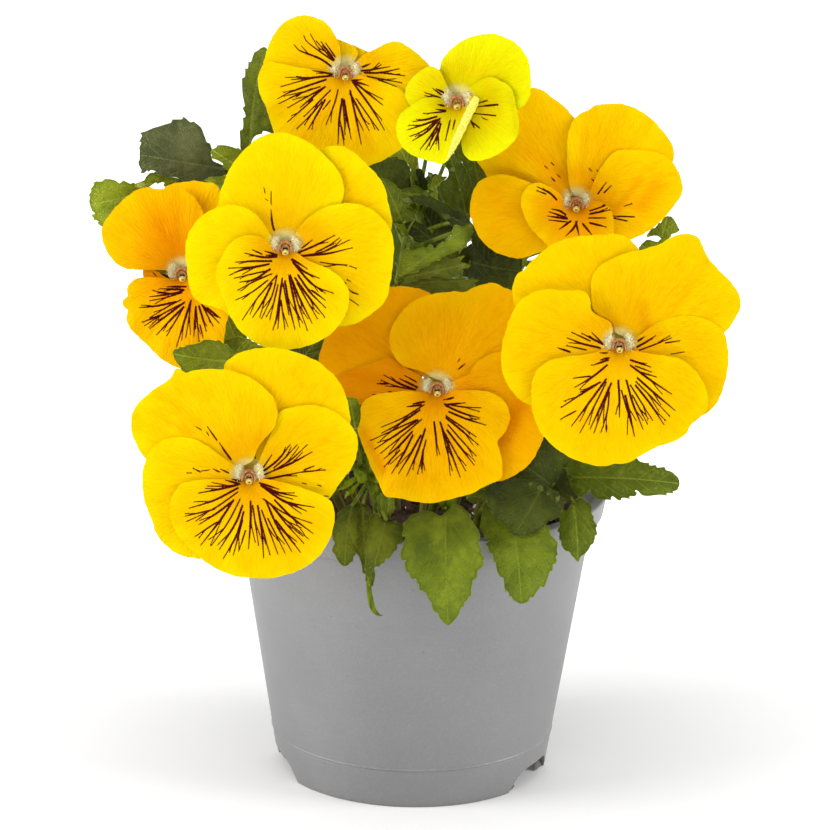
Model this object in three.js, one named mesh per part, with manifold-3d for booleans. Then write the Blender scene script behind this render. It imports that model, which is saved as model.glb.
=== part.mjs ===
// Potted pansy planter: a round tapered nursery pot filled with growing
// medium, eight open pansy blooms on hooked stalks, and ten leafy shoots.
// Millimetres, +Z up. The pot stands on the plane z = 0; the pot's own axis
// passes through (POT_AXIS_X, POT_AXIS_Y), so that the whole plant is centred
// over the origin.
import * as THREE from "three";
import { mergeVertices } from "three/addons/utils/BufferGeometryUtils.js";
import Module from "manifold-3d";

const wasm = await Module();
wasm.setup();

// ---------------------------------------------------------------- dimensions
const POT_AXIS_X = 3.18;       // pot axis in the part's frame
const POT_AXIS_Y = 1.80;
const POT_SIDES = 36;
const RIM_RADIUS = 60.0;       // outer radius of the rim band at its top
const RIM_TOP = 91.4;
const RIM_BOTTOM = 83.0;       // underside of the rim band
const WALL_TOP_RADIUS = 55.5;  // outer radius of the wall under the rim band
const BASE_RADIUS = 42.45;     // outer radius of the foot
const FOOT_INNER_RADIUS = 40.3;
const FLOOR_UNDER = 5.4;       // the floor stands clear of the ground
const FLOOR_TOP = 7.0;
const RING_LINE = 12.76;       // moulded line round the foot
const WALL_THICKNESS = 1.5;
const NOTCH_HEIGHT = 6.6;      // openings in the foot that let water out
const NOTCH_TOP = 13.0;
const NOTCH_BOTTOM = 27.6;
const NOTCH_AZIMUTHS = [194.8, 334.4, 84.6];
const DRAIN_RADIUS = 4.5;
const DRAIN_RING = 29.0;
const DRAIN_COUNT = 6;
const CENTRE_DRAIN_RADIUS = 4.0;
const SOIL_TOP = 84.0;
const GAP = 0.35;              // clearance between neighbouring pieces
const CUT = 0.55;              // how much larger a piece is made to cut its neighbours

const STALK_RADIUS = 0.95;     // flower stalk
const STEM_RADIUS = 1.5;       // main stem of a shoot
const PETIOLE_RADIUS = 0.7;
const PETAL_HALF = 0.22;       // half thickness of a petal
const LEAF_HALF = 0.25;
const LAYER = 0.9;             // step between the petals of one bloom
const CALYX_BACK = 3.0;        // calyx centre behind the petals
const CALYX_RADIUS = 1.9;
const SEPAL_BACK = 1.15;
const SEPAL_LENGTH = 11.5;

// Upward direction in the plane of every bloom and leaf that faces forward.
const PLANE_UP = new THREE.Vector3(-0.01588183, 0.31196395, 0.94996119);

// Blooms: throat position, facing direction, lean of the face (rise of the
// petals toward the front per mm across and up), stalk path from the soil,
// and each petal's outline round a hub point, both in the plane of the face.
// Petals are listed from the back of the bloom to the front.
const BLOOMS = {
  bloom1: {
    at: [-23.0, -19.4, 225.3], face: [0.0202, -0.9828, 0.1834], lean: [0.1, -0.22],
    stalk: [[-7.0, 17.0, 85.2], [-14.0, 14.0, 140.0], [-21.0, 3.0, 200.0], [-22.6, -9.5, 229.5], [-23.1, -16.4, 224.7]],
    petals: {
      upper_right: { hub: [4.5, 3.6], edge: [[4.7, 0.1], [7.6, 0.6], [9.8, 2.5], [9.4, 5.0], [6.7, 6.2], [4.1, 7.4], [1.4, 8.5], [0.3, 6.3], [0.9, 3.5], [2.2, 1.0]] },
      upper_left: { hub: [-1.0, 5.6], edge: [[2.7, 3.5], [4.0, 5.9], [2.2, 8.0], [-0.4, 9.2], [-3.0, 10.2], [-5.1, 8.8], [-5.5, 6.2], [-4.6, 3.5], [-2.1, 2.2], [0.6, 1.9]] },
      side_right: { hub: [14.7, 0.8], edge: [[5.3, -2.8], [10.2, -5.8], [15.2, -8.6], [20.6, -10.5], [25.5, -8.4], [27.2, -3.2], [25.3, 2.1], [21.1, 6.1], [16.3, 9.2], [10.8, 8.1], [5.7, 5.6], [2.1, 1.2]] },
      side_left: { hub: [-12.1, 6.9], edge: [[-1.5, 2.6], [-1.7, 8.3], [-4.3, 13.4], [-9.1, 16.5], [-14.7, 16.7], [-19.5, 13.7], [-22.6, 8.9], [-24.2, 3.4], [-22.0, -1.3], [-16.5, -3.2], [-10.8, -2.7], [-5.2, -1.3]] },
      lip: { hub: [-5.3, -14.6], edge: [[-8.7, 0.9], [-19.5, 2.8], [-26.3, -2.2], [-23.2, -12.5], [-19.1, -22.7], [-10.6, -29.1], [0.2, -29.7], [10.6, -26.4], [19.6, -20.3], [20.9, -9.8], [12.7, -3.1], [2.2, 0.0]] },
    },
  },
  bloom2: {
    at: [10.4, -31.8, 219.5], face: [-0.0092, -0.9817, 0.1903], lean: [0.22, -0.1],
    stalk: [[6.0, 7.0, 85.2], [10.0, 7.0, 135.0], [14.5, 1.0, 178.0], [14.0, -3.0, 202.0], [11.8, -13.0, 219.0], [10.6, -23.0, 225.0], [10.4, -28.9, 218.9]],
    petals: {
      upper_left: { hub: [-1.5, 6.3], edge: [[2.7, 4.8], [3.0, 9.1], [-0.3, 11.6], [-4.3, 9.6], [-8.8, 8.9], [-9.0, 5.1], [-5.0, 3.0], [-0.6, 2.3]] },
      upper_right: { hub: [10.0, 8.2], edge: [[7.6, -3.2], [14.2, -4.1], [20.1, -0.9], [21.9, 5.4], [21.1, 12.1], [17.1, 17.4], [11.0, 20.0], [4.4, 19.2], [-1.4, 15.8], [-5.1, 10.4], [-3.4, 4.1], [1.5, -0.2]] },
      side_right: { hub: [9.6, -5.8], edge: [[1.0, -4.6], [1.3, -10.3], [2.2, -15.8], [7.2, -17.3], [12.5, -15.2], [16.9, -11.5], [18.2, -6.2], [17.3, -0.5], [15.4, 4.8], [10.4, 7.4], [5.2, 5.4], [1.6, 1.1]] },
      side_left: { hub: [-8.5, 3.7], edge: [[-2.5, 3.4], [-4.0, 7.2], [-6.6, 10.2], [-10.4, 9.3], [-13.5, 6.7], [-15.5, 3.1], [-14.1, -0.7], [-10.5, -2.1], [-6.4, -1.6], [-2.4, -0.6]] },
      lip: { hub: [-7.5, -10.2], edge: [[-6.1, 1.1], [-11.9, 0.0], [-16.7, -3.6], [-18.0, -9.3], [-15.1, -14.4], [-9.7, -17.0], [-4.0, -18.3], [-0.3, -13.5], [2.1, -8.0], [5.2, -2.8], [5.2, 1.9], [-0.3, -0.1]] },
    },
  },
  bloom3: {
    at: [46.7, -23.5, 187.3], face: [-0.0408, -0.9756, 0.2159], lean: [-0.12, -0.06],
    stalk: [[13.0, 1.0, 85.2], [22.0, -1.0, 125.0], [38.0, -8.0, 168.0], [46.8, -14.5, 190.5], [46.8, -20.5, 186.6]],
    petals: {
      upper_left: { hub: [-13.6, 18.9], edge: [[1.5, 3.9], [2.9, 12.5], [1.7, 21.2], [-2.7, 28.6], [-9.5, 34.0], [-17.8, 33.8], [-24.7, 28.5], [-29.2, 21.1], [-29.7, 12.6], [-23.9, 6.4], [-15.4, 4.6], [-6.8, 2.9]] },
      upper_right: { hub: [11.0, 16.2], edge: [[6.6, 1.5], [14.7, 3.1], [22.3, 6.0], [28.6, 11.2], [28.6, 18.9], [23.3, 25.2], [16.3, 29.5], [8.1, 30.0], [0.7, 26.8], [-2.6, 19.5], [-2.6, 11.3], [-1.2, 3.2]] },
      side_right: { hub: [17.6, 4.0], edge: [[5.8, -4.8], [10.3, -10.6], [17.3, -10.4], [23.7, -6.9], [28.8, -1.7], [32.2, 4.6], [29.9, 11.5], [24.0, 15.5], [16.7, 16.3], [10.0, 14.3], [6.0, 8.1], [2.6, 1.7]] },
      side_left: { hub: [-17.9, -4.2], edge: [[-2.1, 0.7], [-8.4, 4.2], [-15.1, 7.0], [-22.1, 8.9], [-28.9, 7.1], [-31.7, 0.5], [-30.6, -6.5], [-26.7, -12.5], [-20.4, -15.8], [-13.3, -15.4], [-6.8, -12.4], [-3.0, -6.4]] },
      lip: { hub: [-1.9, -7.3], edge: [[-6.0, 4.1], [-12.2, 6.6], [-16.5, 1.8], [-15.0, -4.7], [-10.9, -10.0], [-5.9, -14.5], [0.6, -16.3], [7.1, -15.0], [11.4, -10.0], [11.1, -3.3], [6.3, 0.8], [-0.4, 1.0]] },
    },
  },
  bloom4: {
    at: [-39.5, -51.4, 179.2], face: [0.0353, -0.9730, 0.2281], lean: [0.03, -0.03],
    stalk: [[-13.0, -2.0, 85.2], [-18.0, -12.0, 122.0], [-29.0, -29.0, 166.0], [-36.5, -40.0, 184.5], [-39.6, -48.5, 178.5]],
    petals: {
      upper_right: { hub: [19.2, 11.7], edge: [[9.8, 0.8], [17.8, 0.4], [25.8, 1.6], [31.5, 6.1], [30.3, 14.0], [27.2, 21.2], [21.5, 26.9], [14.3, 30.0], [9.2, 25.5], [8.4, 17.5], [5.8, 9.9], [2.2, 3.0]] },
      upper_left: { hub: [-1.2, 17.7], edge: [[5.0, 3.3], [12.3, 8.5], [17.4, 15.4], [14.9, 23.7], [8.4, 29.9], [0.3, 33.6], [-8.3, 31.9], [-14.6, 25.7], [-18.6, 17.7], [-19.9, 9.1], [-11.9, 5.0], [-3.5, 2.1]] },
      side_right: { hub: [18.0, -1.1], edge: [[2.3, -2.6], [7.2, -9.8], [11.5, -17.3], [16.8, -23.3], [24.7, -20.1], [30.4, -13.8], [31.8, -5.3], [31.7, 3.4], [26.8, 10.4], [18.7, 13.1], [10.3, 11.3], [3.9, 5.6]] },
      side_left: { hub: [-16.6, -1.1], edge: [[-5.0, 5.2], [-10.2, 10.8], [-17.5, 12.3], [-24.4, 9.0], [-28.8, 2.8], [-28.9, -4.8], [-27.9, -12.5], [-22.5, -17.3], [-15.6, -20.1], [-10.6, -14.3], [-6.4, -7.8], [-2.3, -1.3]] },
      lip: { hub: [-1.4, -15.3], edge: [[-6.1, 2.5], [-15.1, 2.2], [-20.1, -5.7], [-18.4, -14.9], [-14.3, -23.4], [-6.9, -29.2], [2.4, -30.0], [11.4, -27.0], [17.7, -20.1], [18.1, -11.0], [10.7, -5.4], [2.3, -1.1]] },
    },
  },
  bloom5: {
    at: [-71.4, -26.7, 164.6], face: [0.0622, -0.9700, 0.2351], lean: [0.2, -0.05],
    stalk: [[-27.0, -3.0, 85.2], [-43.0, -5.0, 118.0], [-60.0, -12.0, 152.0], [-69.5, -18.0, 168.5], [-71.5, -23.8, 163.9]],
    petals: {
      upper_right: { hub: [4.1, 19.5], edge: [[8.1, 7.2], [11.6, 13.4], [12.8, 20.4], [10.3, 27.0], [3.3, 28.2], [-3.7, 27.0], [-5.7, 21.3], [-3.2, 14.6], [-0.4, 8.0], [2.9, 2.4]] },
      side_right: { hub: [9.2, -0.4], edge: [[3.9, -4.5], [8.5, -8.1], [13.5, -5.8], [16.1, -0.6], [15.2, 5.0], [10.7, 8.2], [5.6, 5.4], [2.1, 0.7]] },
      side_left: { hub: [-8.3, -3.1], edge: [[-2.6, -1.1], [-5.6, -0.2], [-8.5, 1.0], [-10.2, 3.5], [-11.7, 1.2], [-11.3, -1.9], [-9.8, -4.6], [-7.1, -6.1], [-4.2, -5.2], [-1.7, -3.3]] },
      upper_left: { hub: [-6.5, 13.6], edge: [[2.0, 2.5], [5.7, 9.2], [6.5, 16.6], [3.3, 23.5], [-3.6, 26.4], [-10.9, 26.0], [-17.5, 22.5], [-22.6, 16.7], [-24.0, 9.5], [-20.0, 3.0], [-12.8, 1.0], [-5.1, 1.0]] },
      lip: { hub: [0.4, -13.8], edge: [[-7.0, -1.2], [-15.1, -2.3], [-18.3, -8.7], [-16.2, -15.6], [-10.4, -21.5], [-4.1, -26.9], [3.7, -28.5], [10.5, -24.1], [13.1, -16.4], [14.9, -8.3], [9.2, -2.8], [1.2, -0.8]] },
    },
  },
  bloom6: {
    at: [58.9, -61.8, 153.9], face: [-0.0528, -0.9664, 0.2514], lean: [-0.1, -0.1],
    stalk: [[19.0, -10.0, 85.2], [27.0, -19.0, 113.0], [44.0, -40.0, 148.0], [54.0, -52.0, 159.5], [59.0, -58.9, 153.1]],
    petals: {
      upper_left: { hub: [-6.8, 22.6], edge: [[2.5, 7.0], [5.2, 15.8], [6.5, 24.9], [1.7, 32.1], [-7.4, 32.3], [-16.5, 30.9], [-24.2, 26.1], [-30.7, 19.7], [-30.5, 10.8], [-21.4, 11.6], [-12.6, 9.1], [-4.5, 4.7]] },
      upper_right: { hub: [16.1, 15.7], edge: [[9.1, 1.1], [19.3, 1.4], [29.4, 2.9], [35.7, 10.4], [32.1, 19.3], [25.5, 27.1], [18.6, 32.6], [9.2, 28.8], [-0.6, 26.1], [-8.1, 19.8], [-7.6, 9.8], [-0.8, 3.2]] },
      side_right: { hub: [19.2, -4.5], edge: [[4.7, -6.8], [9.5, -12.7], [15.1, -18.0], [21.9, -21.2], [28.2, -17.7], [31.1, -10.6], [32.0, -3.1], [30.2, 4.2], [23.7, 7.9], [16.2, 8.1], [9.2, 5.1], [3.0, 0.7]] },
      side_left: { hub: [-18.9, 2.3], edge: [[-1.9, 6.2], [-8.2, 11.6], [-13.9, 16.1], [-22.7, 16.3], [-30.0, 11.8], [-33.4, 3.7], [-34.6, -5.1], [-31.6, -13.3], [-24.5, -17.8], [-16.8, -13.9], [-9.9, -8.2], [-3.2, -2.4]] },
      lip: { hub: [-4.5, -18.4], edge: [[-8.0, -2.1], [-19.4, -4.0], [-26.0, -12.5], [-24.1, -23.8], [-16.1, -32.0], [-5.1, -35.6], [5.9, -32.9], [16.5, -28.2], [24.7, -20.5], [24.2, -9.7], [15.0, -3.2], [3.5, -1.4]] },
    },
  },
  bloom7: {
    at: [5.8, -50.6, 136.6], face: [-0.0052, -0.9646, 0.2637], lean: [-0.02, -0.16],
    stalk: [[2.0, -17.0, 85.2], [4.0, -22.0, 110.0], [5.0, -33.0, 134.0], [6.0, -42.0, 142.0], [5.9, -47.7, 135.8]],
    petals: {
      upper_left: { hub: [-15.6, 19.8], edge: [[1.1, 10.2], [0.5, 19.4], [-1.5, 28.3], [-10.3, 30.7], [-19.2, 28.8], [-27.1, 23.9], [-32.8, 16.8], [-35.6, 8.0], [-28.4, 4.7], [-19.7, 8.0], [-11.7, 5.9], [-2.8, 3.4]] },
      side_left: { hub: [-17.2, 1.8], edge: [[-6.7, 4.9], [-12.4, 8.4], [-18.6, 8.0], [-24.8, 5.7], [-30.7, 2.4], [-27.1, -2.9], [-20.8, -4.8], [-14.2, -4.1], [-7.6, -2.9], [-2.4, 0.3]] },
      upper_right: { hub: [4.0, 16.4], edge: [[7.6, 4.6], [16.0, 8.2], [22.9, 13.9], [25.4, 22.4], [21.4, 29.8], [12.9, 30.9], [4.4, 29.1], [-4.5, 27.3], [-11.5, 21.9], [-14.3, 13.5], [-9.5, 6.3], [-1.2, 3.0]] },
      side_right: { hub: [17.7, -3.9], edge: [[3.3, -3.8], [7.1, -11.8], [11.3, -19.6], [16.0, -26.9], [24.2, -25.0], [29.9, -18.5], [31.9, -10.0], [30.6, -1.3], [27.5, 6.9], [20.3, 11.2], [12.1, 8.4], [5.9, 3.1]] },
      lip: { hub: [-4.3, -17.0], edge: [[-7.7, -0.5], [-18.9, -1.8], [-23.4, -11.0], [-20.3, -21.6], [-15.8, -31.9], [-4.7, -33.8], [6.4, -32.1], [16.8, -27.8], [18.7, -18.2], [21.8, -8.3], [14.8, -0.7], [3.6, -0.3]] },
    },
  },
  bloom8: {
    at: [-48.8, -76.2, 116.3], face: [0.0439, -0.9572, 0.2862], lean: [0.1, 0.02],
    stalk: [[-16.0, -16.0, 85.2], [-23.0, -28.0, 104.0], [-36.0, -50.0, 119.0], [-45.5, -66.0, 124.0], [-49.0, -73.4, 115.5]],
    petals: {
      upper_right: { hub: [15.6, 19.3], edge: [[9.3, 3.1], [18.5, 6.3], [27.5, 10.1], [29.6, 19.0], [26.2, 28.1], [18.8, 34.3], [9.6, 37.4], [-0.1, 37.1], [-7.6, 31.7], [-3.4, 23.0], [2.3, 15.1], [1.9, 6.0]] },
      side_right: { hub: [17.9, 7.4], edge: [[3.5, -1.3], [10.2, -5.0], [17.2, -7.6], [24.2, -5.8], [28.6, 0.3], [31.7, 7.2], [30.3, 14.3], [24.6, 19.2], [17.2, 20.9], [9.8, 19.3], [6.4, 12.9], [3.4, 5.9]] },
      upper_left: { hub: [-15.3, 16.2], edge: [[2.1, 6.9], [8.0, 15.0], [6.2, 24.3], [-2.1, 29.8], [-11.9, 31.3], [-21.1, 31.9], [-28.1, 25.1], [-34.4, 17.7], [-32.5, 8.1], [-25.5, 1.3], [-15.6, 0.6], [-5.7, 2.3]] },
      side_left: { hub: [-17.0, -4.2], edge: [[-6.2, 4.7], [-13.2, 9.6], [-21.3, 11.5], [-28.7, 7.9], [-31.1, -0.1], [-30.1, -8.5], [-27.3, -16.5], [-21.5, -22.6], [-13.3, -24.2], [-7.9, -17.9], [-4.7, -10.0], [-2.3, -1.9]] },
      lip: { hub: [3.0, -15.2], edge: [[-6.0, -0.7], [-16.6, -1.2], [-23.2, -8.3], [-20.2, -18.1], [-12.4, -25.3], [-2.8, -29.5], [7.8, -29.7], [17.7, -26.0], [24.2, -17.8], [24.4, -7.5], [15.0, -3.1], [4.6, -0.7]] },
    },
  },
};

// Shoots: stem path from the soil, and the leaves. A leaf is either an outline
// in a forward-facing plane, with the position of its tip, or an oval blade
// along a direction. Every leaf has its petiole's path from the stem.
const SHOOTS = {
  rear_left: {
    stem: [[-14.0, 12.0, 85.5], [-24.0, 12.0, 118.0], [-39.0, 9.0, 160.0], [-49.0, 3.0, 184.0], [-53.0, -1.0, 193.0]],
    leaves: [
      { at: [-55.6, -4.7, 193.2], face: [0.0478, -0.9771, 0.2075], tip: [-7.9, 4.8], rise: 4, bow: 2, fold: -0.1, hub: [-1.9, 2.2],
        edge: [[-2.1, 6.0], [-5.7, 6.1], [-8.5, 4.2], [-6.3, 1.6], [-3.7, -0.9], [-0.4, -1.9], [2.8, -0.3], [4.3, 2.8], [1.2, 4.6]],
        petiole: [[-51.0, 1.3, 188.6], [-53.3, -1.7, 190.9], [-55.6, -4.7, 193.2], [-55.6, -4.9, 193.9]] },
      { at: [-31.5, 43.0, 129.7], along: [-0.7071, 0.6811, 0.1900], up: [-0.1847, -0.4373, 0.8801], length: 42.5, width: 22.2, droop: 4.1,
        petiole: [[-23.1, 12.1, 115.1], [-27.3, 27.5, 122.4], [-31.5, 43.0, 129.7], [-35.9, 47.4, 130.7]] },
      { at: [-52.4, -1.7, 195.7], face: [0.0450, -0.9777, 0.2050], tip: [4.7, 33.2], rise: -4, bow: 3, fold: -0.18, hub: [3.5, 11.7],
        edge: [[0.9, 4.2], [8.4, 7.4], [9.1, 16.1], [8.1, 24.9], [5.3, 33.1], [-0.4, 28.0], [-2.1, 19.5], [-1.8, 10.7], [-2.8, 2.0]],
        petiole: [[-52.0, 0.2, 190.7], [-52.2, -0.8, 193.2], [-52.4, -1.7, 195.7], [-50.9, 0.4, 204.1]] },
      { at: [-48.7, 19.1, 171.6], along: [-0.9996, -0.0220, -0.0200], up: [-0.0248, 0.2460, 0.9690], length: 37.0, width: 16.3, droop: 5.4,
        petiole: [[-40.9, 8.2, 164.8], [-44.8, 13.6, 168.2], [-48.7, 19.1, 171.6], [-54.1, 18.9, 171.2]] },
      { at: [-31.0, 40.5, 155.1], along: [-0.1201, 0.9094, 0.3982], up: [0.2439, -0.3618, 0.8998], length: 34.2, width: 17.3, droop: 3.5,
        petiole: [[-32.1, 10.8, 141.3], [-31.6, 25.7, 142.3], [-31.0, 40.5, 155.1], [-31.7, 45.2, 156.9]] },
      { at: [-27.8, 41.2, 181.7], along: [-0.4730, 0.7120, 0.5190], up: [0.5462, -0.2253, 0.8068], length: 40.2, width: 18.6, droop: 5.2,
        petiole: [[-40.9, 8.2, 164.8], [-34.3, 24.7, 173.3], [-27.8, 41.2, 181.7], [-30.7, 45.5, 184.5]] },
      { at: [-24.0, 38.8, 106.5], along: [-0.7823, 0.6222, -0.0290], up: [0.1919, 0.2851, 0.9391], length: 41.5, width: 20.1, droop: 2.2,
        petiole: [[-16.9, 12.1, 94.4], [-20.5, 25.5, 100.5], [-24.0, 38.8, 106.5], [-28.8, 42.6, 106.2]] },
      { at: [-37.1, -10.1, 185.8], along: [-0.7433, -0.6023, 0.2911], up: [0.3106, 0.0747, 0.9476], length: 26.2, width: 12.2, droop: 2.5,
        petiole: [[-47.2, 4.3, 179.9], [-42.1, -2.9, 182.8], [-37.1, -10.1, 185.8], [-40.0, -12.4, 186.7]] },
      { at: [-28.4, 23.3, 148.5], along: [-0.8803, 0.2021, 0.4292], up: [0.4742, 0.3949, 0.7868], length: 34.6, width: 17.6, droop: 4.8,
        petiole: [[-32.1, 10.8, 141.3], [-30.2, 17.0, 144.9], [-28.4, 23.3, 148.5], [-33.0, 24.2, 150.4]] },
      { at: [-19.4, 31.1, 204.0], along: [-0.5291, 0.7401, 0.4151], up: [0.6078, -0.0108, 0.7940], length: 43.2, width: 20.9, droop: 5.4,
        petiole: [[-49.5, 2.6, 185.2], [-34.5, 16.8, 194.6], [-19.4, 31.1, 204.0], [-23.0, 35.8, 206.4]] },
      { at: [-20.0, 22.4, 126.4], along: [-0.5450, 0.6970, 0.4660], up: [0.4272, -0.2474, 0.8696], length: 28.1, width: 14.0, droop: 4.8,
        petiole: [[-23.1, 12.1, 115.1], [-21.5, 17.2, 120.8], [-20.0, 22.4, 126.4], [-22.4, 25.3, 128.1]] },
    ],
  },
  left_high: {
    stem: [[-20.0, 1.0, 85.5], [-35.0, 4.0, 116.0], [-50.0, 6.0, 150.0], [-58.0, 4.0, 178.0], [-59.0, 2.0, 188.0]],
    leaves: [
      { at: [-82.8, 0.6, 183.6], face: [0.0707, -0.9742, 0.2142], tip: [-17.7, -4.1], rise: 4, bow: 3, fold: -0.15, hub: [-11.5, -3.4],
        edge: [[0.8, 0.7], [-5.0, 2.6], [-10.8, 3.5], [-16.9, 2.8], [-18.6, -3.0], [-17.4, -8.5], [-12.3, -11.6], [-7.1, -8.8], [-2.5, -4.5]],
        petiole: [[-58.3, 3.8, 179.4], [-70.6, 2.2, 181.5], [-82.8, 0.6, 183.6], [-85.2, -1.3, 182.9]] },
      { at: [-74.1, -1.3, 187.5], face: [0.0635, -0.9753, 0.2114], tip: [-13.4, -1.6], rise: 2, bow: 1, fold: -0.1, hub: [-7.4, 0.5],
        edge: [[-11.4, -2.3], [-7.3, -1.1], [-3.7, -1.8], [0.4, -0.6], [-0.7, 1.0], [-4.9, 1.9], [-8.9, 2.1], [-12.2, -0.4]],
        petiole: [[-58.9, 3.2, 183.2], [-66.5, 1.0, 185.3], [-74.1, -1.3, 187.5], [-75.7, -1.8, 187.9]] },
      { at: [-59.1, -7.0, 186.2], face: [0.0509, -0.9756, 0.2137], tip: [-6.1, 3.0], rise: 2, bow: 1, fold: 0, hub: [-1.3, 1.8],
        edge: [[-4.7, 1.1], [-2.5, -0.2], [0.0, -0.7], [1.1, 1.6], [0.2, 3.7], [-2.1, 4.1], [-4.6, 3.7], [-6.7, 2.8]],
        petiole: [[-58.9, 3.2, 183.2], [-59.0, -1.9, 184.7], [-59.1, -7.0, 186.2], [-59.6, -7.3, 187.0]] },
      { at: [-58.6, 0.8, 190.8], face: [0.0502, -0.9767, 0.2086], tip: [-27.1, 4.4], rise: 4, bow: 3, fold: -0.15, hub: [-15.2, 6.3],
        edge: [[-2.7, 1.8], [-5.4, 6.5], [-8.3, 12.4], [-13.8, 15.6], [-20.0, 13.9], [-26.0, 11.3], [-27.4, 5.2], [-26.3, -1.0], [-20.2, -1.7], [-14.1, -3.7], [-7.7, -4.3], [-1.6, -2.2]],
        petiole: [[-58.9, 2.6, 185.5], [-58.8, 1.7, 188.1], [-58.6, 0.8, 190.8], [-65.9, -0.8, 193.0]] },
      { at: [-45.6, 26.6, 120.4], along: [-0.9169, 0.1250, -0.3790], up: [-0.3615, 0.1420, 0.9215], length: 42.8, width: 20.1, droop: 3.2,
        petiole: [[-33.8, 3.8, 113.5], [-39.7, 15.2, 116.9], [-45.6, 26.6, 120.4], [-51.3, 27.3, 117.8]] },
      { at: [-46.1, 22.3, 123.2], along: [-0.8665, 0.0370, 0.4977], up: [0.4809, 0.3289, 0.8128], length: 43.3, width: 23.2, droop: 2.2,
        petiole: [[-33.8, 3.8, 113.5], [-40.0, 13.0, 118.3], [-46.1, 22.3, 123.2], [-51.7, 22.5, 126.3]] },
      { at: [-31.5, 10.6, 102.5], along: [-0.6973, 0.7013, -0.1481], up: [-0.0685, 0.1405, 0.9877], length: 40.6, width: 19.7, droop: 2.0,
        petiole: [[-24.6, 2.0, 94.0], [-28.0, 6.3, 98.2], [-31.5, 10.6, 102.5], [-35.6, 14.8, 101.4]] },
    ],
  },
  centre_rear: {
    stem: [[-2.0, 10.0, 85.5], [0.0, 11.0, 125.0], [1.0, 6.0, 155.0], [1.0, 0.0, 172.0], [-1.0, -5.0, 182.0]],
    leaves: [
      { at: [-9.0, 51.9, 166.2], along: [0.1640, 0.9482, 0.2721], up: [0.3969, -0.3159, 0.8618], length: 32.4, width: 15.4, droop: 2.8,
        petiole: [[0.9, 6.9, 151.2], [-4.0, 29.4, 158.7], [-9.0, 51.9, 166.2], [-8.3, 56.4, 167.4]] },
      { at: [1.3, 51.9, 114.6], along: [0.1460, 0.8537, 0.4998], up: [0.2120, -0.5205, 0.8271], length: 32.0, width: 15.0, droop: 3.9,
        petiole: [[-0.7, 11.1, 110.1], [0.3, 31.5, 112.3], [1.3, 51.9, 114.6], [1.9, 56.0, 116.7]] },
      { at: [4.8, 50.0, 101.6], along: [0.6041, 0.7042, -0.3731], up: [0.2409, 0.2849, 0.9278], length: 27.6, width: 13.5, droop: 2.5,
        petiole: [[-1.4, 10.5, 97.2], [-6.3, 30.3, 99.4], [4.8, 50.0, 101.6], [7.3, 52.8, 99.9]] },
      { at: [7.9, 49.2, 150.0], along: [0.5819, 0.7489, -0.3170], up: [0.0258, 0.3726, 0.9276], length: 43.6, width: 22.6, droop: 2.9,
        petiole: [[0.7, 8.7, 142.6], [4.3, 29.0, 146.3], [7.9, 49.2, 150.0], [11.7, 54.0, 147.8]] },
      { at: [-4.1, 49.6, 137.9], along: [-0.5162, 0.8523, -0.0840], up: [-0.3402, -0.1140, 0.9334], length: 40.5, width: 19.4, droop: 2.9,
        petiole: [[0.3, 10.3, 132.9], [-1.9, 30.0, 135.4], [-4.1, 49.6, 137.9], [-7.1, 54.7, 137.3]] },
      { at: [-2.1, 42.8, 192.5], along: [-0.3149, 0.9488, 0.0260], up: [0.1039, 0.0072, 0.9946], length: 41.5, width: 21.5, droop: 4.2,
        petiole: [[0.9, -0.4, 173.0], [-0.6, 21.2, 182.7], [-2.1, 42.8, 192.5], [-4.0, 48.5, 192.4]] },
      { at: [13.4, 37.4, 201.1], along: [0.4399, 0.8979, 0.0150], up: [0.0857, -0.0586, 0.9946], length: 29.8, width: 13.9, droop: 5.2,
        petiole: [[0.4, -2.0, 176.4], [6.9, 17.7, 188.8], [13.4, 37.4, 201.1], [15.3, 41.4, 200.9]] },
      { at: [2.3, 38.9, 105.1], along: [-0.5602, 0.8244, -0.0810], up: [0.1560, 0.2011, 0.9671], length: 39.9, width: 18.3, droop: 2.3,
        petiole: [[-1.4, 10.5, 97.2], [0.5, 24.7, 105.9], [2.3, 38.9, 105.1], [-1.0, 43.7, 104.5]] },
      { at: [-7.4, 31.0, 196.5], along: [-0.2501, 0.8002, 0.5451], up: [-0.3349, -0.5997, 0.7267], length: 35.3, width: 17.2, droop: 4.7,
        petiole: [[-0.3, -3.5, 179.2], [-3.8, 13.7, 187.8], [-7.4, 31.0, 196.5], [-8.6, 35.3, 199.1]] },
      { at: [-1.6, 31.7, 145.4], along: [-0.1200, 0.8607, 0.4948], up: [0.1490, -0.4772, 0.8661], length: 41.8, width: 18.7, droop: 4.1,
        petiole: [[0.3, 10.3, 132.9], [-0.6, 21.0, 139.2], [-1.6, 31.7, 145.4], [-2.4, 37.1, 148.2]] },
      { at: [-6.9, 24.6, 173.4], along: [0.1561, 0.9783, 0.1360], up: [-0.0021, -0.1374, 0.9905], length: 26.3, width: 13.4, droop: 2.6,
        petiole: [[1.2, 3.2, 164.1], [-2.9, 13.9, 168.7], [-6.9, 24.6, 173.4], [-6.3, 28.4, 173.7]] },
      { at: [-3.3, 19.0, 125.7], along: [0.2420, 0.8919, 0.3820], up: [-0.3801, -0.2751, 0.8831], length: 41.7, width: 19.8, droop: 2.5,
        petiole: [[-0.1, 11.1, 122.2], [-1.7, 15.1, 124.0], [-3.3, 19.0, 125.7], [-1.8, 24.5, 127.9]] },
      { at: [-16.2, 6.8, 205.0], along: [-0.7728, 0.6139, 0.1610], up: [-0.1770, -0.4521, 0.8742], length: 31.8, width: 15.0, droop: 3.4,
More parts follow.
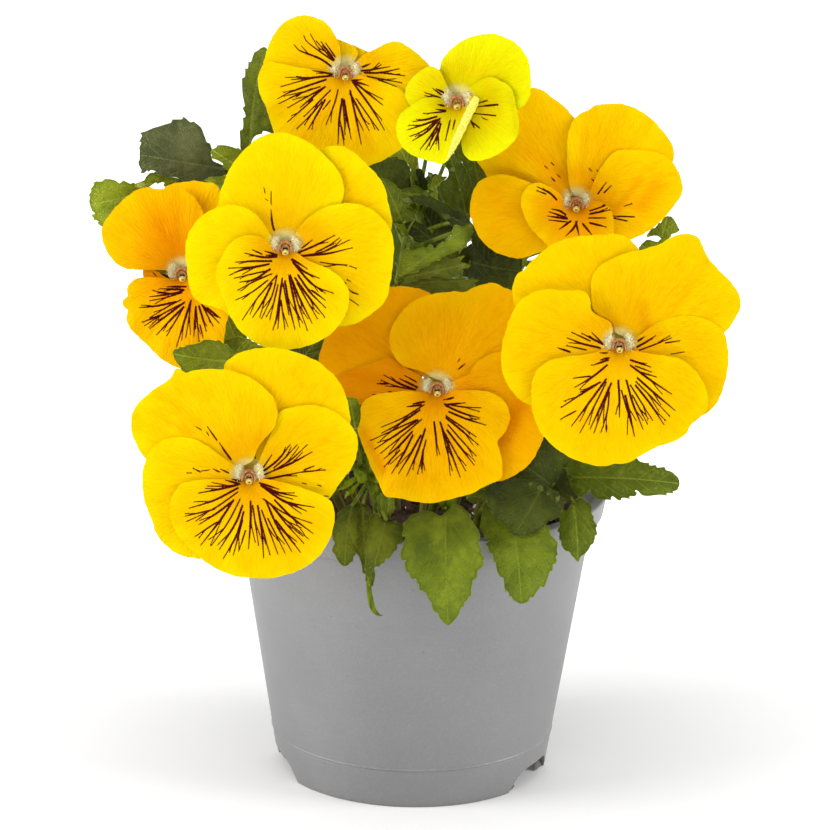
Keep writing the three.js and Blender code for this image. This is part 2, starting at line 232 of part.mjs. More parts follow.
        petiole: [[-1.0, -5.0, 182.0], [-8.6, 0.9, 193.5], [-16.2, 6.8, 205.0], [-19.8, 9.8, 205.5]] },
      { at: [10.3, 13.9, 182.3], along: [0.5738, 0.7897, -0.2169], up: [0.1229, 0.1788, 0.9762], length: 39.2, width: 19.1, droop: 3.2,
        petiole: [[0.9, -0.4, 173.0], [5.6, 6.7, 177.7], [10.3, 13.9, 182.3], [13.6, 18.4, 180.9]] },
      { at: [7.7, 15.3, 105.7], along: [-0.1460, 0.9003, -0.4101], up: [-0.3191, 0.3495, 0.8809], length: 27.5, width: 14.1, droop: 5.9,
        petiole: [[-1.4, 10.5, 97.2], [3.2, 12.9, 101.4], [7.7, 15.3, 105.7], [7.3, 18.8, 103.7]] },
      { at: [14.3, -9.3, 179.2], face: [-0.0123, -0.9754, 0.2201], tip: [-5.5, 19.3], rise: 1, bow: 4, fold: 0.25, hub: [-1.0, 8.5],
        edge: [[-6.1, 12.5], [-8.2, 7.5], [-5.6, 2.3], [-0.7, -0.7], [2.4, 3.4], [2.3, 9.2], [0.0, 14.6], [-3.6, 19.0], [-8.0, 17.5]],
        petiole: [[0.9, -0.4, 173.0], [7.6, -4.8, 176.1], [14.3, -9.3, 179.2], [13.4, -9.7, 184.3]] },
      { at: [3.3, 13.2, 203.4], along: [0.4579, 0.8848, 0.0860], up: [0.3018, -0.2457, 0.9212], length: 28.7, width: 12.7, droop: 2.3,
        petiole: [[-1.0, -5.0, 182.0], [1.2, 4.1, 192.7], [3.3, 13.2, 203.4], [5.2, 17.0, 203.6]] },
      { at: [1.1, -11.1, 186.6], face: [-0.0009, -0.9767, 0.2144], tip: [-6.7, 0.6], rise: 3, bow: 1, fold: -0.1, hub: [-2.9, 0.3],
        edge: [[-6.0, -1.7], [-3.4, -2.2], [-0.8, -1.7], [1.1, -0.1], [-0.3, 1.8], [-2.8, 2.7], [-5.4, 2.1], [-7.4, 0.5]],
        petiole: [[-1.0, -5.0, 182.0], [0.0, -8.0, 184.3], [1.1, -11.1, 186.6], [0.1, -11.8, 186.8]] },
      { at: [-7.4, -7.2, 182.5], face: [0.0064, -0.9761, 0.2171], tip: [-6.7, 13.6], rise: 2, bow: 2, fold: -0.12, hub: [-1.0, 8.3],
        edge: [[-7.9, 7.8], [-4.7, 3.5], [-1.2, -0.6], [3.5, 1.9], [5.8, 6.1], [4.2, 11.2], [0.7, 15.0], [-4.4, 14.3], [-9.3, 12.2]],
        petiole: [[-0.3, -3.5, 179.2], [-3.9, -5.3, 180.8], [-7.4, -7.2, 182.5], [-7.9, -7.4, 185.7]] },
      { at: [-3.0, -8.9, 193.1], face: [0.0026, -0.9780, 0.2086], tip: [-3.6, 7.8], rise: 2, bow: 1, fold: -0.1, hub: [-1.2, 5.7],
        edge: [[-4.7, 4.5], [-1.6, 2.9], [0.4, -0.0], [2.1, 3.0], [1.4, 6.3], [-1.6, 8.1], [-4.7, 7.4], [-7.5, 5.1]],
        petiole: [[-1.0, -5.0, 182.0], [-2.0, -7.0, 187.6], [-3.0, -8.9, 193.1], [-3.3, -9.2, 195.3]] },
      { at: [2.9, -7.7, 187.1], face: [-0.0025, -0.9770, 0.2134], tip: [5.2, 4.2], rise: 3, bow: 1, fold: 0.1, hub: [2.2, 3.0],
        edge: [[0.6, 0.2], [2.4, 1.3], [3.9, 2.7], [5.3, 4.2], [3.3, 4.7], [1.4, 4.2], [0.1, 2.7], [-0.7, 0.8]],
        petiole: [[-1.0, -5.0, 182.0], [0.9, -6.4, 184.5], [2.9, -7.7, 187.1], [3.6, -8.4, 188.3]] },
      { at: [2.9, -7.5, 184.6], face: [-0.0025, -0.9765, 0.2154], tip: [2.1, 2.7], rise: 1, bow: 0.5, fold: 0, hub: [0.9, 0.9],
        edge: [[-1.2, -0.4], [0.4, -0.7], [1.9, -0.6], [2.5, 0.8], [2.3, 2.3], [1.3, 2.7], [-0.1, 2.1], [-1.2, 1.0]],
        petiole: [[-0.3, -3.5, 179.2], [1.3, -5.5, 181.9], [2.9, -7.5, 184.6], [3.2, -7.7, 184.9]] },
      { at: [0.8, -5.5, 184.4], face: [-0.0007, -0.9766, 0.2152], tip: [-2.7, 9.1], rise: 1, bow: 1, fold: -0.1, hub: [-0.9, 5.0],
        edge: [[-2.4, 3.1], [-1.1, 0.4], [1.3, -0.2], [1.6, 2.8], [1.0, 5.7], [-0.5, 8.3], [-3.3, 8.8], [-3.2, 6.0]],
        petiole: [[-0.3, -3.5, 179.2], [0.2, -4.5, 181.8], [0.8, -5.5, 184.4], [0.5, -5.6, 186.1]] },
      { at: [4.3, -2.6, 173.8], face: [-0.0037, -0.9747, 0.2233], tip: [-4.3, 8.5], rise: 2, bow: 1, fold: -0.1, hub: [-1.0, 5.0],
        edge: [[-3.2, 3.0], [-1.1, 1.0], [0.8, 0.9], [2.1, 3.4], [1.9, 6.2], [-0.1, 8.4], [-2.8, 9.5], [-5.3, 8.3], [-4.7, 5.4]],
        petiole: [[1.2, 1.3, 168.8], [2.7, -0.6, 171.3], [4.3, -2.6, 173.8], [3.7, -2.9, 175.9]] },
      { at: [4.4, -1.6, 170.5], face: [-0.0038, -0.9742, 0.2258], tip: [3.7, 7.9], rise: 2, bow: 1, fold: -0.1, hub: [2.0, 4.1],
        edge: [[-0.8, 0.2], [2.1, -0.7], [4.8, 1.3], [5.9, 4.4], [4.3, 7.3], [1.3, 8.3], [-1.2, 6.3], [-1.7, 3.3]],
        petiole: [[1.2, 3.2, 164.1], [2.8, 0.8, 167.3], [4.4, -1.6, 170.5], [5.0, -2.0, 172.0]] },
    ],
  },
  right_high: {
    stem: [[14.0, 9.0, 85.5], [22.0, 9.0, 125.0], [26.0, 2.0, 158.0], [28.0, -6.0, 184.0], [33.0, -14.0, 203.0]],
    leaves: [
      { at: [73.9, -20.9, 169.3], face: [-0.0641, -0.9711, 0.2300], tip: [-6.9, 5.5], rise: 2, bow: 1, fold: 0, hub: [-1.2, 3.4],
        edge: [[-3.5, 0.5], [0.0, -0.2], [3.0, 1.8], [2.5, 4.6], [-0.2, 6.6], [-3.8, 6.4], [-7.0, 5.3], [-6.5, 2.2]],
        petiole: [[26.4, 0.8, 162.5], [50.1, -10.1, 165.9], [73.9, -20.9, 169.3], [73.6, -21.1, 170.4]] },
      { at: [71.2, -18.4, 170.5], face: [-0.0617, -0.9716, 0.2286], tip: [3.9, 12.0], rise: -2, bow: 2, fold: -0.2, hub: [3.1, 8.0],
        edge: [[0.6, 5.7], [2.7, 3.5], [4.6, 5.8], [7.0, 7.7], [6.2, 10.3], [3.7, 12.0], [1.4, 9.9], [-1.0, 8.0], [-2.4, 6.0]],
        petiole: [[26.4, 0.8, 162.5], [48.8, -8.8, 166.5], [71.2, -18.4, 170.5], [72.3, -17.9, 173.4]] },
      { at: [23.8, 45.1, 114.2], along: [0.5480, 0.8250, -0.1380], up: [0.2810, -0.0262, 0.9594], length: 39.2, width: 20.7, droop: 5.0,
        petiole: [[19.2, 9.5, 109.9], [21.5, 27.3, 112.1], [23.8, 45.1, 114.2], [26.9, 49.9, 113.1]] },
      { at: [36.9, 34.5, 132.4], along: [0.7544, 0.6514, 0.0810], up: [0.0876, -0.2223, 0.9710], length: 41.9, width: 20.1, droop: 2.4,
        petiole: [[21.5, 9.2, 122.1], [29.2, 21.9, 127.3], [36.9, 34.5, 132.4], [41.5, 38.6, 132.8]] },
      { at: [49.2, 8.5, 169.3], along: [0.8996, -0.3099, -0.3079], up: [0.3358, 0.0401, 0.9411], length: 31.5, width: 17.1, droop: 3.1,
        petiole: [[26.4, 0.8, 162.5], [37.8, 4.7, 165.9], [49.2, 8.5, 169.3], [53.3, 7.1, 167.7]] },
      { at: [44.5, 22.2, 101.6], along: [0.8288, 0.3189, 0.4599], up: [-0.3102, -0.4221, 0.8518], length: 36.7, width: 16.5, droop: 4.1,
        petiole: [[16.6, 9.2, 97.1], [30.6, 15.7, 99.3], [44.5, 22.2, 101.6], [49.1, 24.0, 103.9]] },
      { at: [42.2, 26.3, 101.5], along: [0.3619, 0.8677, 0.3409], up: [0.0209, -0.3731, 0.9276], length: 43.0, width: 21.7, droop: 2.2,
        petiole: [[16.6, 9.2, 97.1], [29.4, 17.8, 99.3], [42.2, 26.3, 101.5], [44.5, 31.9, 103.5]] },
      { at: [45.1, 18.7, 157.0], along: [0.5473, 0.6483, 0.5293], up: [-0.2279, -0.4930, 0.8396], length: 42.6, width: 19.1, droop: 2.1,
        petiole: [[25.5, 3.2, 153.4], [35.3, 11.0, 155.2], [45.1, 18.7, 157.0], [48.5, 22.8, 160.2]] },
      { at: [46.6, -13.2, 165.5], along: [0.9189, -0.2730, -0.2850], up: [0.2717, -0.0859, 0.9585], length: 38.1, width: 17.4, droop: 5.6,
        petiole: [[26.4, 0.8, 162.5], [41.5, -6.2, 164.0], [46.6, -13.2, 165.5], [51.7, -14.7, 163.6]] },
      { at: [45.1, 2.3, 186.7], along: [0.9082, -0.3451, 0.2370], up: [-0.0765, 0.4199, 0.9043], length: 28.2, width: 13.0, droop: 2.0,
        petiole: [[27.4, -4.1, 178.6], [36.2, -0.9, 182.7], [45.1, 2.3, 186.7], [48.8, 0.9, 187.6]] },
      { at: [22.2, 35.5, 168.4], along: [0.5218, 0.8477, 0.0950], up: [0.2549, -0.2612, 0.9310], length: 42.5, width: 20.5, droop: 4.0,
        petiole: [[26.4, 0.8, 162.5], [24.3, 18.2, 165.4], [22.2, 35.5, 168.4], [25.4, 40.9, 168.8]] },
      { at: [39.3, 13.8, 191.0], along: [0.9310, 0.1680, -0.3240], up: [0.3097, 0.1059, 0.9449], length: 38.5, width: 17.2, droop: 5.3,
        petiole: [[28.3, -6.6, 185.7], [33.8, 3.6, 188.3], [39.3, 13.8, 191.0], [44.4, 14.7, 188.9]] },
      { at: [39.8, 5.0, 145.4], along: [0.8922, 0.4511, -0.0210], up: [-0.0474, 0.1398, 0.9890], length: 38.1, width: 20.5, droop: 2.7,
        petiole: [[23.2, 7.9, 133.3], [31.5, 6.4, 139.3], [39.8, 5.0, 145.4], [44.8, 7.5, 145.1]] },
      { at: [34.7, 17.7, 201.8], along: [0.5910, 0.7430, -0.3140], up: [0.3202, 0.1412, 0.9368], length: 29.6, width: 15.0, droop: 5.4,
        petiole: [[29.7, -9.1, 191.8], [32.2, 4.3, 196.8], [34.7, 17.7, 201.8], [37.2, 20.9, 200.1]] },
      { at: [35.7, -11.5, 207.8], face: [-0.0310, -0.9800, 0.1968], tip: [-6.6, 4.5], rise: 3, bow: 0.5, fold: 0, hub: [-6.6, 4.2],
        edge: [[-7.9, 2.4], [-6.1, 3.1], [-4.3, 4.2], [-3.0, 5.7], [-3.8, 6.9], [-5.6, 6.0], [-7.6, 5.4], [-8.9, 3.9]],
        petiole: [[33.0, -14.0, 203.0], [34.3, -12.7, 205.4], [35.7, -11.5, 207.8], [33.3, -12.2, 209.3]] },
      { at: [32.0, -10.8, 161.8], face: [-0.0275, -0.9717, 0.2346], tip: [0.9, 5.8], rise: 2, bow: 0.5, fold: 0, hub: [-0.4, 4.1],
        edge: [[-0.8, 0.6], [0.3, 2.6], [1.1, 4.8], [1.8, 6.8], [-0.5, 6.5], [-1.5, 4.4], [-1.7, 2.1], [-1.8, -0.1]],
        petiole: [[25.5, 3.2, 153.4], [28.8, -3.8, 157.6], [32.0, -10.8, 161.8], [31.8, -11.0, 163.3]] },
      { at: [13.2, 28.6, 114.0], along: [0.8743, 0.4091, 0.2611], up: [-0.2067, -0.1729, 0.9630], length: 36.8, width: 18.0, droop: 2.1,
        petiole: [[19.2, 9.5, 109.9], [16.2, 19.0, 112.0], [13.2, 28.6, 114.0], [18.0, 30.8, 115.3]] },
      { at: [19.5, 22.5, 145.8], along: [0.4149, 0.9097, 0.0180], up: [-0.4043, 0.1666, 0.8993], length: 36.4, width: 17.5, droop: 5.2,
        petiole: [[23.2, 7.9, 133.3], [21.4, 15.2, 139.5], [19.5, 22.5, 145.8], [21.9, 27.3, 145.6]] },
      { at: [16.6, -23.9, 160.4], face: [-0.0145, -0.9711, 0.2384], tip: [12.1, 0.6], rise: 4, bow: 2, fold: -0.1, hub: [4.4, 1.1],
        edge: [[1.7, -1.3], [5.2, -1.9], [8.8, -2.4], [12.3, -1.6], [11.1, 1.4], [8.0, 3.1], [4.5, 3.9], [1.0, 3.2], [-1.3, 0.8]],
        petiole: [[25.5, 3.2, 153.4], [21.1, -10.3, 156.9], [16.6, -23.9, 160.4], [18.8, -25.2, 161.0]] },
      { at: [26.1, 4.8, 113.8], along: [0.9346, 0.2259, 0.2749], up: [-0.2956, 0.0631, 0.9532], length: 41.9, width: 20.9, droop: 5.1,
        petiole: [[19.2, 9.5, 109.9], [22.6, 7.2, 111.9], [26.1, 4.8, 113.8], [31.9, 6.2, 115.2]] },
      { at: [18.6, -13.0, 187.0], face: [-0.0161, -0.9766, 0.2144], tip: [-6.0, 22.2], rise: 3, bow: 2, fold: -0.1, hub: [-4.2, 14.2],
        edge: [[-5.7, 9.1], [-3.1, 3.6], [-0.0, -0.5], [2.7, 4.3], [1.4, 10.1], [-1.1, 15.6], [-3.7, 21.1], [-7.4, 19.7], [-9.3, 14.0]],
        petiole: [[27.4, -4.1, 178.6], [23.0, -8.6, 182.8], [18.6, -13.0, 187.0], [17.9, -13.4, 190.4]] },
      { at: [15.4, -11.5, 166.1], face: [-0.0133, -0.9728, 0.2313], tip: [17.1, -3.1], rise: 6, bow: 3, fold: -0.1, hub: [7.3, -4.2],
        edge: [[-0.0, -6.1], [5.3, -9.5], [11.7, -10.6], [15.2, -5.6], [16.1, 0.8], [10.0, 2.2], [4.4, 2.8], [-0.9, 5.0], [-3.0, -0.3]],
        petiole: [[26.4, 0.8, 162.5], [20.9, -5.3, 164.3], [15.4, -11.5, 166.1], [17.4, -13.4, 165.0]] },
      { at: [16.4, -9.6, 178.1], face: [-0.0142, -0.9752, 0.2211], tip: [7.9, -12.1], rise: 4, bow: 1, fold: -0.1, hub: [3.5, -8.5],
        edge: [[-0.7, -6.7], [1.9, -9.9], [4.9, -12.9], [8.8, -12.2], [8.6, -9.1], [5.2, -6.9], [2.3, -3.8], [-0.4, -0.8], [-2.0, -2.8]],
        petiole: [[26.9, -1.6, 170.9], [21.7, -5.6, 174.5], [16.4, -9.6, 178.1], [17.7, -11.5, 175.4]] },
    ],
  },
  centre: {
    stem: [[-6.0, -7.0, 85.5], [-9.0, -9.0, 122.0], [-8.0, -17.0, 148.0], [-6.0, -23.0, 162.0], [-4.0, -19.0, 175.0]],
    leaves: [
      { at: [-6.3, -30.7, 165.4], face: [0.0055, -0.9718, 0.2357], tip: [22.2, 16.1], rise: -1.5, bow: 4, fold: -0.2, hub: [13.5, 8.4],
        edge: [[-0.4, -1.1], [6.2, 2.2], [12.7, 5.7], [19.4, 8.9], [22.7, 15.2], [17.3, 15.4], [12.4, 10.2], [5.7, 8.7], [0.6, 5.2]],
        petiole: [[-6.5, -22.3, 159.1], [-6.4, -26.5, 162.2], [-6.3, -30.7, 165.4], [-2.2, -31.0, 168.1]] },
      { at: [-6.3, -29.9, 164.6], face: [0.0055, -0.9717, 0.2362], tip: [21.6, 4.8], rise: 3, bow: 2, fold: -0.15, hub: [18.1, 4.3],
        edge: [[5.6, -0.2], [11.3, 0.8], [17.1, 0.9], [21.7, 4.2], [20.1, 7.0], [14.4, 5.8], [8.7, 4.4], [3.3, 2.4], [-0.1, -0.5]],
        petiole: [[-6.5, -22.3, 159.1], [-6.4, -26.1, 161.8], [-6.3, -29.9, 164.6], [-3.0, -30.7, 165.8]] },
      { at: [-7.5, -27.5, 162.1], face: [0.0066, -0.9713, 0.2377], tip: [25.3, 1.5], rise: 4, bow: 3, fold: -0.2, hub: [9.8, -0.5],
        edge: [[3.0, -1.8], [9.2, -4.0], [15.8, -3.9], [22.1, -2.4], [25.8, 1.7], [19.4, 2.3], [13.2, 4.1], [6.8, 2.7], [0.5, 0.8]],
        petiole: [[-6.5, -22.3, 159.1], [-7.0, -24.9, 160.6], [-7.5, -27.5, 162.1], [-2.8, -29.2, 162.3]] },
      { at: [15.2, -13.9, 177.8], face: [-0.0131, -0.9749, 0.2221], tip: [-20.6, 8.2], rise: 6, bow: 5, fold: 0.12, hub: [-12.2, 7.3],
        edge: [[-19.7, 6.8], [-14.0, 6.1], [-9.1, 3.3], [-4.6, -0.1], [0.7, 0.0], [-2.6, 4.0], [-7.6, 7.0], [-12.9, 9.1], [-18.6, 9.2]],
        petiole: [[-4.6, -20.6, 171.0], [5.3, -17.2, 174.4], [15.2, -13.9, 177.8], [10.7, -16.3, 181.0]] },
      { at: [-5.1, -17.8, 179.0], face: [0.0044, -0.9751, 0.2219], tip: [-6.0, 13.5], rise: 8, bow: 2, fold: -0.15, hub: [-2.4, 7.8],
        edge: [[-5.9, 11.0], [-4.5, 7.3], [-3.7, 3.4], [-2.6, -0.3], [0.6, 1.1], [0.9, 5.0], [-0.5, 8.8], [-2.5, 12.1], [-6.1, 13.8]],
        petiole: [[-4.0, -19.0, 175.0], [-5.1, -17.8, 179.0], [-6.1, -19.3, 182.5]] },
      { at: [6.2, -10.2, 170.0], face: [-0.0054, -0.9737, 0.2278], tip: [-9.7, 7.9], rise: 6, bow: 1, fold: -0.1, hub: [-5.5, 4.0],
        edge: [[-7.3, 1.9], [-4.2, 0.2], [-0.8, -0.7], [1.3, 1.6], [-1.4, 3.9], [-4.0, 6.2], [-7.0, 8.0], [-10.2, 7.3], [-9.5, 4.6]],
        petiole: [[-5.8, -23.0, 163.0], [0.2, -16.6, 166.5], [6.2, -10.2, 170.0], [4.1, -11.4, 171.8]] },
    ],
  },
  left_mid: {
    stem: [[-22.0, -12.0, 85.5], [-32.0, -18.0, 108.0], [-44.0, -24.0, 128.0], [-53.0, -32.0, 138.0]],
    leaves: [
      { at: [-55.5, -42.6, 141.7], face: [0.0488, -0.9651, 0.2574], tip: [-17.6, 2.3], rise: 8, bow: 3, fold: -0.15, hub: [-8.6, -0.1],
        edge: [[-14.9, -2.3], [-12.2, -5.6], [-8.2, -6.3], [-4.3, -5.1], [-0.8, -3.0], [1.9, 0.2], [-0.1, 3.8], [-3.5, 6.1], [-7.6, 6.4], [-11.7, 5.3], [-15.7, 4.2], [-17.0, 1.2]],
        petiole: [[-53.0, -32.0, 138.0], [-54.2, -37.3, 139.9], [-55.5, -42.6, 141.7], [-58.3, -45.0, 142.3]] },
      { at: [-55.8, -36.3, 141.9], face: [0.0488, -0.9655, 0.2558], tip: [10.2, 2.1], rise: 2, bow: 1, fold: -0.1, hub: [2.9, 1.6],
        edge: [[-1.4, -0.1], [2.1, -2.4], [6.1, -1.6], [9.3, 0.9], [8.3, 3.4], [4.5, 5.2], [0.4, 5.5], [-3.2, 3.7]],
        petiole: [[-53.0, -32.0, 138.0], [-54.4, -34.1, 139.9], [-55.8, -36.3, 141.9], [-54.7, -36.5, 142.6]] },
      { at: [-54.0, -23.9, 141.2], face: [0.0468, -0.9661, 0.2538], tip: [-4.2, 10.6], rise: 2, bow: 1, fold: 0, hub: [-1.8, 3.6],
        edge: [[-4.9, 7.9], [-5.7, 3.9], [-4.4, 0.3], [-0.7, -0.8], [2.6, 1.3], [1.4, 5.1], [-1.0, 8.5], [-3.6, 11.7]],
        petiole: [[-51.0, -30.1, 135.9], [-52.5, -27.0, 138.5], [-54.0, -23.9, 141.2], [-54.7, -24.1, 142.4]] },
      { at: [-47.6, -9.7, 108.5], along: [-0.7528, -0.6428, 0.1420], up: [-0.1292, 0.3557, 0.9256], length: 27.2, width: 12.1, droop: 2.3,
        petiole: [[-28.8, -16.2, 101.0], [-38.2, -12.9, 104.7], [-47.6, -9.7, 108.5], [-50.6, -12.3, 108.9]] },
      { at: [-35.7, -27.2, 137.3], face: [0.0310, -0.9657, 0.2578], tip: [4.8, 6.7], rise: 4, bow: 2, fold: -0.1, hub: [3.1, 3.8],
        edge: [[2.9, -1.4], [7.2, 0.3], [8.8, 5.2], [7.6, 9.4], [2.8, 8.8], [-2.0, 7.1], [-5.7, 3.7], [-1.7, 0.7]],
        petiole: [[-44.8, -24.5, 129.1], [-40.2, -25.9, 133.2], [-35.7, -27.2, 137.3], [-34.5, -28.3, 139.0]] },
    ],
  },
  front_left: {
    stem: [[-11.0, -25.0, 85.5], [-12.0, -34.0, 98.0], [-14.0, -43.0, 107.0], [-16.0, -49.0, 115.0]],
    leaves: [
      { at: [-8.8, -53.8, 96.5], face: [0.0077, -0.9549, 0.2970], tip: [-4.8, -19.8], rise: 9.0, bow: 4.5, fold: -0.2, hub: [-1.5, -3.6],
        edge: [[-5.0, -2.3], [-6.0, -8.5], [-5.7, -14.7], [-4.8, -19.1], [-2.3, -13.8], [2.4, -9.8], [5.1, -5.1], [2.7, -0.0], [-2.4, 2.0]],
        petiole: [[-13.7, -41.8, 105.7], [-11.2, -47.8, 101.1], [-8.8, -53.8, 96.5], [-9.9, -55.9, 95.6]] },
      { at: [-19.1, -49.2, 99.3], face: [0.0167, -0.9558, 0.2936], tip: [-2.1, -17.9], rise: 10, bow: 3.5, fold: -0.2, hub: [-2.1, -8.8],
        edge: [[-1.8, 0.2], [-4.7, -3.7], [-5.9, -8.4], [-5.7, -13.2], [-3.6, -17.5], [0.2, -16.4], [1.6, -11.8], [1.8, -6.9], [1.5, -2.0]],
        petiole: [[-13.7, -41.8, 105.7], [-16.4, -45.5, 102.5], [-19.1, -49.2, 99.3], [-19.6, -53.4, 96.7]] },
      { at: [-8.8, -51.6, 95.2], face: [0.0077, -0.9547, 0.2975], tip: [1.5, 8.4], rise: 4, bow: 0.5, fold: -0.2, hub: [1.1, 4.3],
        edge: [[-0.2, 4.2], [-0.6, 1.8], [0.2, -0.4], [1.6, 1.7], [2.4, 4.0], [2.5, 6.5], [1.2, 8.4], [-0.1, 6.7]],
        petiole: [[-13.7, -41.8, 105.7], [-11.2, -46.7, 100.5], [-8.8, -51.6, 95.2], [-8.4, -52.0, 97.1]] },
      { at: [-10.3, -51.1, 96.6], face: [0.0090, -0.9551, 0.2962], tip: [0.0, 7.2], rise: 3, bow: 0.5, fold: -0.2, hub: [0.1, 4.1],
        edge: [[-0.6, 2.0], [0.2, 0.1], [1.1, 1.4], [1.3, 3.4], [1.3, 5.4], [0.5, 7.3], [-0.8, 6.0], [-1.0, 4.0]],
        petiole: [[-13.7, -41.8, 105.7], [-12.0, -46.5, 101.2], [-10.3, -51.1, 96.6], [-10.3, -51.4, 98.5]] },
      { at: [-15.8, -48.0, 99.7], face: [0.0138, -0.9560, 0.2930], tip: [1.8, -25.0], rise: 11, bow: 4.5, fold: -0.2, hub: [-0.5, -12.1],
        edge: [[-2.4, -13.5], [-0.1, -19.5], [2.0, -25.7], [3.5, -19.9], [2.0, -13.7], [2.2, -7.3], [2.1, -1.0], [-3.4, -0.7], [-3.0, -7.1]],
        petiole: [[-13.7, -41.8, 105.7], [-14.7, -44.9, 102.7], [-15.8, -48.0, 99.7], [-15.8, -52.7, 96.3]] },
      { at: [-18.2, -46.3, 121.0], face: [0.0160, -0.9612, 0.2754], tip: [-2.1, 11.4], rise: 18, bow: -1.5, fold: -0.2, hub: [0.1, 5.3],
        edge: [[-2.1, 5.2], [-1.4, 2.3], [0.1, 0.0], [1.5, 2.6], [2.3, 5.4], [1.3, 8.2], [-0.4, 10.6], [-2.9, 11.2], [-2.5, 8.2]],
        petiole: [[-16.0, -49.0, 115.0], [-17.1, -47.6, 118.0], [-18.2, -46.3, 121.0], [-18.1, -47.8, 123.3]] },
    ],
  },
  front_centre: {
    stem: [[4.0, -26.0, 85.5], [6.0, -36.0, 97.0], [8.0, -44.0, 102.0], [9.0, -50.0, 99.0]],
    leaves: [
      { at: [8.9, -53.1, 100.4], face: [-0.0078, -0.9559, 0.2937], tip: [0.9, -34.8], rise: 8, bow: 6, fold: -0.14, hub: [-0.9, -12.1],
        edge: [[0.6, -0.6], [-6.9, -0.7], [-12.6, -5.8], [-13.2, -13.8], [-10.4, -20.7], [-5.5, -26.5], [-1.1, -33.5], [4.3, -30.9], [8.2, -23.8], [11.3, -17.0], [10.3, -9.0], [7.1, -1.5]],
        petiole: [[9.0, -50.0, 99.0], [8.9, -53.1, 100.4], [8.8, -56.4, 97.8]] },
    ],
  },
  front_right: {
    stem: [[18.0, -26.0, 85.5], [22.0, -35.0, 96.0], [26.5, -42.0, 99.5]],
    leaves: [
      { at: [37.4, -46.4, 104.5], face: [-0.0327, -0.9569, 0.2887], tip: [-7.8, -13.2], rise: 10, bow: 3, fold: -0.15, hub: [-5.3, -5.1],
        edge: [[-13.7, -8.2], [-8.7, -13.1], [-1.8, -13.2], [4.1, -9.0], [7.6, -3.2], [1.8, 1.1], [-5.1, 3.2], [-12.3, 2.6], [-17.2, -1.7]],
        petiole: [[26.5, -42.0, 99.5], [31.9, -44.2, 99.7], [37.4, -46.4, 104.5], [35.6, -49.1, 103.6]] },
      { at: [28.4, -48.0, 99.8], face: [-0.0249, -0.9558, 0.2929], tip: [3.3, -29.0], rise: 7, bow: 6.5, fold: -0.15, hub: [3.9, -13.1],
        edge: [[-8.5, -1.0], [-8.3, -8.0], [-6.2, -13.8], [-3.8, -20.4], [-0.6, -26.4], [5.1, -28.7], [10.0, -24.0], [13.1, -17.6], [14.2, -10.8], [10.2, -5.0], [4.2, -1.2], [-2.5, 1.0]],
        petiole: [[26.5, -42.0, 99.5], [27.5, -45.0, 99.6], [28.4, -48.0, 99.8], [28.7, -50.6, 98.3]] },
      { at: [23.0, -45.2, 102.0], face: [-0.0201, -0.9567, 0.2905], tip: [-7.8, -0.6], rise: 4, bow: 0.5, fold: 0, hub: [-1.4, 0.9],
        edge: [[-6.0, -1.9], [-3.2, -1.3], [-0.4, -0.8], [1.4, 1.6], [-0.4, 3.3], [-3.0, 2.2], [-5.8, 1.2], [-8.1, -0.3]],
        petiole: [[25.1, -39.9, 98.7], [24.1, -42.5, 100.3], [23.0, -45.2, 102.0], [22.5, -45.4, 102.3]] },
    ],
  },
  right_low: {
    stem: [[27.0, -14.0, 85.5], [35.0, -24.0, 98.0], [43.0, -34.0, 106.0]],
    leaves: [
      { at: [47.7, -40.0, 98.6], face: [-0.0414, -0.9556, 0.2917], tip: [1.4, -17.7], rise: 4, bow: 3, fold: -0.22, hub: [1.0, -7.1],
        edge: [[-4.5, -7.3], [-3.7, -12.9], [-0.0, -16.9], [4.0, -15.3], [6.8, -10.3], [6.2, -4.8], [4.3, 0.0], [0.2, 0.4], [-4.2, -1.7]],
        petiole: [[43.0, -34.0, 106.0], [45.4, -37.0, 102.3], [47.7, -40.0, 98.6], [48.0, -42.3, 96.4]] },
      { at: [47.3, -37.6, 105.8], face: [-0.0411, -0.9575, 0.2854], tip: [32.1, -1.9], rise: 6, bow: 4, fold: -0.15, hub: [6.1, 1.3],
        edge: [[0.2, -4.7], [5.1, -4.4], [11.5, -7.1], [17.7, -5.9], [23.3, -5.9], [30.4, -4.5], [31.2, 1.3], [24.4, 3.8], [17.4, 6.1], [10.2, 7.0], [2.8, 6.9], [-2.1, 2.3]],
        petiole: [[43.0, -34.0, 106.0], [45.1, -35.8, 105.9], [47.3, -37.6, 105.8], [50.0, -38.1, 108.4]] },
      { at: [41.3, -37.4, 103.1], face: [-0.0358, -0.9571, 0.2876], tip: [-9.7, 7.3], rise: 4, bow: 3, fold: -0.1, hub: [-2.8, 2.6],
        edge: [[-10.4, -3.0], [-2.0, -5.2], [6.3, -4.6], [5.3, 2.2], [8.8, 8.9], [1.9, 13.8], [-5.0, 12.2], [-10.9, 5.9], [-17.9, 1.1]],
        petiole: [[43.0, -34.0, 106.0], [41.3, -37.4, 103.1], [40.2, -38.4, 105.4]] },
      { at: [48.6, -14.9, 125.9], along: [0.9686, 0.0690, 0.2389], up: [-0.2367, -0.0390, 0.9708], length: 28.3, width: 15.5, droop: 5.5,
        petiole: [[43.0, -34.0, 106.0], [45.8, -24.4, 115.9], [48.6, -14.9, 125.9], [52.7, -14.6, 126.5]] },
      { at: [38.2, -5.9, 101.2], along: [0.9658, -0.2589, 0.0160], up: [-0.1022, -0.3229, 0.9409], length: 34.2, width: 17.6, droop: 2.3,
        petiole: [[31.9, -20.2, 93.1], [35.1, -13.0, 97.2], [38.2, -5.9, 101.2], [43.1, -7.2, 101.2]] },
    ],
  },
};

// ------------------------------------------------------------------- helpers
const vec = (a) => new THREE.Vector3(a[0], a[1], a[2]);

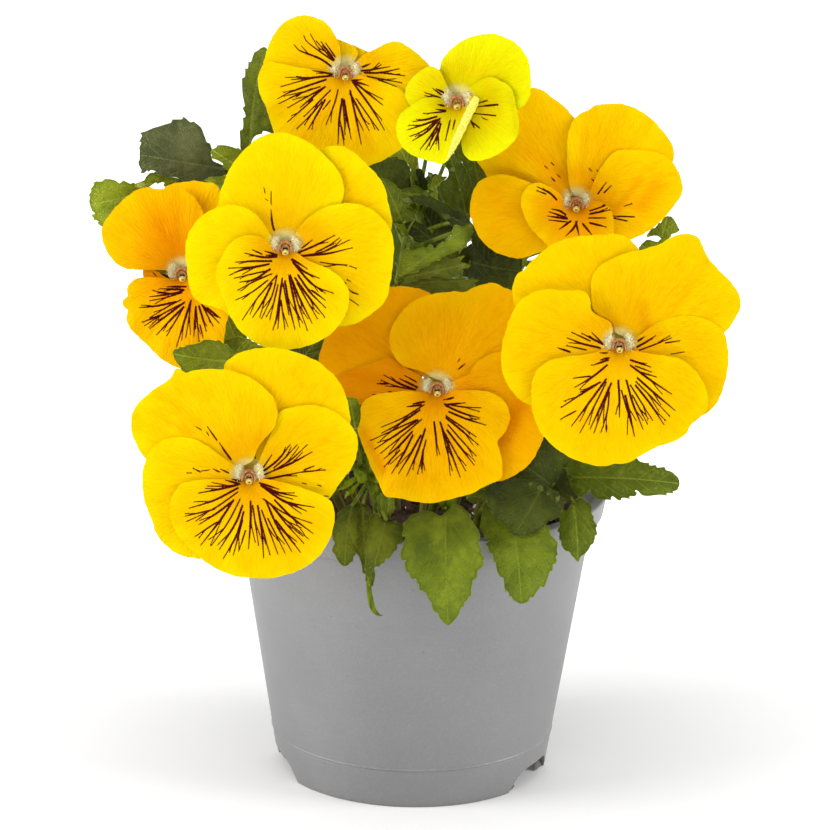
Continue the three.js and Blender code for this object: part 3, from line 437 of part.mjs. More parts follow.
// A closed solid from a geometry: shared vertices merged, flat triangles
// dropped, faces turned outward.
function solid(geometry) {
  let g = geometry.clone();
  for (const name of Object.keys(g.attributes)) if (name !== "position") g.deleteAttribute(name);
  g = mergeVertices(g, 1e-4);
  const p = g.attributes.position, index = [];
  let volume = 0;
  const a = new THREE.Vector3(), b = new THREE.Vector3(), c = new THREE.Vector3();
  for (let i = 0; i < g.index.count; i += 3) {
    const t = [g.index.getX(i), g.index.getX(i + 1), g.index.getX(i + 2)];
    if (t[0] === t[1] || t[1] === t[2] || t[0] === t[2]) continue;
    a.fromBufferAttribute(p, t[0]);
    b.fromBufferAttribute(p, t[1]);
    c.fromBufferAttribute(p, t[2]);
    volume += a.dot(b.cross(c));
    index.push(...t);
  }
  if (volume < 0) for (let i = 0; i < index.length; i += 3) [index[i], index[i + 1]] = [index[i + 1], index[i]];
  return new wasm.Manifold(new wasm.Mesh({
    numProp: 3,
    vertProperties: new Float32Array(p.array),
    triVerts: new Uint32Array(index),
  }));
}

function geometryOf(body) {
  const m = body.getMesh();
  const g = new THREE.BufferGeometry();
  g.setAttribute("position", new THREE.BufferAttribute(new Float32Array(m.vertProperties), 3));
  g.setIndex(new THREE.BufferAttribute(new Uint32Array(m.triVerts), 1));
  g.computeVertexNormals();
  return g;
}

const join = (list) => list.reduce((a, b) => a.add(b));

// The largest connected piece of a body.
function mainPiece(body) {
  const parts = body.decompose();
  return parts.reduce((a, b) => (b.volume() > a.volume() ? b : a));
}

// A thin blade whose outline is star-shaped round its hub: a flat lathed disc
// warped to the outline, lifted by relief(u, v) and set in a frame.
function blade(frame, hub, edge, relief, half, rings, grow = 0) {
  const profile = [...rings.map((r) => [r, -1]), ...[...rings].reverse().map((r) => [r, 1])];
  const g = new THREE.LatheGeometry(profile.map(([r, s]) => new THREE.Vector2(r, s)), edge.length);
  const p = g.attributes.position, n = profile.length;
  for (let k = 0; k < p.count; k++) {
    const e = edge[Math.floor(k / n) % edge.length];
    const [r, side] = profile[k % n];
    const du = e[0] - hub[0], dv = e[1] - hub[1];
    const s = r * (1 + grow / Math.hypot(du, dv));
    const u = hub[0] + s * du, v = hub[1] + s * dv;
    const thickness = (r === 1 ? 0.6 : 1) * half + grow;
    const w = relief(u, v) + side * thickness;
    p.setXYZ(k,
      frame.o.x + u * frame.u.x + v * frame.v.x + w * frame.w.x,
      frame.o.y + u * frame.u.y + v * frame.v.y + w * frame.w.y,
      frame.o.z + u * frame.u.z + v * frame.v.z + w * frame.w.z);
  }
  return solid(g);
}

function facing(at, face) {
  const w = vec(face);
  const u = new THREE.Vector3().crossVectors(PLANE_UP, w).normalize();
  const v = new THREE.Vector3().crossVectors(w, u);
  return { o: vec(at), u, v, w };
}

function section(radius, sides) {
  const pts = [];
  for (let i = 0; i < sides; i++) {
    const a = (2 * Math.PI * i) / sides;
    pts.push(new THREE.Vector2(radius * Math.cos(a), radius * Math.sin(a)));
  }
  return new THREE.Shape(pts);
}

function tube(path, radius, sides, steps) {
  const curve = new THREE.CatmullRomCurve3(path.map(vec), false, "catmullrom", 0.5);
  return solid(new THREE.ExtrudeGeometry(section(radius, sides), { steps, bevelEnabled: false, extrudePath: curve }));
}

// ----------------------------------------------------------------------- pot
function potBody() {
  const slope = (WALL_TOP_RADIUS - BASE_RADIUS) / (RIM_BOTTOM - 0.1);
  const wall = (z) => BASE_RADIUS + slope * z;
  const profile = [
    [0, FLOOR_UNDER],
    [FOOT_INNER_RADIUS + 0.6, FLOOR_UNDER],
    [FOOT_INNER_RADIUS, 0],
    [BASE_RADIUS, 0],
    [wall(RING_LINE - 0.7), RING_LINE - 0.7],
    [wall(RING_LINE) + 0.35, RING_LINE],
    [wall(RING_LINE + 0.7), RING_LINE + 0.7],
    [WALL_TOP_RADIUS, RIM_BOTTOM],
    [57.6, RIM_BOTTOM + 0.4],
    [58.7, RIM_BOTTOM + 1.6],
    [RIM_RADIUS, RIM_TOP - 0.6],
    [RIM_RADIUS - 0.6, RIM_TOP],
    [56.8, RIM_TOP],
    [56.2, RIM_TOP - 0.5],
    [55.2, RIM_BOTTOM + 1.0],
    [WALL_TOP_RADIUS - WALL_THICKNESS, RIM_BOTTOM - 0.2],
    [wall(FLOOR_TOP) - WALL_THICKNESS, FLOOR_TOP],
    [0, FLOOR_TOP],
  ];
  const lathe = new THREE.LatheGeometry(profile.map(([r, z]) => new THREE.Vector2(r, z)), POT_SIDES);
  lathe.rotateX(Math.PI / 2);
  let body = solid(lathe);
  for (const azimuth of NOTCH_AZIMUTHS) {
    const s = new THREE.Shape([
      new THREE.Vector2(-NOTCH_BOTTOM / 2, -1),
      new THREE.Vector2(NOTCH_BOTTOM / 2, -1),
      new THREE.Vector2(NOTCH_BOTTOM / 2 - 1.2, NOTCH_HEIGHT * 0.35),
      new THREE.Vector2(NOTCH_TOP / 2 + 1.4, NOTCH_HEIGHT * 0.85),
      new THREE.Vector2(NOTCH_TOP / 2 - 1.5, NOTCH_HEIGHT),
      new THREE.Vector2(-NOTCH_TOP / 2 + 1.5, NOTCH_HEIGHT),
      new THREE.Vector2(-NOTCH_TOP / 2 - 1.4, NOTCH_HEIGHT * 0.85),
      new THREE.Vector2(-NOTCH_BOTTOM / 2 + 1.2, NOTCH_HEIGHT * 0.35),
    ]);
    const g = new THREE.ExtrudeGeometry(s, { depth: 10, bevelEnabled: false });
    g.rotateX(Math.PI / 2);                    // outline stands up, depth along -Y
    g.rotateY(0);
    g.translate(0, -39.6, 0);
    g.rotateZ(THREE.MathUtils.degToRad(azimuth + 90));
    body = body.subtract(solid(g));
  }
  for (let i = 0; i <= DRAIN_COUNT; i++) {
    const centre = i === DRAIN_COUNT;
    const g = new THREE.CylinderGeometry(
      centre ? CENTRE_DRAIN_RADIUS : DRAIN_RADIUS, centre ? CENTRE_DRAIN_RADIUS : DRAIN_RADIUS, 8, 10);
    g.rotateX(Math.PI / 2);
    const a = (2 * Math.PI * (i + 0.5)) / DRAIN_COUNT;
    if (!centre) g.translate(DRAIN_RING * Math.cos(a), DRAIN_RING * Math.sin(a), 0);
    g.translate(0, 0, (FLOOR_UNDER + FLOOR_TOP) / 2);
    body = body.subtract(solid(g));
  }
  return body;
}

function soilBody() {
  const slope = (WALL_TOP_RADIUS - BASE_RADIUS) / (RIM_BOTTOM - 0.1);
  const inner = (z) => BASE_RADIUS + slope * z - WALL_THICKNESS - GAP - 0.25;
  const profile = [
    [0, FLOOR_TOP + GAP], [inner(FLOOR_TOP + GAP), FLOOR_TOP + GAP], [inner(82.2), 82.2],
    [inner(82.2) - 1.5, SOIL_TOP - 0.4], [34, SOIL_TOP], [0, SOIL_TOP],
  ];
  const g = new THREE.LatheGeometry(profile.map(([r, z]) => new THREE.Vector2(r, z)), 32);
  g.rotateX(Math.PI / 2);
  return solid(g);
}

// -------------------------------------------------------------------- blooms
function petalBody(bloom, name, grow = 0) {
  const names = Object.keys(bloom.petals), layer = names.indexOf(name);
  const petal = bloom.petals[name];
  const relief = (u, v) => bloom.lean[0] * u + bloom.lean[1] * v + layer * LAYER;
  return blade(facing(bloom.at, bloom.face), petal.hub, petal.edge, relief, PETAL_HALF, [0, 0.55, 1], grow);
}

function stalkBody(bloom, grow = 0) {
  const f = facing(bloom.at, bloom.face);
  const at = (u, v, w) => f.o.clone().addScaledVector(f.u, u).addScaledVector(f.v, v).addScaledVector(f.w, w);
  const parts = [tube(bloom.stalk, STALK_RADIUS + grow, 5, 8)];
  const calyx = new THREE.SphereGeometry(CALYX_RADIUS + grow, 7, 5);
  calyx.translate(...at(0, 0, -CALYX_BACK).toArray());
  parts.push(solid(calyx));
  const spur = [at(0, -0.8, -2.6), at(0, -2.9, -6.6)].map((p) => p.toArray());
  parts.push(tube(spur, 0.95 + grow, 4, 1));
  // Five sepals as one star behind the petals.
  const star = [];
  for (let i = 0; i < 10; i++) {
    const a = Math.PI * (0.5 + (2 * i) / 10) + 0.3;
    const r = i % 2 ? 2.9 : SEPAL_LENGTH;
    star.push([r * Math.cos(a), r * Math.sin(a)]);
  }
  const relief = (u, v) => bloom.lean[0] * u + bloom.lean[1] * v - SEPAL_BACK;
  parts.push(blade(f, [0, 0], star, relief, 0.2, [0, 1], grow));
  return join(parts);
}

// -------------------------------------------------------------------- shoots
function ovalBlade(leaf, grow) {
  const u = vec(leaf.along).normalize();
  const v = new THREE.Vector3().crossVectors(vec(leaf.up), u).normalize();
  const w = new THREE.Vector3().crossVectors(u, v);
  const L = leaf.length, W = leaf.width / 2;
  const edge = [[0, 0], [0.2 * L, -0.66 * W], [0.52 * L, -W], [0.84 * L, -0.55 * W], [L, 0],
    [0.84 * L, 0.55 * W], [0.52 * L, W], [0.2 * L, 0.66 * W]];
  const relief = (a, b) => -leaf.droop * Math.max(0, Math.min(1, a / L)) ** 2 - 0.12 * Math.abs(b);
  return blade({ o: vec(leaf.at), u, v, w }, [0.5 * L, 0], edge, relief, LEAF_HALF, [0, 1], grow);
}

function outlineBlade(leaf, grow) {
  const L = Math.hypot(leaf.tip[0], leaf.tip[1]);
  const t = [leaf.tip[0] / L, leaf.tip[1] / L];
  const relief = (u, v) => {
    const s = Math.max(0, Math.min(1.15, (u * t[0] + v * t[1]) / L));
    const d = Math.abs(-u * t[1] + v * t[0]);
    return leaf.rise * s + leaf.bow * 4 * s * (1 - s) + leaf.fold * d;
  };
  const rings = leaf.edge.length > 10 ? [0, 0.55, 1] : [0, 1];
  return blade(facing(leaf.at, leaf.face), leaf.hub, leaf.edge, relief, LEAF_HALF, rings, grow);
}

function shootBody(shoot, grow = 0) {
  const parts = [tube(shoot.stem, STEM_RADIUS + grow, 5, 6)];
  for (const leaf of shoot.leaves) {
    parts.push(tube(leaf.petiole, PETIOLE_RADIUS + grow, 4, 3));
    parts.push(leaf.edge ? outlineBlade(leaf, grow) : ovalBlade(leaf, grow));
  }
  return join(parts);
}

// ------------------------------------------------------------------ assembly
const COLOUR = {
  pot: 0x8f8f8e, soil: 0x241d18, stalk: 0x6f8a2c, leaf: 0x566f16,
  bloom1: 0xf4d200, bloom2: 0xf1de1c, bloom3: 0xf7b90a, bloom4: 0xf8cc00,
  bloom5: 0xf6b70c, bloom6: 0xf8c800, bloom7: 0xf2a80e, bloom8: 0xf9cb00,
};
const group = new THREE.Group();

function add(name, body, colour, roughness) {
  const material = new THREE.MeshStandardMaterial({ color: colour, roughness, metalness: 0 });
  const mesh = new THREE.Mesh(geometryOf(body), material);
  mesh.name = name;
  group.add(mesh);
}

add("pot", potBody(), COLOUR.pot, 0.6);
add("growing_medium", soilBody(), COLOUR.soil, 0.95);

// Bodies already placed, each a little larger than its piece; later pieces
// are cut back from them so that nothing touches.
const placed = [];
for (const [name, bloom] of Object.entries(BLOOMS)) {
  for (const petal of Object.keys(bloom.petals)) {
    add(`${name}_${petal}`, petalBody(bloom, petal), COLOUR[name], 0.55);
    placed.push(petalBody(bloom, petal, CUT));
  }
}
for (const [name, bloom] of Object.entries(BLOOMS)) {
  add(`${name}_stalk`, stalkBody(bloom), COLOUR.stalk, 0.6);
  placed.push(stalkBody(bloom, CUT));
}
for (const [name, shoot] of Object.entries(SHOOTS)) {
  let body = shootBody(shoot);
  for (const other of placed) {
    if (body.intersect(other).volume() > 0) body = body.subtract(other);
  }
  body = mainPiece(body);
  add(`shoot_${name}`, body, COLOUR.leaf, 0.6);
  placed.push(shootBody(shoot, CUT));
}

group.position.set(POT_AXIS_X, POT_AXIS_Y, 0);

export default group;
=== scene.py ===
import math
import random
import bpy
import bmesh
import numpy as np
from mathutils import Matrix, Vector
from mathutils.geometry import delaunay_2d_cdt


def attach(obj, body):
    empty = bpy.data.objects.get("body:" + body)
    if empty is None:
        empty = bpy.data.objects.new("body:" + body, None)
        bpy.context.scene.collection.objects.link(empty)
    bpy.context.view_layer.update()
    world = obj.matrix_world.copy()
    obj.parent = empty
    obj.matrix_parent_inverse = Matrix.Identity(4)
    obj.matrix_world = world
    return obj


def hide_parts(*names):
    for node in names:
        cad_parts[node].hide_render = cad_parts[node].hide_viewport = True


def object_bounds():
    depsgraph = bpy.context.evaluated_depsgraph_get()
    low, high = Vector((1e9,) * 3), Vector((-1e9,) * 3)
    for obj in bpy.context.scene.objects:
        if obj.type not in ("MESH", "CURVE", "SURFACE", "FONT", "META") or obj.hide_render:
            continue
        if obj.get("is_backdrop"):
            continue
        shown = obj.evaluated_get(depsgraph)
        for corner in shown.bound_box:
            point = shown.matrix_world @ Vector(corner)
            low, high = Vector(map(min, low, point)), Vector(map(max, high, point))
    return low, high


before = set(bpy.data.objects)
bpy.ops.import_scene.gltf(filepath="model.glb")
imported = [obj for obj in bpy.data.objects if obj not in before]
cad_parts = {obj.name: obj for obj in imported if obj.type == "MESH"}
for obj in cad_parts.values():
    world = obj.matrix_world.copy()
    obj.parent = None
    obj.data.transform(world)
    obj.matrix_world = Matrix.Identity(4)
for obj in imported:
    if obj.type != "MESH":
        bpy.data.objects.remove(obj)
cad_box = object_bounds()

MM = 0.001
OFFSET = np.array([3.18, 1.80, 0.0])      # pot axis in the part's frame, mm
LAYER = 0.9

# ---------------------------------------------------------------- shape data
# Blooms: throat position, face frame (across, up, toward the viewer), lean of
# the face, and the petals from back to front, each an outline in the face's
# plane (mm) with the dark lines drawn on it: (width, points).
BLOOMS = {
 "bloom1": dict(at=(-23.03, -19.4, 225.3), frame=((0.99971, 0.0223, 0.00939), (-0.01332, 0.18314, 0.983), (0.0202, -0.98283, 0.18338)), lean=(0.1, -0.22), petals={
  "upper_right": dict(edge=[(3.57, 0.01), (7.44, 0.61), (10.12, 2.98), (9.22, 5.04), (7.14, 5.92), (4.76, 6.94), (2.97, 7.82), (1.49, 8.41), (0.3, 7.67), (0.6, 5.31), (1.49, 1.77)],
   lines=[]),
  "upper_left": dict(edge=[(1.19, 2.07), (2.68, 3.55), (3.87, 5.91), (2.68, 7.67), (0.89, 8.55), (-0.59, 9.2), (-2.08, 9.72), (-3.27, 10.16), (-4.76, 9.42), (-5.65, 7.06), (-4.46, 3.53), (-1.19, 1.77)],
   lines=[]),
  "side_right": dict(edge=[(2.68, -1.17), (6.85, -3.53), (13.41, -7.65), (18.78, -10), (22.36, -10.59), (25.34, -8.21), (27.12, -4.66), (26.51, -0.53), (25.01, 2.13), (23.52, 3.6), (22.02, 5.07), (20.23, 6.54), (18.45, 7.71), (16.66, 8.89), (14.87, 9.18), (12.79, 8.88), (11.01, 7.99), (8.92, 6.8), (7.14, 6.06), (5.65, 5.32), (3.87, 3.55), (2.38, 1.19)],
   lines=[(0.56, [(7.44, 2.67), (5.36, 1.78)]), (0.56, [(10.72, 2.39), (8.04, 0.9), (5.06, 0.6)]), (0.4, [(13.1, 1.8), (8.04, 0.9)]), (0.56, [(16.08, 1.22), (10.42, 0.03), (5.66, 0.01)]), (0.4, [(17.57, -0.84), (10.42, 0.03)]), (0.4, [(16.68, -2.91), (11.91, -2.04), (6.85, -1.16)]), (0.4, [(15.19, -4.1), (9.83, -2.04)])]),
  "side_left": dict(edge=[(-1.79, 1.77), (-1.49, 5.3), (-1.93, 8.25), (-2.38, 9.57), (-3.27, 11.19), (-4.46, 13.25), (-6.24, 15.01), (-8.32, 16.03), (-10.69, 16.76), (-12.77, 16.9), (-14.85, 16.45), (-16.93, 15.57), (-18.72, 14.39), (-20.21, 12.62), (-21.4, 10.85), (-22.29, 9.08), (-23.19, 6.72), (-23.79, 4.36), (-24.4, 1.71), (-21.73, -1.23), (-16.37, -2.99), (-9.82, -2.38), (-4.47, -0.9)],
   lines=[(0.4, [(-12.19, 10.58), (-11.3, 9.11), (-7.44, 6.17), (-3.57, 3.53)]), (0.4, [(-8.62, 9.41), (-3.57, 3.53)]), (0.56, [(-7.14, 9.12), (-3.27, 3.83)]), (0.4, [(-5.65, 8.53), (-2.98, 4.71)]), (0.56, [(-15.16, 8.22), (-13.38, 6.45), (-7.44, 4.11), (-3.27, 1.17)])]),
  "lip": dict(edge=[(-2.38, -0.3), (-5.95, 0.28), (-10.42, 0.86), (-15.77, 1.73), (-20.53, 2.75), (-23.5, 3.19), (-24.84, 1.41), (-25.59, -0.65), (-25.9, -3.31), (-25.31, -5.97), (-24.42, -8.18), (-23.24, -10.39), (-22.65, -12.76), (-21.76, -15.42), (-20.87, -17.79), (-19.69, -21.05), (-17.61, -24.3), (-14.33, -26.97), (-9.86, -29.04), (-3.88, -29.92), (2.09, -29.01), (6.87, -27.37), (9.26, -26.48), (11.95, -25.28), (14.03, -23.94), (16.72, -22.16), (19.1, -20.07), (20.59, -17.11), (21.18, -13.55), (20.27, -9.7), (18.48, -7.34), (16.98, -5.57), (15.19, -4.39), (12.81, -3.51), (9.53, -2.49), (5.96, -1.31), (2.38, -0.29)],
   lines=[(0.56, [(-9.52, 0.57), (-5.95, -0.01), (-3.57, -0.6)]), (0.56, [(-15.78, -2.1), (-9.82, -1.5), (-3.57, -0.89)]), (0.4, [(-19.06, -4.18), (-10.42, -1.8), (-3.57, -0.89)]), (0.56, [(-19.96, -7.73), (-16.68, -5.95), (-11.02, -3.86), (-5.66, -2.08)]), (0.4, [(-16.38, -7.42), (-9.83, -4.75)]), (0.4, [(-19.66, -9.2), (-13.4, -6.23), (-7.44, -4.15)]), (0.4, [(-16.98, -10.38), (-5.96, -4.15)]), (0.56, [(-13.41, -10.37), (-5.96, -4.15)]), (0.4, [(-16.99, -14.52), (-9.53, -8)]), (0.4, [(-11.92, -12.73), (-4.47, -5.33)]), (0.4, [(-14.01, -16.29), (-9.84, -12.14), (-6.85, -8.58)]), (0.56, [(-11.03, -16.88), (-8.05, -11.84), (-5.96, -7.99)]), (0.4, [(-5.67, -15.39), (-3.28, -9.46), (-2.08, -5.02)]), (0.4, [(-6.56, -10.95), (-4.47, -8.28)]), (0.56, [(-2.09, -20.71), (-1.79, -14.19), (-0.89, -7.68)]), (0.4, [(-0.3, -21.3), (-1.19, -15.67)]), (0.4, [(-0, -18.34), (-0.6, -8.27)]), (0.56, [(1.79, -19.52), (0.6, -13.6), (-0.3, -7.98)]), (0.56, [(4.78, -20.99), (3.28, -13.59), (1.49, -5.31)]), (0.56, [(7.16, -17.14), (4.17, -11.22), (1.49, -6.2)]), (0.4, [(9.84, -16.83), (6.26, -11.81), (3.28, -7.67)]), (0.56, [(11.63, -16.83), (7.75, -10.32), (2.38, -2.95)]), (0.56, [(11.03, -9.43), (6.26, -5.6), (2.38, -2.36)]), (0.56, [(6.85, -3.82), (2.08, -2.36)]), (0.56, [(4.76, -2.05), (2.08, -2.36)])]),
 }),
 "bloom2": dict(at=(10.35, -31.82, 219.52), frame=((0.99981, -0.00573, 0.0186), (-0.01717, 0.19048, 0.98154), (-0.00917, -0.98168, 0.19034)), lean=(0.22, -0.1), petals={
  "upper_left": dict(edge=[(1.77, 3.22), (3.24, 6.72), (2.36, 10.23), (-0.29, 11.4), (-3.24, 9.66), (-6.19, 9.22), (-8.55, 8.79), (-9.73, 7.04), (-8.55, 4.99), (-5.01, 3.23), (-1.48, 2.34)],
   lines=[]),
  "upper_right": dict(edge=[(2.66, -0.59), (8.26, -3.23), (14.17, -3.83), (18, -2.22), (19.77, -0.91), (20.94, 0.85), (21.53, 2.6), (21.67, 4.94), (21.52, 7.57), (21.37, 9.91), (20.92, 11.96), (20.03, 13.71), (18.85, 15.46), (17.37, 16.92), (15.61, 18.09), (13.54, 18.82), (11.78, 19.7), (9.72, 19.85), (7.07, 19.56), (4.42, 18.98), (1.77, 17.82), (-0.59, 16.22), (-2.36, 14.62), (-3.83, 12.87), (-4.72, 11.12), (-4.86, 9.07), (-4.72, 6.74), (-3.24, 4.39), (-1.48, 1.76)],
   lines=[]),
  "side_right": dict(edge=[(1.18, -3.22), (1.18, -6.74), (1.48, -9.97), (1.48, -12.61), (1.77, -14.67), (2.96, -16.43), (4.43, -17.31), (6.8, -17.17), (9.16, -16.58), (11.53, -15.56), (13.89, -14.09), (15.95, -12.33), (17.57, -10.28), (18.01, -8.23), (18.01, -5.88), (17.71, -3.54), (17.26, -1.2), (16.82, 0.85), (16.37, 2.9), (15.33, 4.51), (13.56, 5.54), (11.79, 6.42), (10.02, 7.3), (8.55, 6.86), (7.08, 6.13), (5.6, 5.4), (3.54, 3.8), (1.77, 1.17)],
   lines=[(0.4, [(6.79, -0.3), (8.85, 0.28)]), (0.56, [(6.49, -1.47), (9.15, -1.18), (12.1, -0.9)]), (0.4, [(5.31, -3.52), (8.27, -3.82), (11.22, -4.12)]), (0.26, [(7.38, -4.7), (8.56, -5.28)]), (0.4, [(3.54, -5.28), (6.5, -7.63)]), (0.4, [(3.84, -5.28), (5.02, -7.63)])]),
  "side_left": dict(edge=[(-2.07, 1.47), (-2.95, 4.39), (-4.13, 7.03), (-5.01, 8.93), (-6.78, 10.1), (-8.25, 10.25), (-10.02, 9.37), (-11.79, 8.21), (-13.27, 6.75), (-14.45, 5), (-15.34, 2.95), (-14.9, 0.9), (-13.58, -1.15), (-10.92, -2.03), (-6.49, -1.46), (-2.66, -0.58)],
   lines=[(0.4, [(-7.08, 3.81), (-4.72, 2.06)]), (0.56, [(-6.19, 3.81), (-3.84, 2.64)]), (0.4, [(-9.44, 2.65), (-5.02, 1.18)]), (0.56, [(-9.44, 1.77), (-4.72, 0.59)])]),
  "lip": dict(edge=[(-2.36, -0.29), (-5.02, 0.89), (-7.97, 1.18), (-10.33, 0.6), (-12.1, -0.28), (-13.58, -1.45), (-15.2, -2.47), (-16.53, -3.64), (-17.42, -5.25), (-17.87, -7.59), (-17.73, -9.94), (-16.85, -12), (-15.81, -13.61), (-14.19, -14.94), (-12.12, -16.12), (-9.76, -16.85), (-7.1, -17.59), (-4.14, -18.27), (-1.77, -15.84), (-0.44, -13.49), (0.89, -10.41), (2.36, -7.18), (3.99, -4.69), (5.61, -1.76), (6.49, 1.16), (5.02, 1.75), (2.36, -0)],
   lines=[(0.56, [(-6.2, -2.33), (-3.25, -2.63)]), (0.56, [(-5.61, -0.87), (-4.13, -1.17)]), (0.4, [(-9.45, -3.5), (-6.2, -3.21), (-3.25, -2.92)]), (0.56, [(-12.7, -5.84), (-9.15, -5.26), (-5.9, -4.39)]), (0.56, [(-14.18, -8.19), (-9.75, -6.73), (-5.91, -5.27)]), (0.4, [(-13.89, -10.24), (-9.75, -8.49), (-6.5, -5.85)]), (0.56, [(-13, -11.42), (-8.86, -8.78), (-5.02, -4.97)]), (0.56, [(-10.64, -13.77), (-7.68, -9.96), (-5.02, -5.85)]), (0.4, [(-9.16, -14.06), (-5.61, -7.9)]), (0.56, [(-7.98, -14.07), (-5.91, -10.25), (-4.72, -6.44)]), (0.4, [(-5.32, -14.07), (-5.61, -8.49)]), (0.4, [(-3.25, -10.84), (-2.07, -5.56)]), (0.4, [(-1.18, -7.91), (-0.59, -5.57)])]),
 }),
 "bloom3": dict(at=(46.69, -23.47, 187.26), frame=((0.99897, -0.03549, 0.02836), (-0.02, 0.21685, 0.976), (-0.04079, -0.97556, 0.21592)), lean=(-0.12, -0.06), petals={
  "upper_left": dict(edge=[(1.2, 4.17), (2.69, 13.1), (1.5, 20.84), (-0, 25.01), (-1.49, 26.8), (-2.99, 28.59), (-4.48, 29.93), (-5.98, 30.98), (-7.47, 32.03), (-8.96, 33.37), (-10.76, 34.42), (-12.55, 34.73), (-14.64, 34.59), (-17.93, 33.42), (-22.13, 30.77), (-26.03, 26.63), (-28.74, 21.59), (-30.25, 16.24), (-29.36, 12.66), (-27.56, 10.26), (-26.37, 8.17), (-24.27, 6.67), (-18.28, 5.45), (-9.29, 3.62), (-2.4, 2.4)],
   lines=[(0.26, [(-9.28, 11.37), (-8.68, 10.77)]), (0.26, [(-7.18, 12.25), (-6.59, 11.66)]), (0.4, [(-7.19, 7.79), (-6.29, 6.89)]), (0.26, [(-5.39, 8.67), (-4.79, 8.07)])]),
  "upper_right": dict(edge=[(2.7, 1.78), (8.68, 1.75), (17.66, 4.1), (25.12, 7.64), (28.7, 11.79), (29.44, 14.46), (29.28, 16.54), (28.38, 18.63), (26.89, 20.72), (25.09, 22.8), (23.3, 24.89), (20.91, 26.68), (18.52, 28.18), (16.13, 29.23), (13.74, 29.84), (11.65, 30), (9.56, 29.71), (7.17, 29.72), (5.38, 29.14), (4.18, 28.11), (2.99, 27.67), (1.2, 26.79), (-0.15, 25.6), (-1.2, 23.83), (-2.39, 19.08), (-2.39, 11.64), (-1.2, 3.58)],
   lines=[(0.26, [(4.19, 10.41), (4.79, 9.82)]), (0.26, [(6.28, 10.11), (6.88, 9.51)]), (0.26, [(4.79, 7.43), (5.39, 6.83)])]),
  "side_right": dict(edge=[(5.39, -3.6), (8.09, -7.79), (10.79, -10.79), (14.39, -10.96), (16.78, -10.37), (19.17, -9.48), (21.57, -8.15), (23.66, -6.66), (26.05, -4.58), (28.14, -2.21), (29.92, 0.17), (31.41, 2.1), (32, 4.04), (31.7, 6.72), (30.8, 9.4), (29.75, 11.19), (28.7, 12.68), (26.6, 14.18), (23.61, 15.38), (19.13, 16), (14.65, 16.02), (12.26, 15.73), (10.47, 14.55), (8.68, 12.18), (6.88, 9.51), (5.39, 6.24), (4.19, 3.56), (2.7, 1.48)],
   lines=[(0.4, [(8.98, 6.22), (6.59, 2.95)]), (0.4, [(10.48, 5.32), (8.38, 3.25)]), (0.4, [(10.78, -3.63), (17.37, -3.95)]), (0.4, [(10.78, -4.22), (15.28, -5.14)]), (0.26, [(14.67, -0.66), (16.47, -0.07)])]),
  "side_left": dict(edge=[(-2.4, 0.61), (-7.79, 3.61), (-13.78, 6.32), (-19.77, 8.44), (-23.37, 8.75), (-26.37, 8.02), (-28.17, 7.28), (-29.37, 6.09), (-30.58, 4.01), (-31.19, 1.92), (-31.49, -0.47), (-31.65, -2.56), (-30.9, -4.95), (-30.01, -7.35), (-28.81, -9.74), (-27.02, -11.85), (-24.92, -13.65), (-22.82, -14.71), (-20.41, -15.46), (-18.01, -16.07), (-15.61, -15.93), (-13.51, -15.19), (-11.1, -14.3), (-7.8, -13.11), (-4.8, -9.54), (-2.4, -4.17)],
   lines=[]),
  "lip": dict(edge=[(-2.7, 0.91), (-4.79, 3), (-6.89, 4.5), (-9.29, 5.71), (-11.98, 6.32), (-14.38, 5.13), (-15.73, 3.35), (-16.33, 1.26), (-15.89, -1.43), (-14.99, -4.12), (-13.8, -6.51), (-12.3, -8.31), (-10.5, -10.11), (-8.7, -11.92), (-6.3, -14.02), (-2.4, -15.83), (2.4, -16.14), (6.6, -14.96), (9.59, -12.88), (11.09, -9.9), (11.24, -6.61), (10.93, -3.63), (9.88, -1.23), (7.19, 0.57), (3.59, 0.88)],
   lines=[(0.56, [(-11.38, 5.12), (-7.79, 3.31), (-5.69, 1.22)]), (0.4, [(-11.38, 3.93), (-8.99, 3.02)]), (0.56, [(-7.19, -1.46), (-4.79, -2.07), (-3, -3.27)]), (0.56, [(-7.79, -2.36), (-2.7, -4.17)]), (0.56, [(-8.39, -3.55), (-2.7, -4.47)]), (0.4, [(-8.09, -4.74), (-2.7, -5.36)]), (0.56, [(-4.8, -7.45), (-1.5, -5.07)]), (0.56, [(-3, -9.54), (-0.9, -7.46), (0.3, -5.37)]), (0.56, [(0.9, -9.26), (-0, -5.37)]), (0.56, [(4.8, -9.28), (2.1, -5.98)]), (0.56, [(8.99, -6.9), (4.2, -5.69)]), (0.4, [(8.99, -4.22), (4.19, -4.2)]), (0.56, [(10.18, -1.83), (4.19, -3)]), (0.4, [(11.08, 0.25), (4.19, -2.11)])]),
 }),
 "bloom4": dict(at=(-39.5, -51.38, 179.19), frame=((0.99929, 0.0373, 0.00446), (-0.01284, 0.22776, 0.97363), (0.0353, -0.973, 0.22808)), lean=(0.03, -0.03), petals={
  "upper_right": dict(edge=[(7.33, 1.19), (17.61, 0.64), (27.89, 2.13), (31.11, 5.07), (31.25, 7.99), (30.81, 10.33), (30.21, 12.66), (29.77, 15), (29.32, 17.33), (28.14, 19.37), (26.67, 21.41), (24.91, 23.15), (23.44, 24.6), (21.38, 26.63), (19.04, 28.37), (16.98, 29.38), (14.64, 29.67), (12, 29.22), (9.95, 28.34), (9.08, 23.97), (8.79, 18.13), (5.86, 9.37), (2.35, 3.22)],
   lines=[(0.56, [(7.04, 7.33), (5.28, 6.15), (3.81, 4.1)])]),
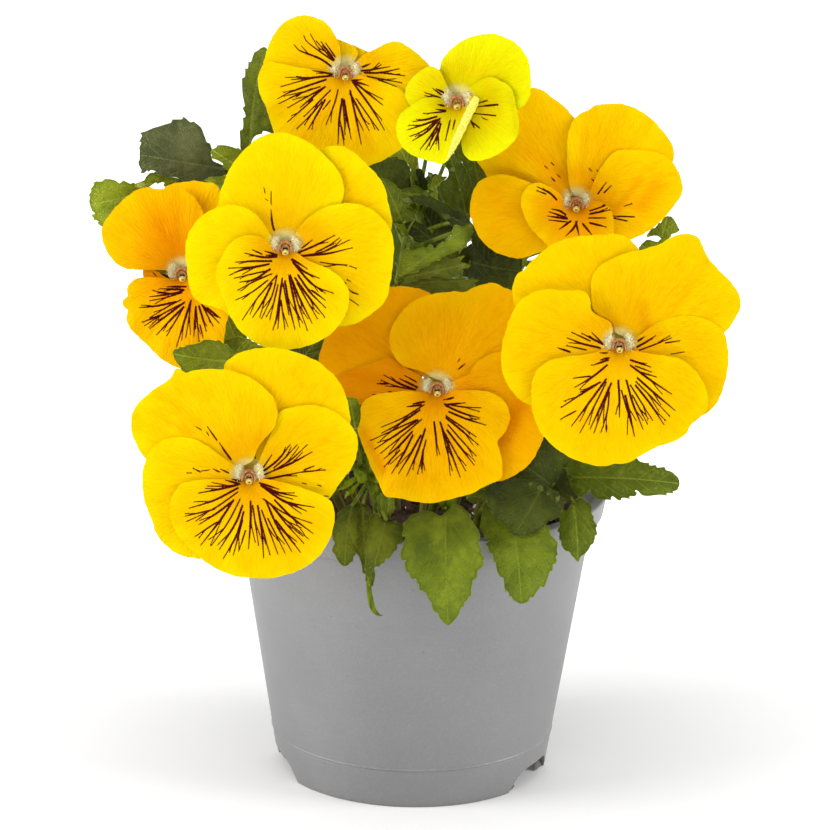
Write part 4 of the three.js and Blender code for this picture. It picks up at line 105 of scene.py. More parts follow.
  "upper_left": dict(edge=[(2.35, 2.05), (5.28, 3.82), (10.26, 7.34), (14.95, 10.86), (16.71, 13.78), (17.15, 16.12), (17, 18.45), (16.26, 20.79), (14.94, 23.11), (13.18, 25.15), (10.83, 27.47), (8.78, 29.21), (6.73, 30.65), (4.39, 31.81), (2.34, 32.67), (0.29, 33.25), (-2.05, 33.38), (-4.1, 33.23), (-6.14, 32.64), (-8.48, 31.47), (-10.53, 29.71), (-12.87, 27.38), (-14.93, 24.75), (-16.39, 22.41), (-17.56, 19.5), (-18.74, 16.58), (-19.33, 13.66), (-19.77, 11.33), (-19.63, 9.29), (-14.65, 6.38), (-7.33, 3.49), (-2.35, 2.04)],
   lines=[(0.26, [(-4.1, 16.05), (-4.1, 12.55)]), (0.56, [(-4.1, 10.5), (-3.81, 7.29), (-3.23, 4.96)]), (0.26, [(-6.15, 17.21), (-5.86, 15.75)]), (0.26, [(-5.57, 14), (-5.27, 13.71)])]),
  "side_right": dict(edge=[(2.64, -2.62), (5.87, -7.3), (10.28, -14.02), (13.23, -20.76), (15.88, -22.96), (18.23, -22.81), (20.58, -22.21), (22.94, -21.03), (25.29, -19.27), (27.64, -17.5), (29.4, -15.44), (30.27, -13.09), (30.56, -10.75), (31.15, -8.4), (31.43, -5.47), (31.72, -2.54), (31.86, 0.39), (31.41, 3.31), (30.52, 5.65), (28.76, 7.98), (26.7, 10.02), (24.34, 11.47), (21.99, 12.34), (19.06, 12.77), (16.13, 12.61), (13.19, 12.02), (10.26, 10.84), (7.62, 9.08), (5.28, 7.03), (3.52, 4.4), (2.35, 2.05)],
   lines=[(0.4, [(7.92, 2.07), (4.99, -0.28)]), (0.56, [(14.08, 3.26), (9.68, 0.91), (4.4, -1.45)]), (0.4, [(15.85, 2.68), (12.62, 0.33), (9.1, -1.44)]), (0.4, [(18.78, 2.1), (13.21, -0.55), (9.68, -1.73), (4.4, -2.62)]), (0.56, [(19.37, -0.23), (13.21, -1.72), (8.8, -2.31), (4.4, -2.62)]), (0.4, [(10.27, -4.36), (13.8, -4.93), (17.62, -5.22)]), (0.26, [(19.09, -5.5), (20.56, -6.09)]), (0.4, [(16.45, -9.61), (17.63, -10.49)]), (0.26, [(18.51, -9.61), (19.09, -9.9)]), (0.4, [(18.51, -12.24), (19.69, -13.12), (21.16, -13.7)]), (0.26, [(18.51, -14.88), (21.46, -16.93)])]),
  "side_left": dict(edge=[(-2.05, 1.16), (-3.81, 2.62), (-5.57, 5.54), (-7.91, 8.74), (-10.84, 10.92), (-14.35, 12.07), (-17.28, 12.07), (-19.92, 11.33), (-22.55, 10.15), (-25.19, 8.1), (-27.25, 5.47), (-28.42, 3.13), (-29.01, 0.5), (-29.02, -2.42), (-28.59, -5.35), (-28.45, -8.27), (-28.01, -10.9), (-27.29, -13.53), (-25.83, -15.58), (-23.78, -16.75), (-20.84, -17.33), (-17.91, -18.49), (-15.86, -19.95), (-12.63, -17.01), (-8.81, -11.14), (-4.99, -5.28), (-2.64, -1.47)],
   lines=[(0.26, [(-15.83, -0.34), (-14.95, -0.04)])]),
  "lip": dict(edge=[(-2.35, -0.59), (-4.99, 1.74), (-7.92, 3.05), (-11.14, 3.33), (-13.78, 2.59), (-15.83, 1.12), (-17.3, -0.93), (-18.77, -3.56), (-19.86, -6.2), (-20.1, -8.54), (-19.37, -11.17), (-18.49, -13.8), (-17.32, -16.73), (-16.15, -19.66), (-14.69, -22.29), (-12.93, -24.64), (-10.87, -26.25), (-8.82, -27.71), (-6.76, -28.88), (-3.82, -29.76), (-0.29, -30.04), (3.23, -29.59), (6.47, -28.85), (9.7, -27.52), (12.35, -26.05), (14.7, -23.99), (16.46, -21.64), (17.93, -18.7), (18.51, -16.06), (18.66, -13.71), (17.92, -11.37), (16.45, -9.32), (14.68, -7.71), (12.63, -6.4), (9.69, -5.24), (6.16, -3.78), (2.64, -1.45)],
   lines=[(0.56, [(-5.87, -1.19), (-4.11, -1.77), (-2.35, -2.35)]), (0.56, [(-5.57, -2.36), (-2.35, -2.64)]), (0.56, [(-11.73, -1.79), (-6.75, -2.94), (-2.64, -2.93)]), (0.4, [(-9.39, -0.9), (-6.75, -2.07)]), (0.56, [(-14.37, -4.43), (-8.8, -4.12), (-4.11, -4.11)]), (0.4, [(-16.13, -6.19), (-10.27, -5.88), (-4.69, -4.99)]), (0.56, [(-16.14, -8.24), (-12.91, -6.76), (-8.8, -5.88), (-4.69, -4.99)]), (0.4, [(-14.67, -9.11), (-9.68, -7.93), (-4.4, -6.74)]), (0.56, [(-13.21, -10.28), (-8.8, -9.39), (-4.4, -6.45)]), (0.4, [(-13.8, -12.62), (-8.81, -9.97), (-4.11, -7.91)]), (0.4, [(-14.39, -15.55), (-9.69, -13.2), (-4.99, -9.67)]), (0.4, [(-12.34, -21.12), (-8.52, -15.54), (-2.64, -8.49)]), (0.56, [(-9.4, -20.52), (-6.17, -15.53), (-3.82, -10.55)]), (0.4, [(-6.76, -20.81), (-3.82, -14.35), (-2.35, -8.49)]), (0.4, [(-4.41, -21.1), (-2.06, -11.13)]), (0.56, [(-3.53, -24.32), (-2.35, -19.92), (-0.88, -9.66)]), (0.4, [(-2.06, -23.73), (-1.47, -15.52)]), (0.4, [(0, -24.02), (-1.17, -15.52)]), (0.4, [(1.18, -19.91), (-0.59, -10.54)]), (0.56, [(2.94, -24.02), (1.18, -16.98), (0, -9.95)]), (0.56, [(4.41, -23.42), (2.64, -15.51), (1.17, -8.48)]), (0.4, [(6.47, -24.01), (3.82, -16.39), (1.47, -8.19)]), (0.56, [(7.94, -22.24), (4.41, -15.21), (1.47, -8.19)]), (0.4, [(9.41, -20.77), (3.52, -10.53)]), (0.56, [(11.46, -20.18), (6.76, -14.33), (2.94, -9.06)]), (0.56, [(11.75, -17.54), (7.34, -13.15), (3.82, -8.18)]), (0.4, [(11.75, -15.49), (7.93, -12.56)]), (0.4, [(11.75, -13.43), (6.75, -9.64), (2.35, -4.67)]), (0.56, [(14.1, -13.43), (7.93, -10.81), (2.05, -3.8)]), (0.56, [(9.98, -9.04), (5.87, -7.3), (2.35, -4.38)]), (0.56, [(6.16, -6.13), (2.05, -3.5)])]),
 }),
 "bloom5": dict(at=(-71.35, -26.7, 164.59), frame=((0.99801, 0.06299, -0.004), (-0.01093, 0.23484, 0.97197), (0.06216, -0.96999, 0.23506)), lean=(0.2, -0.05), petals={
  "upper_right": dict(edge=[(5.41, 4.23), (9.01, 8.74), (12.01, 14.75), (12.6, 20.44), (11.4, 24.62), (9.9, 27.01), (7.8, 27.29), (5.4, 27.57), (3.6, 28.01), (1.8, 27.55), (-0.3, 27.39), (-2.7, 27.07), (-4.5, 26.32), (-5.99, 24.96), (-6, 22.72), (-4.2, 17.65), (-1.2, 10.18), (2.4, 2.41)],
   lines=[]),
  "side_right": dict(edge=[(2.4, -2.09), (4.81, -5.08), (8.42, -7.76), (12.03, -7.15), (14.43, -4.13), (15.93, -0.22), (15.63, 3.68), (13.82, 6.67), (10.81, 7.85), (7.21, 6.63), (4.2, 3.62), (2.4, 0.61)],
   lines=[]),
  "side_left": dict(edge=[(-1.5, -1.51), (-5.4, -0.33), (-9.01, 1.15), (-10.2, 3.55), (-11.55, 1.74), (-11.71, 0.24), (-11.11, -2.15), (-9.61, -4.85), (-7.21, -6.03), (-4.21, -5.12), (-1.8, -3.31)],
   lines=[(0.56, [(-7.5, 1.16), (-5.1, -0.62), (-2.7, -1.51)]), (0.4, [(-6, 1.17), (-3.6, -1.22)]), (0.26, [(-8.71, 0.26), (-7.81, -0.64)])]),
  "upper_left": dict(edge=[(1.8, 2.71), (4.5, 6.62), (6.6, 12.62), (6, 18.61), (3, 23.37), (-1.8, 26.03), (-4.2, 26.17), (-5.39, 25.27), (-6.89, 25.02), (-8.39, 25.4), (-9.89, 25.77), (-11.68, 25.67), (-13.18, 25.22), (-14.98, 24.16), (-17.08, 22.5), (-19.17, 20.55), (-21.27, 18.15), (-22.92, 15.75), (-23.82, 14.25), (-24.13, 12.15), (-23.68, 9.76), (-22.79, 7.37), (-21.59, 5.28), (-20.1, 3.5), (-18.3, 2.16), (-15.9, 1.42), (-12.6, 1.29), (-9.6, 1.24), (-6.6, 1.26), (-4.2, 1.18), (-0.9, 0.9)],
   lines=[]),
  "lip": dict(edge=[(-1.5, -1.81), (-5.1, -1.52), (-9.01, -1.24), (-11.41, -1.26), (-13.81, -1.72), (-15.31, -2.77), (-16.42, -4.58), (-16.36, -6.08), (-15.76, -6.97), (-17.11, -7.58), (-18.07, -8.78), (-17.42, -9.98), (-15.77, -10.87), (-16.37, -12.08), (-16.52, -13.88), (-16.07, -15.38), (-15.02, -16.88), (-13.22, -18.67), (-11.42, -20.32), (-9.62, -21.96), (-8.12, -23.61), (-6.32, -25.26), (-4.21, -26.61), (-1.81, -27.8), (1.81, -28.85), (6.02, -27.63), (9.63, -24.9), (12.04, -21.58), (12.64, -18.27), (12.94, -15.26), (13.84, -12.25), (14.74, -8.64), (13.23, -5.34), (9.02, -2.96), (4.81, -1.48), (1.5, -0.89)],
   lines=[(0.56, [(-4.51, -3.92), (0.9, -3.9)]), (0.56, [(-6.61, -4.53), (0.6, -4.8)]), (0.4, [(-8.41, -5.14), (-3.6, -6.02), (0.3, -5.1)]), (0.56, [(-9.61, -6.95), (-4.81, -6.32), (0, -5.4)]), (0.4, [(-9.61, -8.15), (-5.11, -7.23), (0, -5.7)]), (0.56, [(-12.61, -10.26), (-7.21, -9.64), (-1.8, -8.41)]), (0.4, [(-9.61, -13.25), (-4.81, -10.23), (-0.3, -7.8)]), (0.56, [(-11.42, -14.46), (-6.01, -12.33)]), (0.4, [(-11.12, -15.66), (-5.11, -11.73), (0.6, -8.7)]), (0.56, [(-9.62, -16.55), (-4.21, -12.33), (0.6, -8.7)]), (0.56, [(-7.52, -18.35), (-3.61, -14.13), (0.6, -9.9)]), (0.4, [(-4.51, -18.64), (0.6, -9.9)]), (0.56, [(-1.5, -21.63), (0.6, -14.71), (2.7, -8.09)]), (0.4, [(1.2, -18.92), (2.1, -13.5), (2.7, -8.09)]), (0.56, [(3.61, -18.61), (3.91, -14.09), (4.21, -9.89)]), (0.4, [(5.11, -19.8), (4.21, -9.89)]), (0.4, [(6.32, -18.9), (5.41, -15.29)]), (0.56, [(7.22, -16.79), (5.11, -9.58)]), (0.4, [(9.33, -15.58), (6.01, -9.28)]), (0.56, [(10.83, -14.37), (6.01, -9.28)]), (0.56, [(11.43, -13.16), (7.52, -10.17)])]),
 }),
 "bloom6": dict(at=(58.87, -61.8, 153.85), frame=((0.99842, -0.04622, 0.03187), (-0.01918, 0.25273, 0.96735), (-0.05277, -0.96643, 0.25145)), lean=(-0.1, -0.1), petals={
  "upper_left": dict(edge=[(1.17, 4.38), (3.8, 11.67), (6.14, 20.42), (6.13, 26.54), (5.26, 28.59), (3.8, 30.34), (2.04, 31.66), (0, 32.4), (-2.04, 32.41), (-4.97, 32.13), (-7.89, 32), (-10.52, 31.87), (-13.15, 31.59), (-15.49, 31.02), (-17.83, 30.16), (-19.88, 29.29), (-21.64, 27.99), (-23.1, 26.68), (-24.86, 25.23), (-26.33, 23.77), (-27.5, 22.03), (-28.97, 21.3), (-30.14, 20.14), (-30.73, 18.24), (-31.18, 16.2), (-31.03, 14.15), (-30.6, 12.69), (-30.16, 10.93), (-28.4, 11.51), (-23.12, 12.07), (-15.8, 10.87), (-8.48, 7.34), (-3.22, 4.1)],
   lines=[]),
  "upper_right": dict(edge=[(2.63, 2.33), (6.14, 1.44), (14.91, 1.41), (25.13, 1.96), (30.96, 3.69), (32.7, 6.02), (34.16, 8.06), (35.03, 9.8), (35.61, 11.84), (35.31, 13.88), (34.29, 16.07), (32.68, 18.27), (30.64, 20.31), (28.6, 22.36), (26.55, 24.7), (25.09, 27.04), (24.36, 29.08), (23.63, 30.83), (22.17, 32), (20.13, 32.59), (18.09, 32.23), (16.05, 31.89), (14.3, 30.88), (12.84, 29.72), (10.8, 29), (8.47, 28.28), (6.13, 27.56), (4.09, 27.28), (1.46, 26.57), (-1.46, 25.41), (-3.8, 24.26), (-5.85, 22.81), (-7.31, 21.06), (-7.89, 19.02), (-8.19, 16.4), (-7.9, 14.06), (-7.9, 11.72), (-7.02, 9.67), (-5.27, 8.64), (-2.92, 7.61), (-1.46, 6.14), (-0.88, 3.51)],
   lines=[]),
  "side_right": dict(edge=[(4.97, -6.74), (9.66, -12.61), (14.92, -17.6), (19.31, -20.54), (22.82, -21.13), (25.45, -19.97), (27.64, -18.07), (29.1, -15.88), (30.11, -13.25), (30.98, -10.33), (31.56, -7.41), (31.85, -4.49), (31.7, -1.57), (31.26, 1.06), (30.67, 3.4), (28.62, 5.45), (26, 7.07), (20.74, 8.4), (15.49, 7.83), (10.52, 5.81), (6.14, 2.61), (3.22, 0.57)],
   lines=[(0.56, [(7.31, 2.31), (5.56, 1.15)]), (0.56, [(10.53, 2.6), (7.9, 0.85), (5.27, -0.6)]), (0.4, [(15.2, 1.99), (10.82, 0.26), (6.14, -1.48)]), (0.4, [(17.25, 1.11), (13.45, 0.54)]), (0.26, [(19, -2.11), (15.5, -2.68)])]),
  "side_left": dict(edge=[(-2.93, 1.18), (-2.05, 3.81), (-2.34, 6.29), (-4.39, 7.62), (-6.73, 8.65), (-8.34, 9.97), (-8.48, 12.01), (-8.77, 14.06), (-9.94, 15.44), (-11.99, 15.97), (-14.33, 15.69), (-17.26, 15.85), (-19.31, 16.24), (-21.65, 16.16), (-24.29, 15.58), (-26.64, 14.43), (-28.84, 12.97), (-30.16, 10.93), (-31.34, 8.89), (-32.22, 6.55), (-33.11, 3.62), (-33.85, 0.99), (-34.2, -1.94), (-34.3, -4.87), (-34.01, -7.51), (-33.13, -10.15), (-31.96, -12.2), (-30.64, -13.97), (-29.03, -15.73), (-27.27, -16.76), (-24.92, -17.5), (-20.81, -16.63), (-14.36, -11.67), (-7.91, -6.12), (-3.51, -2.33)],
   lines=[(0.4, [(-7.9, 3.54), (-4.97, 0.6)]), (0.56, [(-10.54, 3.25), (-4.97, 0.31)]), (0.4, [(-13.46, 3.56), (-8.49, 1.2)]), (0.56, [(-15.22, 2.1), (-10.54, 0.33), (-5.56, -0.86)]), (0.4, [(-14.93, -0.24), (-9.66, -1.43)]), (0.56, [(-17.86, -0.82), (-14.35, -2)])]),
  "lip": dict(edge=[(-3.22, -1.16), (-6.15, -2.03), (-9.95, -2.89), (-14.35, -3.46), (-17.28, -3.89), (-19.63, -4.47), (-21.83, -5.49), (-23.59, -7.1), (-24.91, -9.14), (-25.41, -11.93), (-25.51, -14.86), (-25.36, -17.79), (-24.78, -20.73), (-23.76, -23.37), (-22.29, -26.02), (-20.24, -28.22), (-18.48, -29.84), (-16.43, -31.31), (-14.37, -32.49), (-12.32, -33.47), (-10.26, -34.12), (-7.92, -34.65), (-5.57, -35.24), (-3.22, -34.95), (-1.47, -34.28), (0.88, -34.66), (3.22, -33.85), (5.27, -32.82), (7.03, -31.65), (9.08, -30.57), (11.13, -29.61), (13.47, -28.82), (15.81, -28.15), (17.86, -26.98), (19.61, -25.52), (20.34, -24.06), (21.07, -22.68), (22.53, -22.01), (23.55, -20.99), (24.87, -19.67), (25.74, -17.33), (25.59, -14.7), (24.86, -12.07), (23.39, -9.43), (21.34, -6.94), (18.42, -4.74), (14.91, -3.56), (9.07, -2.81), (3.8, -1.77)],
   lines=[(0.4, [(-5.56, -2.32), (-3.8, -2.33)]), (0.56, [(-5.56, -4.37), (-3.22, -3.79)]), (0.56, [(-7.61, -5.83), (-3.22, -4.38)]), (0.4, [(-13.18, -9.62), (-8.49, -9.05)]), (0.56, [(-12.89, -12.26), (-7.91, -9.34), (-3.51, -5.84)]), (0.4, [(-11.43, -13.72), (-5.56, -10.81)]), (0.56, [(-16.41, -17.82), (-11.13, -14.31), (-5.56, -10.81)]), (0.4, [(-16.71, -21.33), (-12.89, -19.29)]), (0.56, [(-13.78, -23.39), (-8.5, -16.37), (-3.81, -9.94)]), (0.4, [(-11.43, -25.45), (-7.32, -17.84), (-3.81, -10.82)]), (0.56, [(-8.5, -24.29), (-5.27, -17.55), (-2.34, -11.11)]), (0.4, [(-7.33, -25.46), (-2.34, -11.11)]), (0.4, [(-5.27, -25.17), (-3.52, -19.31), (-2.93, -13.75)]), (0.56, [(-3.81, -25.18), (-3.81, -23.42)]), (0.56, [(0, -20.79), (-0, -15.51), (-0.29, -10.24)]), (0.4, [(3.51, -23.43), (0.59, -13.17)]), (0.56, [(4.39, -26.66), (2.93, -19.91), (1.76, -14.64)]), (0.56, [(6.74, -24.32), (3.81, -16.69), (2.05, -10.25)]), (0.4, [(8.2, -23.15), (3.81, -14.64)]), (0.4, [(9.66, -21.98), (6.15, -16.41), (3.22, -11.71)]), (0.56, [(12.88, -23.16), (9.07, -17.29), (4.68, -11.72)]), (0.4, [(14.34, -20.53), (9.66, -15.54), (4.98, -10.84)]), (0.56, [(16.1, -19.07), (10.54, -14.37), (5.27, -9.67)]), (0.56, [(15.21, -14.38), (9.07, -10.27), (3.51, -6.15)]), (0.4, [(10.83, -9.39), (6.14, -7.92)]), (0.4, [(9.36, -7.93), (4.68, -6.16)]), (0.56, [(9.07, -6.46), (5.85, -5.28), (3.22, -4.4)])]),
 }),
 "bloom7": dict(at=(5.84, -50.64, 136.58), frame=((0.99986, -0.00073, 0.01695), (-0.01616, 0.26374, 0.96446), (-0.00517, -0.96459, 0.26369)), lean=(-0.02, -0.16), petals={
  "upper_left": dict(edge=[(0.3, 5.04), (0.89, 13.05), (-0.3, 23.43), (-1.48, 27.72), (-3.27, 28.96), (-5.05, 29.65), (-7.12, 30.09), (-9.5, 30.39), (-12.17, 30.39), (-14.25, 30.24), (-17.51, 29.36), (-22.27, 26.99), (-27.62, 23.14), (-31.48, 18.7), (-33.57, 14.25), (-34.61, 10.69), (-35.21, 8.02), (-32.99, 5.35), (-30.61, 2.09), (-27.05, 3.27), (-23.77, 4.46), (-21.1, 5.65), (-18.72, 6.53), (-16.34, 7.42), (-14.56, 6.83), (-12.18, 6.24), (-7.43, 4.45), (-2.67, 3.56)],
   lines=[]),
  "side_left": dict(edge=[(-2.67, 0.89), (-5.65, 4.16), (-9.21, 5.94), (-11.88, 7.72), (-13.96, 9.2), (-16.34, 8.31), (-19.91, 7.43), (-24.37, 5.65), (-28.23, 3.72), (-30.32, 2.38), (-29.43, 0.31), (-27.94, -2.07), (-25.27, -3.56), (-22.3, -4.74), (-18.73, -4.45), (-13.38, -3.86), (-7.43, -2.67), (-3.27, -1.19)],
   lines=[(0.4, [(-9.51, 3.86), (-6.24, 2.08)]), (0.56, [(-11, 2.97), (-6.24, 0.6)]), (0.56, [(-15.45, 3.86), (-11, 1.49), (-6.54, -0.29)]), (0.4, [(-16.35, 2.38), (-11.59, 0.6), (-6.84, -0.29)]), (0.56, [(-17.83, 1.49), (-14.56, 1.49)]), (0.26, [(-19.02, -1.78), (-18.13, -1.78)]), (0.26, [(-14.27, -0.89), (-13.67, -0.89)]), (0.4, [(-8.32, -2.08), (-5.65, -2.08)])]),
  "upper_right": dict(edge=[(4.46, 2.08), (11.29, 3.26), (18.42, 6.82), (23.16, 14.53), (25.24, 21.04), (24.34, 26.38), (22.26, 29.19), (20.18, 29.78), (18.1, 30.97), (16.03, 31.62), (14.25, 30.91), (12.17, 30.53), (10.39, 29.79), (8.9, 28.66), (6.83, 28.66), (4.75, 28.9), (2.37, 28.46), (-0, 28.37), (-2.08, 27.87), (-4.75, 26.98), (-7.12, 25.8), (-9.2, 24.17), (-10.84, 22.24), (-12.32, 20.17), (-13.51, 17.8), (-13.96, 15.43), (-13.87, 12.76), (-12.77, 10.09), (-11.29, 7.87), (-9.51, 6.68), (-6.54, 5.85), (-3.57, 4.96), (-1.19, 3.27)],
   lines=[(0.26, [(6.24, 8.01), (6.83, 8.9)]), (0.4, [(8.32, 7.42), (6.54, 5.93)])]),
  "side_right": dict(edge=[(3.27, -3.27), (6.84, -10.69), (11.6, -19.61), (15.77, -26.45), (18.45, -27.14), (20.83, -26.45), (23.06, -25.26), (24.99, -24.07), (27.07, -22.29), (28.55, -20.36), (29.74, -18.13), (30.63, -16.2), (31.52, -14.12), (31.66, -10.7), (31.21, -4.76), (29.71, 1.18), (27.03, 7.11), (23.47, 10.38), (19.31, 10.97), (15.74, 9.99), (12.77, 8.51), (10.7, 6.67), (9.81, 4.15), (6.24, 2.97), (2.67, 0.3)],
   lines=[]),
  "lip": dict(edge=[(-2.97, -1.19), (-7.43, -0.8), (-11, -0.89), (-14.57, -1.48), (-17.54, -1.63), (-19.92, -2.67), (-21.55, -3.85), (-22.51, -5.34), (-22.3, -7.12), (-22.45, -8.9), (-22.9, -10.69), (-23.35, -12.47), (-22.61, -14.7), (-21.57, -17.23), (-20.53, -19.9), (-19.79, -21.98), (-18.89, -24.07), (-17.85, -26.15), (-16.81, -28.23), (-16.07, -30.02), (-15.48, -31.66), (-13.39, -31.8), (-11.01, -32.19), (-8.04, -32.79), (-5.06, -33.38), (-2.08, -33.59), (0.89, -33.21), (3.87, -32.4), (6.85, -31.66), (9.82, -30.91), (12.2, -29.72), (14.58, -28.33), (16.96, -27.34), (18.74, -26.66), (19.19, -24.07), (19.04, -21.1), (18.29, -18.13), (17.55, -15.3), (19.03, -13.96), (20.52, -11.88), (21.41, -9.21), (21.25, -6.54), (20.06, -4.16), (17.98, -2.17), (15.16, -1.1), (11.89, -0.6), (8.32, -0.6), (3.27, -0.59)],
   lines=[(0.56, [(-8.92, -5.34), (-6.84, -5.05), (-4.76, -4.75)]), (0.56, [(-7.13, -4.45), (-3.86, -3.86)]), (0.4, [(-16.36, -11.28), (-10.11, -8.61), (-3.86, -4.75)]), (0.56, [(-16.36, -13.06), (-10.7, -10.09), (-5.05, -6.23)]), (0.4, [(-19.33, -15.14), (-12.79, -12.17), (-6.24, -9.2)]), (0.56, [(-18.44, -17.82), (-12.19, -13.66), (-5.65, -9.2)]), (0.4, [(-16.66, -19.01), (-10.71, -14.25), (-4.76, -9.2)]), (0.56, [(-15.47, -20.5), (-11.3, -16.93), (-7.43, -12.77)]), (0.4, [(-15.47, -22.88), (-11.01, -18.12)]), (0.56, [(-13.39, -24.96), (-10.11, -19.61), (-7.14, -13.66)]), (0.56, [(-11.31, -24.96), (-8.03, -19.61), (-4.76, -13.66)]), (0.56, [(-8.93, -25.56), (-5.95, -19.01), (-3.57, -12.18)]), (0.4, [(-5.65, -24.66), (-3.27, -15.15)]), (0.56, [(-4.46, -24.66), (-4.16, -18.12)]), (0.56, [(0, -19.61), (-0.3, -14.55), (-0.89, -9.8)]), (0.4, [(4.46, -24.07), (2.68, -17.23), (1.19, -10.69)]), (0.56, [(6.84, -26.15), (3.87, -18.12), (0.89, -9.8)]), (0.4, [(8.33, -24.07), (5.06, -18.12), (1.78, -12.18)]), (0.56, [(11.01, -22.58), (6.84, -17.23), (2.97, -12.18)]), (0.4, [(11.6, -19.91), (7.43, -15.45), (3.27, -10.69)]), (0.56, [(11.9, -16.34), (7.43, -12.48), (2.68, -8.61)]), (0.4, [(11.6, -14.26), (2.68, -8.02)]), (0.56, [(14.27, -10.69), (8.62, -8.91), (3.57, -6.83)]), (0.56, [(12.49, -8.61), (7.43, -7.13), (2.68, -5.05)]), (0.4, [(12.78, -5.64), (7.43, -5.35), (2.08, -4.45)]), (0.56, [(8.32, -4.16), (2.38, -4.75)]), (0.56, [(2.38, -3.27), (4.76, -2.67)]), (0.26, [(6.24, 1.19), (6.84, 0.89)])]),
 }),
 "bloom8": dict(at=(-48.82, -76.23, 116.33), frame=((0.99893, 0.04629, 0.0015), (-0.01468, 0.2858, 0.95818), (0.04393, -0.95717, 0.28618)), lean=(0.1, 0.02), petals={
  "upper_right": dict(edge=[(4.68, 2.34), (11.98, 4.11), (20.76, 7.63), (27.78, 10.57), (29.53, 15.25), (29.24, 18.76), (28.65, 21.97), (27.77, 24.6), (26.6, 26.94), (24.84, 29.27), (22.5, 31.31), (20.16, 33.35), (17.53, 34.51), (14.9, 35.67), (11.97, 36.54), (9.05, 37.12), (5.55, 37.4), (2.04, 37.1), (-0.88, 36.51), (-3.21, 35.63), (-5.25, 34.46), (-7.3, 31.82), (-6.13, 28.03), (-2.63, 22.2), (3.8, 13.45), (2.05, 6.14)],
   lines=[(0.56, [(2.92, 9.65), (2.05, 7.9), (1.46, 6.43)])]),
  "side_right": dict(edge=[(3.8, -1.17), (9.06, -4.08), (14.91, -7), (19.6, -7.59), (23.4, -6.41), (24.86, -4.36), (26.03, -2.6), (27.2, -0.85), (28.96, 1.21), (30.42, 3.55), (31.15, 5.89), (31.59, 8.52), (31.59, 11.16), (30.71, 13.2), (29.24, 15.25), (26.9, 17.29), (24.26, 19.04), (20.75, 20.2), (17.83, 20.64), (14.03, 20.19), (10.81, 19.45), (8.76, 18.43), (7.89, 16.38), (6.72, 12.87), (5.26, 9.36), (3.8, 6.14), (2.63, 2.93)],
   lines=[(0.4, [(6.72, 6.15), (4.38, 2.64)]), (0.56, [(11.98, 9.08), (8.48, 4.69), (4.38, 1.47)]), (0.4, [(14.03, 9.08), (10.52, 5.28), (7.31, 2.35)]), (0.4, [(16.95, 9.09), (12.57, 4.99), (7.6, 1.76)]), (0.56, [(18.42, 7.04), (12.57, 3.82), (7.6, 1.76)]), (0.4, [(9.06, 2.35), (4.38, 0.3)]), (0.56, [(15.5, 1.19), (9.65, 0.01), (4.09, -1.16)]), (0.4, [(21.64, 1.78), (18.71, 1.49), (15.5, 1.19)]), (0.4, [(19.01, 2.95), (16.08, 1.77)]), (0.26, [(20.18, -2.61), (21.06, -2.9)]), (0.26, [(21.64, -5.83), (23.11, -5.83)]), (0.26, [(15.79, -2.03), (16.67, -2.32)])]),
  "upper_left": dict(edge=[(1.17, 4.68), (2.05, 7.6), (3.8, 10.24), (5.84, 12.29), (7.6, 14.92), (8.18, 17.55), (8.03, 20.18), (7.01, 22.81), (5.26, 24.85), (3.21, 26.59), (0.88, 28.34), (-2.04, 29.5), (-4.96, 30.52), (-7.88, 30.95), (-10.8, 31.09), (-14.3, 30.93), (-16.34, 30.64), (-18.38, 29.76), (-19.84, 30.92), (-21, 31.64), (-21.88, 30.33), (-22.75, 28.29), (-24.21, 27.26), (-26.54, 25.94), (-28.88, 24.19), (-30.92, 22.43), (-32.67, 20.68), (-33.83, 18.64), (-34.27, 16.3), (-34.27, 13.97), (-33.55, 11.05), (-32.09, 8.14), (-30.93, 6.09), (-29.76, 4.93), (-28.89, 3.47), (-24.52, 1.14), (-17.23, 0.56), (-7.89, 2.33), (-2.63, 2.92)],
   lines=[(0.56, [(-8.47, 9.63), (-7.01, 7.3), (-5.26, 4.96)]), (0.4, [(-11.97, 14.3), (-10.8, 12.55), (-9.34, 10.51)]), (0.26, [(-15.18, 14.29), (-13.72, 13.42)]), (0.26, [(-12.26, 12.84), (-11.68, 11.96)])]),
  "side_left": dict(edge=[(-2.63, 1.46), (-7.89, 5.54), (-11.39, 8.17), (-14.89, 10.21), (-18.68, 11.22), (-22.47, 11.07), (-25.1, 10.19), (-27.43, 8.73), (-29.18, 6.68), (-29.91, 4.34), (-30.64, 2.3), (-30.88, -1.2), (-30.65, -4.71), (-30.07, -7.92), (-28.9, -10.84), (-27.74, -13.76), (-27.16, -16.1), (-25.7, -18.44), (-23.66, -20.48), (-21.62, -22.09), (-18.99, -23.26), (-16.36, -23.7), (-13.73, -23.99), (-10.81, -22.23), (-7.89, -17.26), (-4.38, -8.48), (-2.63, -2.93)],
   lines=[(0.4, [(-15.77, 2.03), (-14.02, 1.15)]), (0.26, [(-17.52, 0.86), (-16.64, 0.86)]), (0.26, [(-13.73, 1.44), (-11.68, 1.74)]), (0.4, [(-10.22, 2.03), (-8.47, 1.16)]), (0.4, [(-8.18, 2.04), (-5.84, 0.87)])]),
